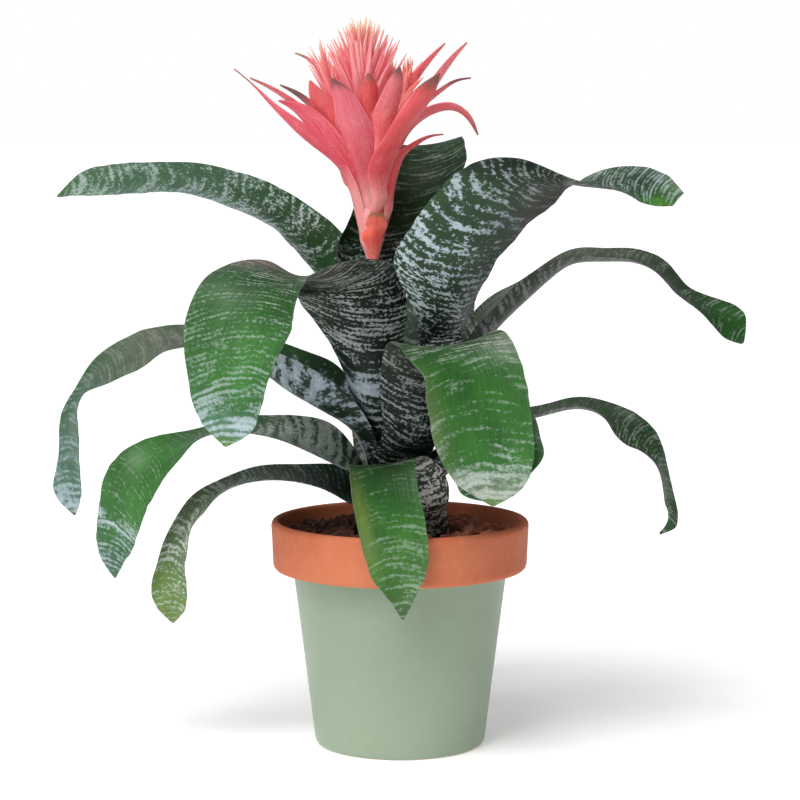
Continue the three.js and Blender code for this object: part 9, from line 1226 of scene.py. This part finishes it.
# the last two are the broad bracts that each of the two front side spikes grows from
for i, (name, net) in enumerate([*BRACTS.items(), *FOOT_BRACTS.items()]):
    L = BLOOK.get(name, dict(red=.2, bloom=.3, tip=.92))
    us = np.linspace(0, 1, BU)
    G = surface(net, us, bv)
    step = np.linalg.norm(np.diff(G, axis=0), axis=2).mean(1)
    s = np.r_[0, np.cumsum(step)]
    across = np.linalg.norm(np.diff(G, axis=1), axis=2)
    t = np.concatenate([np.zeros((BU, 1)), np.cumsum(across, 1)], 1)
    t = t - t[:, BV // 2: BV // 2 + 1]
    co = np.stack([np.broadcast_to(s[:, None], t.shape), t, np.broadcast_to(bv[None], t.shape)], -1)
    # the lower half, tucked between its neighbours, runs deeper and redder
    deep = L["red"] * np.interp(us, [.2, .4], [.3, 1]) + .3 * np.exp(-((us - .5) / .15) ** 2)
    frost = L["bloom"] * np.interp(us, [.3, .42, .6, 1], [.6, .6, 1, .6]) + np.interp(us, [0, .25, .42], [.75, .75, 0])
    lk = np.stack([np.broadcast_to(q[:, None], t.shape) for q in (us, frost, np.clip(deep, 0, 1))], -1)
    thick = (0.00016 + 0.00022 * (1 - np.abs(bv) ** 2))[None, :] * np.ones((BU, 1))
    V, F, mi, co2, lk2 = blade_parts(G, thick, co, lk, lk)
    blade_f += [tuple(x + len(blade_v) for x in q) for q in F]
    blade_v += np.asarray(V).tolist()
    mat = bract_material(name + "_skin", 5.3 * i, L.get("root", (238, 152, 148)), L.get("body", (228, 92, 102)), L["tip"], L.get("tipcol", (168, 104, 96)), L.get("glow", 0.06))
    ob = mesh_object(name + "_blade", V, F, [mat], None, {"leafco": co2, "look": lk2})
    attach(ob, "root")
    if name in BRACTS:
        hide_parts(name)

# ---------------------------------------------------------------- flower spikes
SPIKES = {
    "flower_spike_main": dict(foot=(-21.5, 0, 363.6), top=(-25.2, 0, 463), count=96, low=.8, spread=26.5, core=5.5, first=.26, last=.66, red=.12, yellow=.9, wide=15),
    "flower_spike_left": dict(foot=(-32.7, -7, 386), top=(-53, -10, 449), count=15, low=.78, spread=9.6, close=.5, slim=.62, core=2.4, first=.12, last=.45, red=.5, yellow=.3, wide=3),
    "flower_spike_right": dict(foot=(-9, -8, 388), top=(11, -10, 438), count=30, low=.74, spread=9.6, close=.55, slim=.75, core=2.8, first=.14, last=.55, red=.95, yellow=.2, wide=4),
    "flower_spike_back_left": dict(foot=(-31, 10, 384), top=(-43, 20, 440), count=18, low=.74, spread=8.5, core=2.8, first=.12, last=.5, red=.25, yellow=.2, wide=3),
    "flower_spike_back_right": dict(foot=(-14, 11, 384), top=(-4, 21, 438), count=18, low=.74, spread=8.5, core=2.8, first=.12, last=.5, red=.3, yellow=.2, wide=3),
}
smat = spike_material()
blades = BVHTree.FromPolygons(blade_v, blade_f)


def small_bract(A, B, out, width, curl, rnd):
    """Keeled, pointed floral bract from A to B, its back turned to out (all mm)."""
    n, m = 9, 5
    A, B, out = (np.asarray(x, float) for x in (A, B, out))
    d = (B - A)
    Ld = np.linalg.norm(d)
    d /= Ld
    side = np.cross(d, out)
    side /= np.linalg.norm(side)
    back = np.cross(side, d)
    us = np.linspace(0, 1, n) ** 0.9
    w = width * np.interp(us, [0, .12, .35, .6, .85, 1], [.55, .85, 1, .8, .34, .03])
    line = A + d * (us * Ld)[:, None] - back * (curl * np.sin(us * np.pi) * 0.5)[:, None] + back * (curl * us ** 2 * 0.8)[:, None]
    vs = np.linspace(-1, 1, m)
    G = line[:, None] + side * (w[:, None] * vs * 0.5)[..., None] - back * (w[:, None] * 0.30 * np.abs(vs) ** 1.4)[..., None]
    return G / 1000.0, us, vs, w, Ld


for name, sp in SPIKES.items():
    A = np.array(sp["foot"], float)
    B = np.array(sp["top"], float)
    ln = np.linalg.norm(B - A)
    d = (B - A) / ln
    u0 = np.cross([0, 1, 0], d)
    u0 /= np.linalg.norm(u0)
    v0 = np.cross(d, u0)
    VV, FF, CC, LL = [], [], [], []
    off = 0
    # the solid axis that the small bracts stand on
    nr, ns = 12, 16
    ts = np.linspace(0, sp["last"] + 0.16, nr)
    rr = sp["core"] * np.interp(ts, [0, sp["first"], sp["last"], sp["last"] + 0.16], [.5, .8, .6, .08])
    ring = []
    for tt, r in zip(ts, rr):
        for k in range(ns):
            a = 2 * np.pi * k / ns
            ring.append((A + d * (tt * ln) + (u0 * np.cos(a) + v0 * np.sin(a)) * r) / 1000)
    VV.append(np.array(ring))
    f = []
    for r in range(nr - 1):
        for k in range(ns):
            k2 = (k + 1) % ns
            f.append((r * ns + k, r * ns + k2, (r + 1) * ns + k2, (r + 1) * ns + k))
    quads = f
    caps = [tuple(range(ns - 1, -1, -1)), tuple((nr - 1) * ns + k for k in range(ns))]
    CC.append(np.zeros((nr * ns, 3)))
    LL.append(np.tile([0.1, 0.3, 0.3], (nr * ns, 1)))
    FF += quads + caps
    off = nr * ns
    r = np.random.default_rng(len(name) * 7 + sp["count"])
    for i in range(sp["count"]):
        fr = i / (sp["count"] - 1)
        a0 = i * 2.39996 + r.uniform(-.25, .25)
        at = ln * (sp["first"] + (sp["last"] - sp["first"]) * fr)
        reach = ln * (sp["low"] + (1 - sp["low"]) * fr ** .8) * r.uniform(.97, 1.012)
        u_spread, u_width, u_curl, u_tip, u_tone, u_red = (r.uniform(*q) for q in ((.72, 1.06), (.75, 1.2), (.2, 1.3), (.5, 1.3), (0, 1), (.3, 1.6)))
        best = None
        # a small bract turns aside where a broad one stands in its way
        for turn in (0, .3, -.3, .6, -.6, .9, -.9, 1.2, -1.2):
            out = u0 * np.cos(a0 + turn) + v0 * np.sin(a0 + turn)
            root = A + d * (at - ln * .04) + out * sp["core"] * .5 * (1 - .5 * fr)
            spread = sp["spread"] * (1 - sp.get("close", .86) * fr ** 1.2) * u_spread
            if sp["wide"] > 10 and fr < .55:
                # those that face the front stay behind the short bract that stands there
                spread = min(spread, np.interp(-out[1], [.45, .8], [30, 17.5]))
            tip = A + d * reach + out * spread
            G, us, vs, w, Ld = small_bract(root, tip, out, (8.0 - 3.4 * fr) * sp.get("slim", 1) * u_width, 2.4 * u_curl, r)
            co = np.stack([np.broadcast_to((us * Ld / 1000)[:, None], G.shape[:2]), w[:, None] * vs * 0.0005, np.full(G.shape[:2], min(1, sp["yellow"] * fr ** 2.2 * u_tip))], -1)
            lk = np.stack([np.broadcast_to(us[:, None], G.shape[:2]), np.full(G.shape[:2], u_tone), np.full(G.shape[:2], min(1, sp["red"] * u_red))], -1)
            V, F, mi, co2, lk2 = blade_parts(G, np.full(G.shape[:2], 0.00022), co, lk, lk)
            hits = len(blades.overlap(BVHTree.FromPolygons(np.asarray(V).tolist(), [tuple(q) for q in F])))
            if best is None or hits < best[0]:
                best = (hits, V, F, co2, lk2)
            if hits == 0:
                break
        _, V, F, co2, lk2 = best
        VV.append(V)
        FF += [tuple(x + off for x in q) for q in F]
        CC.append(co2)
        LL.append(lk2)
        off += len(V)
    for i in range(sp["wide"]):
        a = i * 2 * math.pi / sp["wide"] * 1.0 + r.uniform(-.2, .2)
        out = u0 * np.cos(a) + v0 * np.sin(a)
        root = A + d * (ln * .3) + out * sp["core"] * .6
        tip = A + d * (ln * r.uniform(.62, .8)) + out * sp["spread"] * r.uniform(.25, .42)
        G, us, vs, w, Ld = small_bract(root, tip, out, 7.6 * r.uniform(.85, 1.15), 3.0 * r.uniform(.2, 1.2), r)
        co = np.stack([np.broadcast_to((us * Ld / 1000)[:, None], G.shape[:2]), w[:, None] * vs * 0.0005, np.full(G.shape[:2], .1)], -1)
        lk = np.stack([np.broadcast_to(us[:, None], G.shape[:2]) * .85, np.full(G.shape[:2], r.uniform(0, .7)), np.full(G.shape[:2], r.uniform(0, .5))], -1)
        V, F, mi, co2, lk2 = blade_parts(G, np.full(G.shape[:2], 0.00022), co, lk, lk)
        VV.append(V)
        FF += [tuple(x + off for x in q) for q in F]
        CC.append(co2)
        LL.append(lk2)
        off += len(V)
    ob = mesh_object(name + "_bracts", np.concatenate(VV), FF, [smat], None, {"leafco": np.concatenate(CC), "look": np.concatenate(LL)})
    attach(ob, "root")
    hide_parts(name)

# ---------------------------------------------------------------- stalk and rootstock
def retexture(node, mat):
    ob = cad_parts[node]
    ob.data.materials.clear()
    ob.data.materials.append(mat)


def tube(name, centre, rad, zs, n=20):
    V, F = [], []
    for z in zs:
        for k in range(n):
            a = 2 * math.pi * k / n
            c = centre(z)
            V.append(((c[0] + rad(z) * math.cos(a)) / 1000, (c[1] + rad(z) * math.sin(a)) / 1000, z / 1000))
    for r in range(len(zs) - 1):
        for k in range(n):
            k2 = (k + 1) % n
            F.append((r * n + k, r * n + k2, (r + 1) * n + k2, (r + 1) * n + k))
    F.append(tuple(range(n - 1, -1, -1)))
    F.append(tuple((len(zs) - 1) * n + k for k in range(n)))
    return V, F


def stalk_centre(z):
    return (4 - 21 * ((z - 130) / 160) if z <= 290 else -17 - (z - 290) * 0.062, 0)


zs = np.r_[np.linspace(127.75, 284, 60), np.linspace(286, 361.5, 30)]
V, F = tube("stalk", stalk_centre, lambda z: np.interp(z, [127, 170, 260, 284, 288, 355, 361.5], [3.3, 3.3, 3.1, 2.9, 2.3, 2.2, 1.8]) * (1 + 0.015 * math.sin(z * 1.7)), zs)
ob = mesh_object("flower_stalk_stem", V, F, [plain_plant("stalk_skin", (206, 150, 128), (232, 196, 176))])
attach(ob, "root"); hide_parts("flower_stalk")
retexture("rootstock", plain_plant("rootstock_skin", (78, 60, 40), (138, 116, 82), 260.0))

# ---------------------------------------------------------------- pot
PROFILE = [  # (radius, z, finish) of the turned wall in mm; 0 bare clay, 1 paint
    (51.2, 0.0, 0), (52.6, .25, 1), (53.7, 1.0, 1), (54.4, 2.1, 1), (54.75, 3.4, 1), (55.9, 12, 1), (61.6, 58, 1), (66.4, 96, 1), (68.6, 112.6, 1), (68.75, 113.45, 1),
    (69.6, 113.6, 1), (75.5, 113.6, 0), (78.2, 113.7, 0), (79.8, 114.2, 0), (80.8, 115.2, 0), (81.3, 116.8, 0), (81.45, 119, 0), (82.3, 139, 0), (82.5, 141.2, 0), (82.3, 143.0, 0), (81.6, 144.3, 0), (80.6, 145.0, 0), (79.6, 145.2, 0),
    (78.6, 145.0, 0), (77.8, 144.3, 0), (77.3, 143.2, 0), (77.0, 141.6, 0), (74.9, 132.8, 0), (72.6, 124.0, 0), (68.2, 119.8, 0), (62.7, 114.5, 0), (60.8, 100, 0), (54.0, 49, 0), (48.6, 9.1, 0), (46.6, 7.5, 0),
]


def drain_pot():
    """The turned wall as one closed mesh with three drain holes through its floor."""
    n = 180
    V, F, MI = [], [], []
    for rad, z, _ in PROFILE:
        for k in range(n):
            a = 2 * math.pi * k / n
            V.append((rad * math.cos(a) / 1000, rad * math.sin(a) / 1000, z / 1000))
    for r in range(len(PROFILE) - 1):
        for k in range(n):
            k2 = (k + 1) % n
            F.append((r * n + k, r * n + k2, (r + 1) * n + k2, (r + 1) * n + k))
            MI.append(PROFILE[r][2])
    # underside and inner floor discs, as fans of rings down to the middle
    def disc(start_ring, z, flip):
        prev = start_ring
        rads = [40, 34, 18, 8]
        R0 = PROFILE[0][0] if not flip else PROFILE[-1][0]
        for rad in rads:
            base = len(V)
            for k in range(n):
                a = 2 * math.pi * k / n
                V.append((rad * math.cos(a) / 1000, rad * math.sin(a) / 1000, z / 1000))
            for k in range(n):
                k2 = (k + 1) % n
                q = (prev + k, prev + k2, base + k2, base + k)
                F.append(q if flip else q[::-1])
                MI.append(0)
            prev = base
        c = len(V)
        V.append((0, 0, z / 1000))
        for k in range(n):
            k2 = (k + 1) % n
            q = (prev + k, prev + k2, c)
            F.append(q if flip else q[::-1])
            MI.append(0)
    disc(0, 0.0, False)
    disc((len(PROFILE) - 1) * n, 7.5, True)
    ob = mesh_object("pot_body", V, F, [clay_material(), paint_material()], MI)
    cutters = []
    for i in range(3):
        a = i / 3 * 2 * math.pi + math.pi / 2
        Vc, Fc = tube("c", lambda z: (26 * math.cos(a), 26 * math.sin(a)), lambda z: 4.5, [-2, 10], 32)
        cutters.append((Vc, Fc))
    VV, FFc = [], []
    for Vc, Fc in cutters:
        o = len(VV)
        VV += Vc
        FFc += [tuple(x + o for x in f) for f in Fc]
    cut = mesh_object("drain_cut", VV, FFc, [ob.data.materials[0]], None, None, False)
    mod = ob.modifiers.new("drain", "BOOLEAN")
    mod.object = cut
    mod.operation = "DIFFERENCE"
    mod.solver = "EXACT"
    bpy.context.view_layer.update()
    dg = bpy.context.evaluated_depsgraph_get()
    me = bpy.data.meshes.new_from_object(ob.evaluated_get(dg), depsgraph=dg)
    ob.modifiers.clear()
    ob.data = me
    bpy.data.objects.remove(cut, do_unlink=True)
    return ob


pot = drain_pot()
for p in pot.data.polygons:
    p.use_smooth = True
pot.data.set_sharp_from_angle(angle=math.radians(50))
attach(pot, "root"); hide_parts("pot")

# ---------------------------------------------------------------- potting mix
def soil_top(x, y):
    """Height of the mix in mm at (x, y) mm."""
    r = math.hypot(x, y)
    z = 134.2 + 4.2 * (1 - min(r / 75.0, 1) ** 2)
    z += 1.1 * math.sin(x * .21 + 1.3) * math.sin(y * .17 + .4) + .7 * math.sin(x * .53 + y * .37) + .5 * math.sin(y * .71 - x * .29)
    return z


def soil():
    n = 120
    PX = 4.0
    rings = []

    def outer(rad, z, lump=False):
        rings.append([(rad * math.cos(2 * math.pi * k / n), rad * math.sin(2 * math.pi * k / n), z) for k in range(n)])
    for rad, z in ((46.0, 8.0), (48.2, 9.8), (62.0, 114.8), (72.1, 124.4)):
        outer(rad, z)
    re = 74.6
    for f in (1.0, .97, .93, .88, .83, .78, .73, .68, .63, .58, .53, .49, .46):
        ring = []
        for k in range(n):
            a = 2 * math.pi * k / n
            g = (f - .446) / (1 - .446)
            cx = PX * (1 - g)
            rad = 33.3 + (re - 33.3) * g
            x, y = cx + rad * math.cos(a), rad * math.sin(a)
            z = soil_top(x, y) if f < 1 else 132.6
            ring.append((x, y, z))
        rings.append(ring)
    for rad, z in ((33.3, 130.0), (33.3, 121.1), (20.4, 121.0), (8.3, 102.6)):
        rings.append([(PX + rad * math.cos(2 * math.pi * k / n), rad * math.sin(2 * math.pi * k / n), z) for k in range(n)])
    V = [tuple(c / 1000 for c in p) for ring in rings for p in ring]
    F = []
    for r in range(len(rings) - 1):
        for k in range(n):
            k2 = (k + 1) % n
            F.append((r * n + k, r * n + k2, (r + 1) * n + k2, (r + 1) * n + k))
    F.append(tuple(range(n - 1, -1, -1)))
    F.append(tuple((len(rings) - 1) * n + k for k in range(n)))
    return V, F


bark = bark_material()
V, F = soil()
ob = mesh_object("potting_mix_bed", V, F, [bark], None, {"look": np.tile([.12, .1, 0], (len(V), 1))})
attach(ob, "root"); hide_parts("potting_mix")

VV, FF, LL = [], [], []
box = np.array([[x, y, z] for x in (-1, 1) for y in (-1, 1) for z in (-1, 1)], float)
boxf = [(0, 1, 3, 2), (4, 6, 7, 5), (0, 4, 5, 1), (2, 3, 7, 6), (0, 2, 6, 4), (1, 5, 7, 3)]
made = 0
tries = 0
while made < 620 and tries < 9000:
    tries += 1
    a = rng.uniform(0, 2 * math.pi)
    rad = math.sqrt(rng.uniform(34.5 ** 2, 72.5 ** 2))
    x, y = rad * math.cos(a), rad * math.sin(a)
    if math.hypot(x - 4, y) < 36.5:
        continue
    L = rng.uniform(2.2, 6.2)
    W = L * rng.uniform(.4, .8)
    H = rng.uniform(.8, 2.2)
    if math.hypot(x, y) + L > 74.4:
        continue
    p = box * (1 + rng.uniform(-.38, .25, box.shape))
    p = p * (L, W, H)
    yaw, tilt, roll = rng.uniform(0, 2 * math.pi), rng.normal(0, .34), rng.normal(0, .34)
    cy, sy, ct, st, cr, sr = math.cos(yaw), math.sin(yaw), math.cos(tilt), math.sin(tilt), math.cos(roll), math.sin(roll)
    R = np.array([[cy, -sy, 0], [sy, cy, 0], [0, 0, 1]]) @ np.array([[ct, 0, st], [0, 1, 0], [-st, 0, ct]]) @ np.array([[1, 0, 0], [0, cr, -sr], [0, sr, cr]])
    p = p @ R.T
    z = soil_top(x, y) + rng.uniform(-.2, 1.5)
    p = p + (x, y, z)
    if p[:, 2].max() > 143.5 or (np.hypot(p[:, 0], p[:, 1]) > 75.2).any() or (np.hypot(p[:, 0] - 4, p[:, 1]) < 34.0).any():
        continue
    o = sum(len(q) for q in VV)
    VV.append(p / 1000)
    FF += [tuple(k + o for k in f) for f in boxf]
    # painted shade and light: chips left of x = 10 mm are dark as if shaded by the rim, those to the right lighter and
    # redder as if lit
    tone = rng.uniform(0, 1) ** 1.6 * .09 if x < 10 else .45 + .55 * rng.uniform(0, 1)
    LL.append(np.tile([tone, min(1, rng.uniform(0, 1) ** 2.5 * (.25 if x < 10 else 1) + (.35 if x > 25 and tone > .3 else 0)), 0], (8, 1)))
    made += 1
chips = mesh_object("bark_chips", np.concatenate(VV), FF, [bark], None, {"look": np.concatenate(LL)}, False)
bev = chips.modifiers.new("worn", "BEVEL")
bev.width = 0.00045
bev.segments = 1
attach(chips, "root")

# ---------------------------------------------------------------- stage, light, camera
T = Tree("floor_paper")
n = T.noise(T.obj(), 3.0, 3.0, 0.5)
T.finish(Base_Color=T.mix(n, (0.93, 0.93, 0.93), (0.95, 0.95, 0.95)), Roughness=0.9, Specular_IOR_Level=0.1, Emission_Color=(1.0, 1.0, 1.0), Emission_Strength=0.32)
floor = mesh_object("floor", [(-30, -10, 0), (30, -10, 0), (30, 60, 0), (-30, 60, 0)], [(0, 1, 2, 3)], [T.mat], None, None, False)

# a white sweep behind, and softer white light all round
world = bpy.data.worlds.new("studio")
bpy.context.scene.world = world
world.use_nodes = True
wt = world.node_tree
wt.nodes.clear()
wout = wt.nodes.new("ShaderNodeOutputWorld")
wmix = wt.nodes.new("ShaderNodeMixShader")
seen = wt.nodes.new("ShaderNodeBackground")
soft = wt.nodes.new("ShaderNodeBackground")
path = wt.nodes.new("ShaderNodeLightPath")
seen.inputs["Color"].default_value = (1, 1, 1, 1)
seen.inputs["Strength"].default_value = 1.0
soft.inputs["Color"].default_value = (1, 1, 1, 1)
# the room is brighter on the left than on the right
way = wt.nodes.new("ShaderNodeTexCoord")
axes = wt.nodes.new("ShaderNodeSeparateXYZ")
side = wt.nodes.new("ShaderNodeMapRange")
wt.links.new(way.outputs["Generated"], axes.inputs[0])
wt.links.new(axes.outputs[0], side.inputs[0])
for slot, val in zip((1, 2, 3, 4), (-1.0, 1.0, 0.50, 0.06)):
    side.inputs[slot].default_value = val
wt.links.new(side.outputs[0], soft.inputs["Strength"])
wt.links.new(path.outputs["Is Camera Ray"], wmix.inputs[0])
wt.links.new(soft.outputs[0], wmix.inputs[1])
wt.links.new(seen.outputs[0], wmix.inputs[2])
wt.links.new(wmix.outputs[0], wout.inputs["Surface"])


def lamp(name, kind, energy, loc, target, **k):
    d = bpy.data.lights.new(name, kind)
    d.energy = energy
    for key, v in k.items():
        setattr(d, key, v)
    o = bpy.data.objects.new(name, d)
    bpy.context.scene.collection.objects.link(o)
    o.location = loc
    from mathutils import Vector
    o.rotation_euler = (Vector(target) - Vector(loc)).to_track_quat("-Z", "Y").to_euler()
    return o


lamp("key", "SUN", 2.35, (-0.60, -1.0, 1.85), (0, 0, 0.0), angle=math.radians(36))
lamp("softbox", "AREA", 4.0, (-0.7, -1.3, 0.9), (0, 0, 0.28), size=0.7)

cam = bpy.data.cameras.new("camera")
cam.sensor_width = 36
cam.sensor_fit = "HORIZONTAL"
cam.lens = 2521.4 * 36 / 800
cam.clip_end = 200
camera = bpy.data.objects.new("camera", cam)
bpy.context.scene.collection.objects.link(camera)
camera.location = (0, -1.6, 0.3966)
camera.rotation_euler = (math.radians(90 - 6.24), 0, 0)
bpy.context.scene.camera = camera
bpy.context.scene.view_settings.view_transform = "Standard"
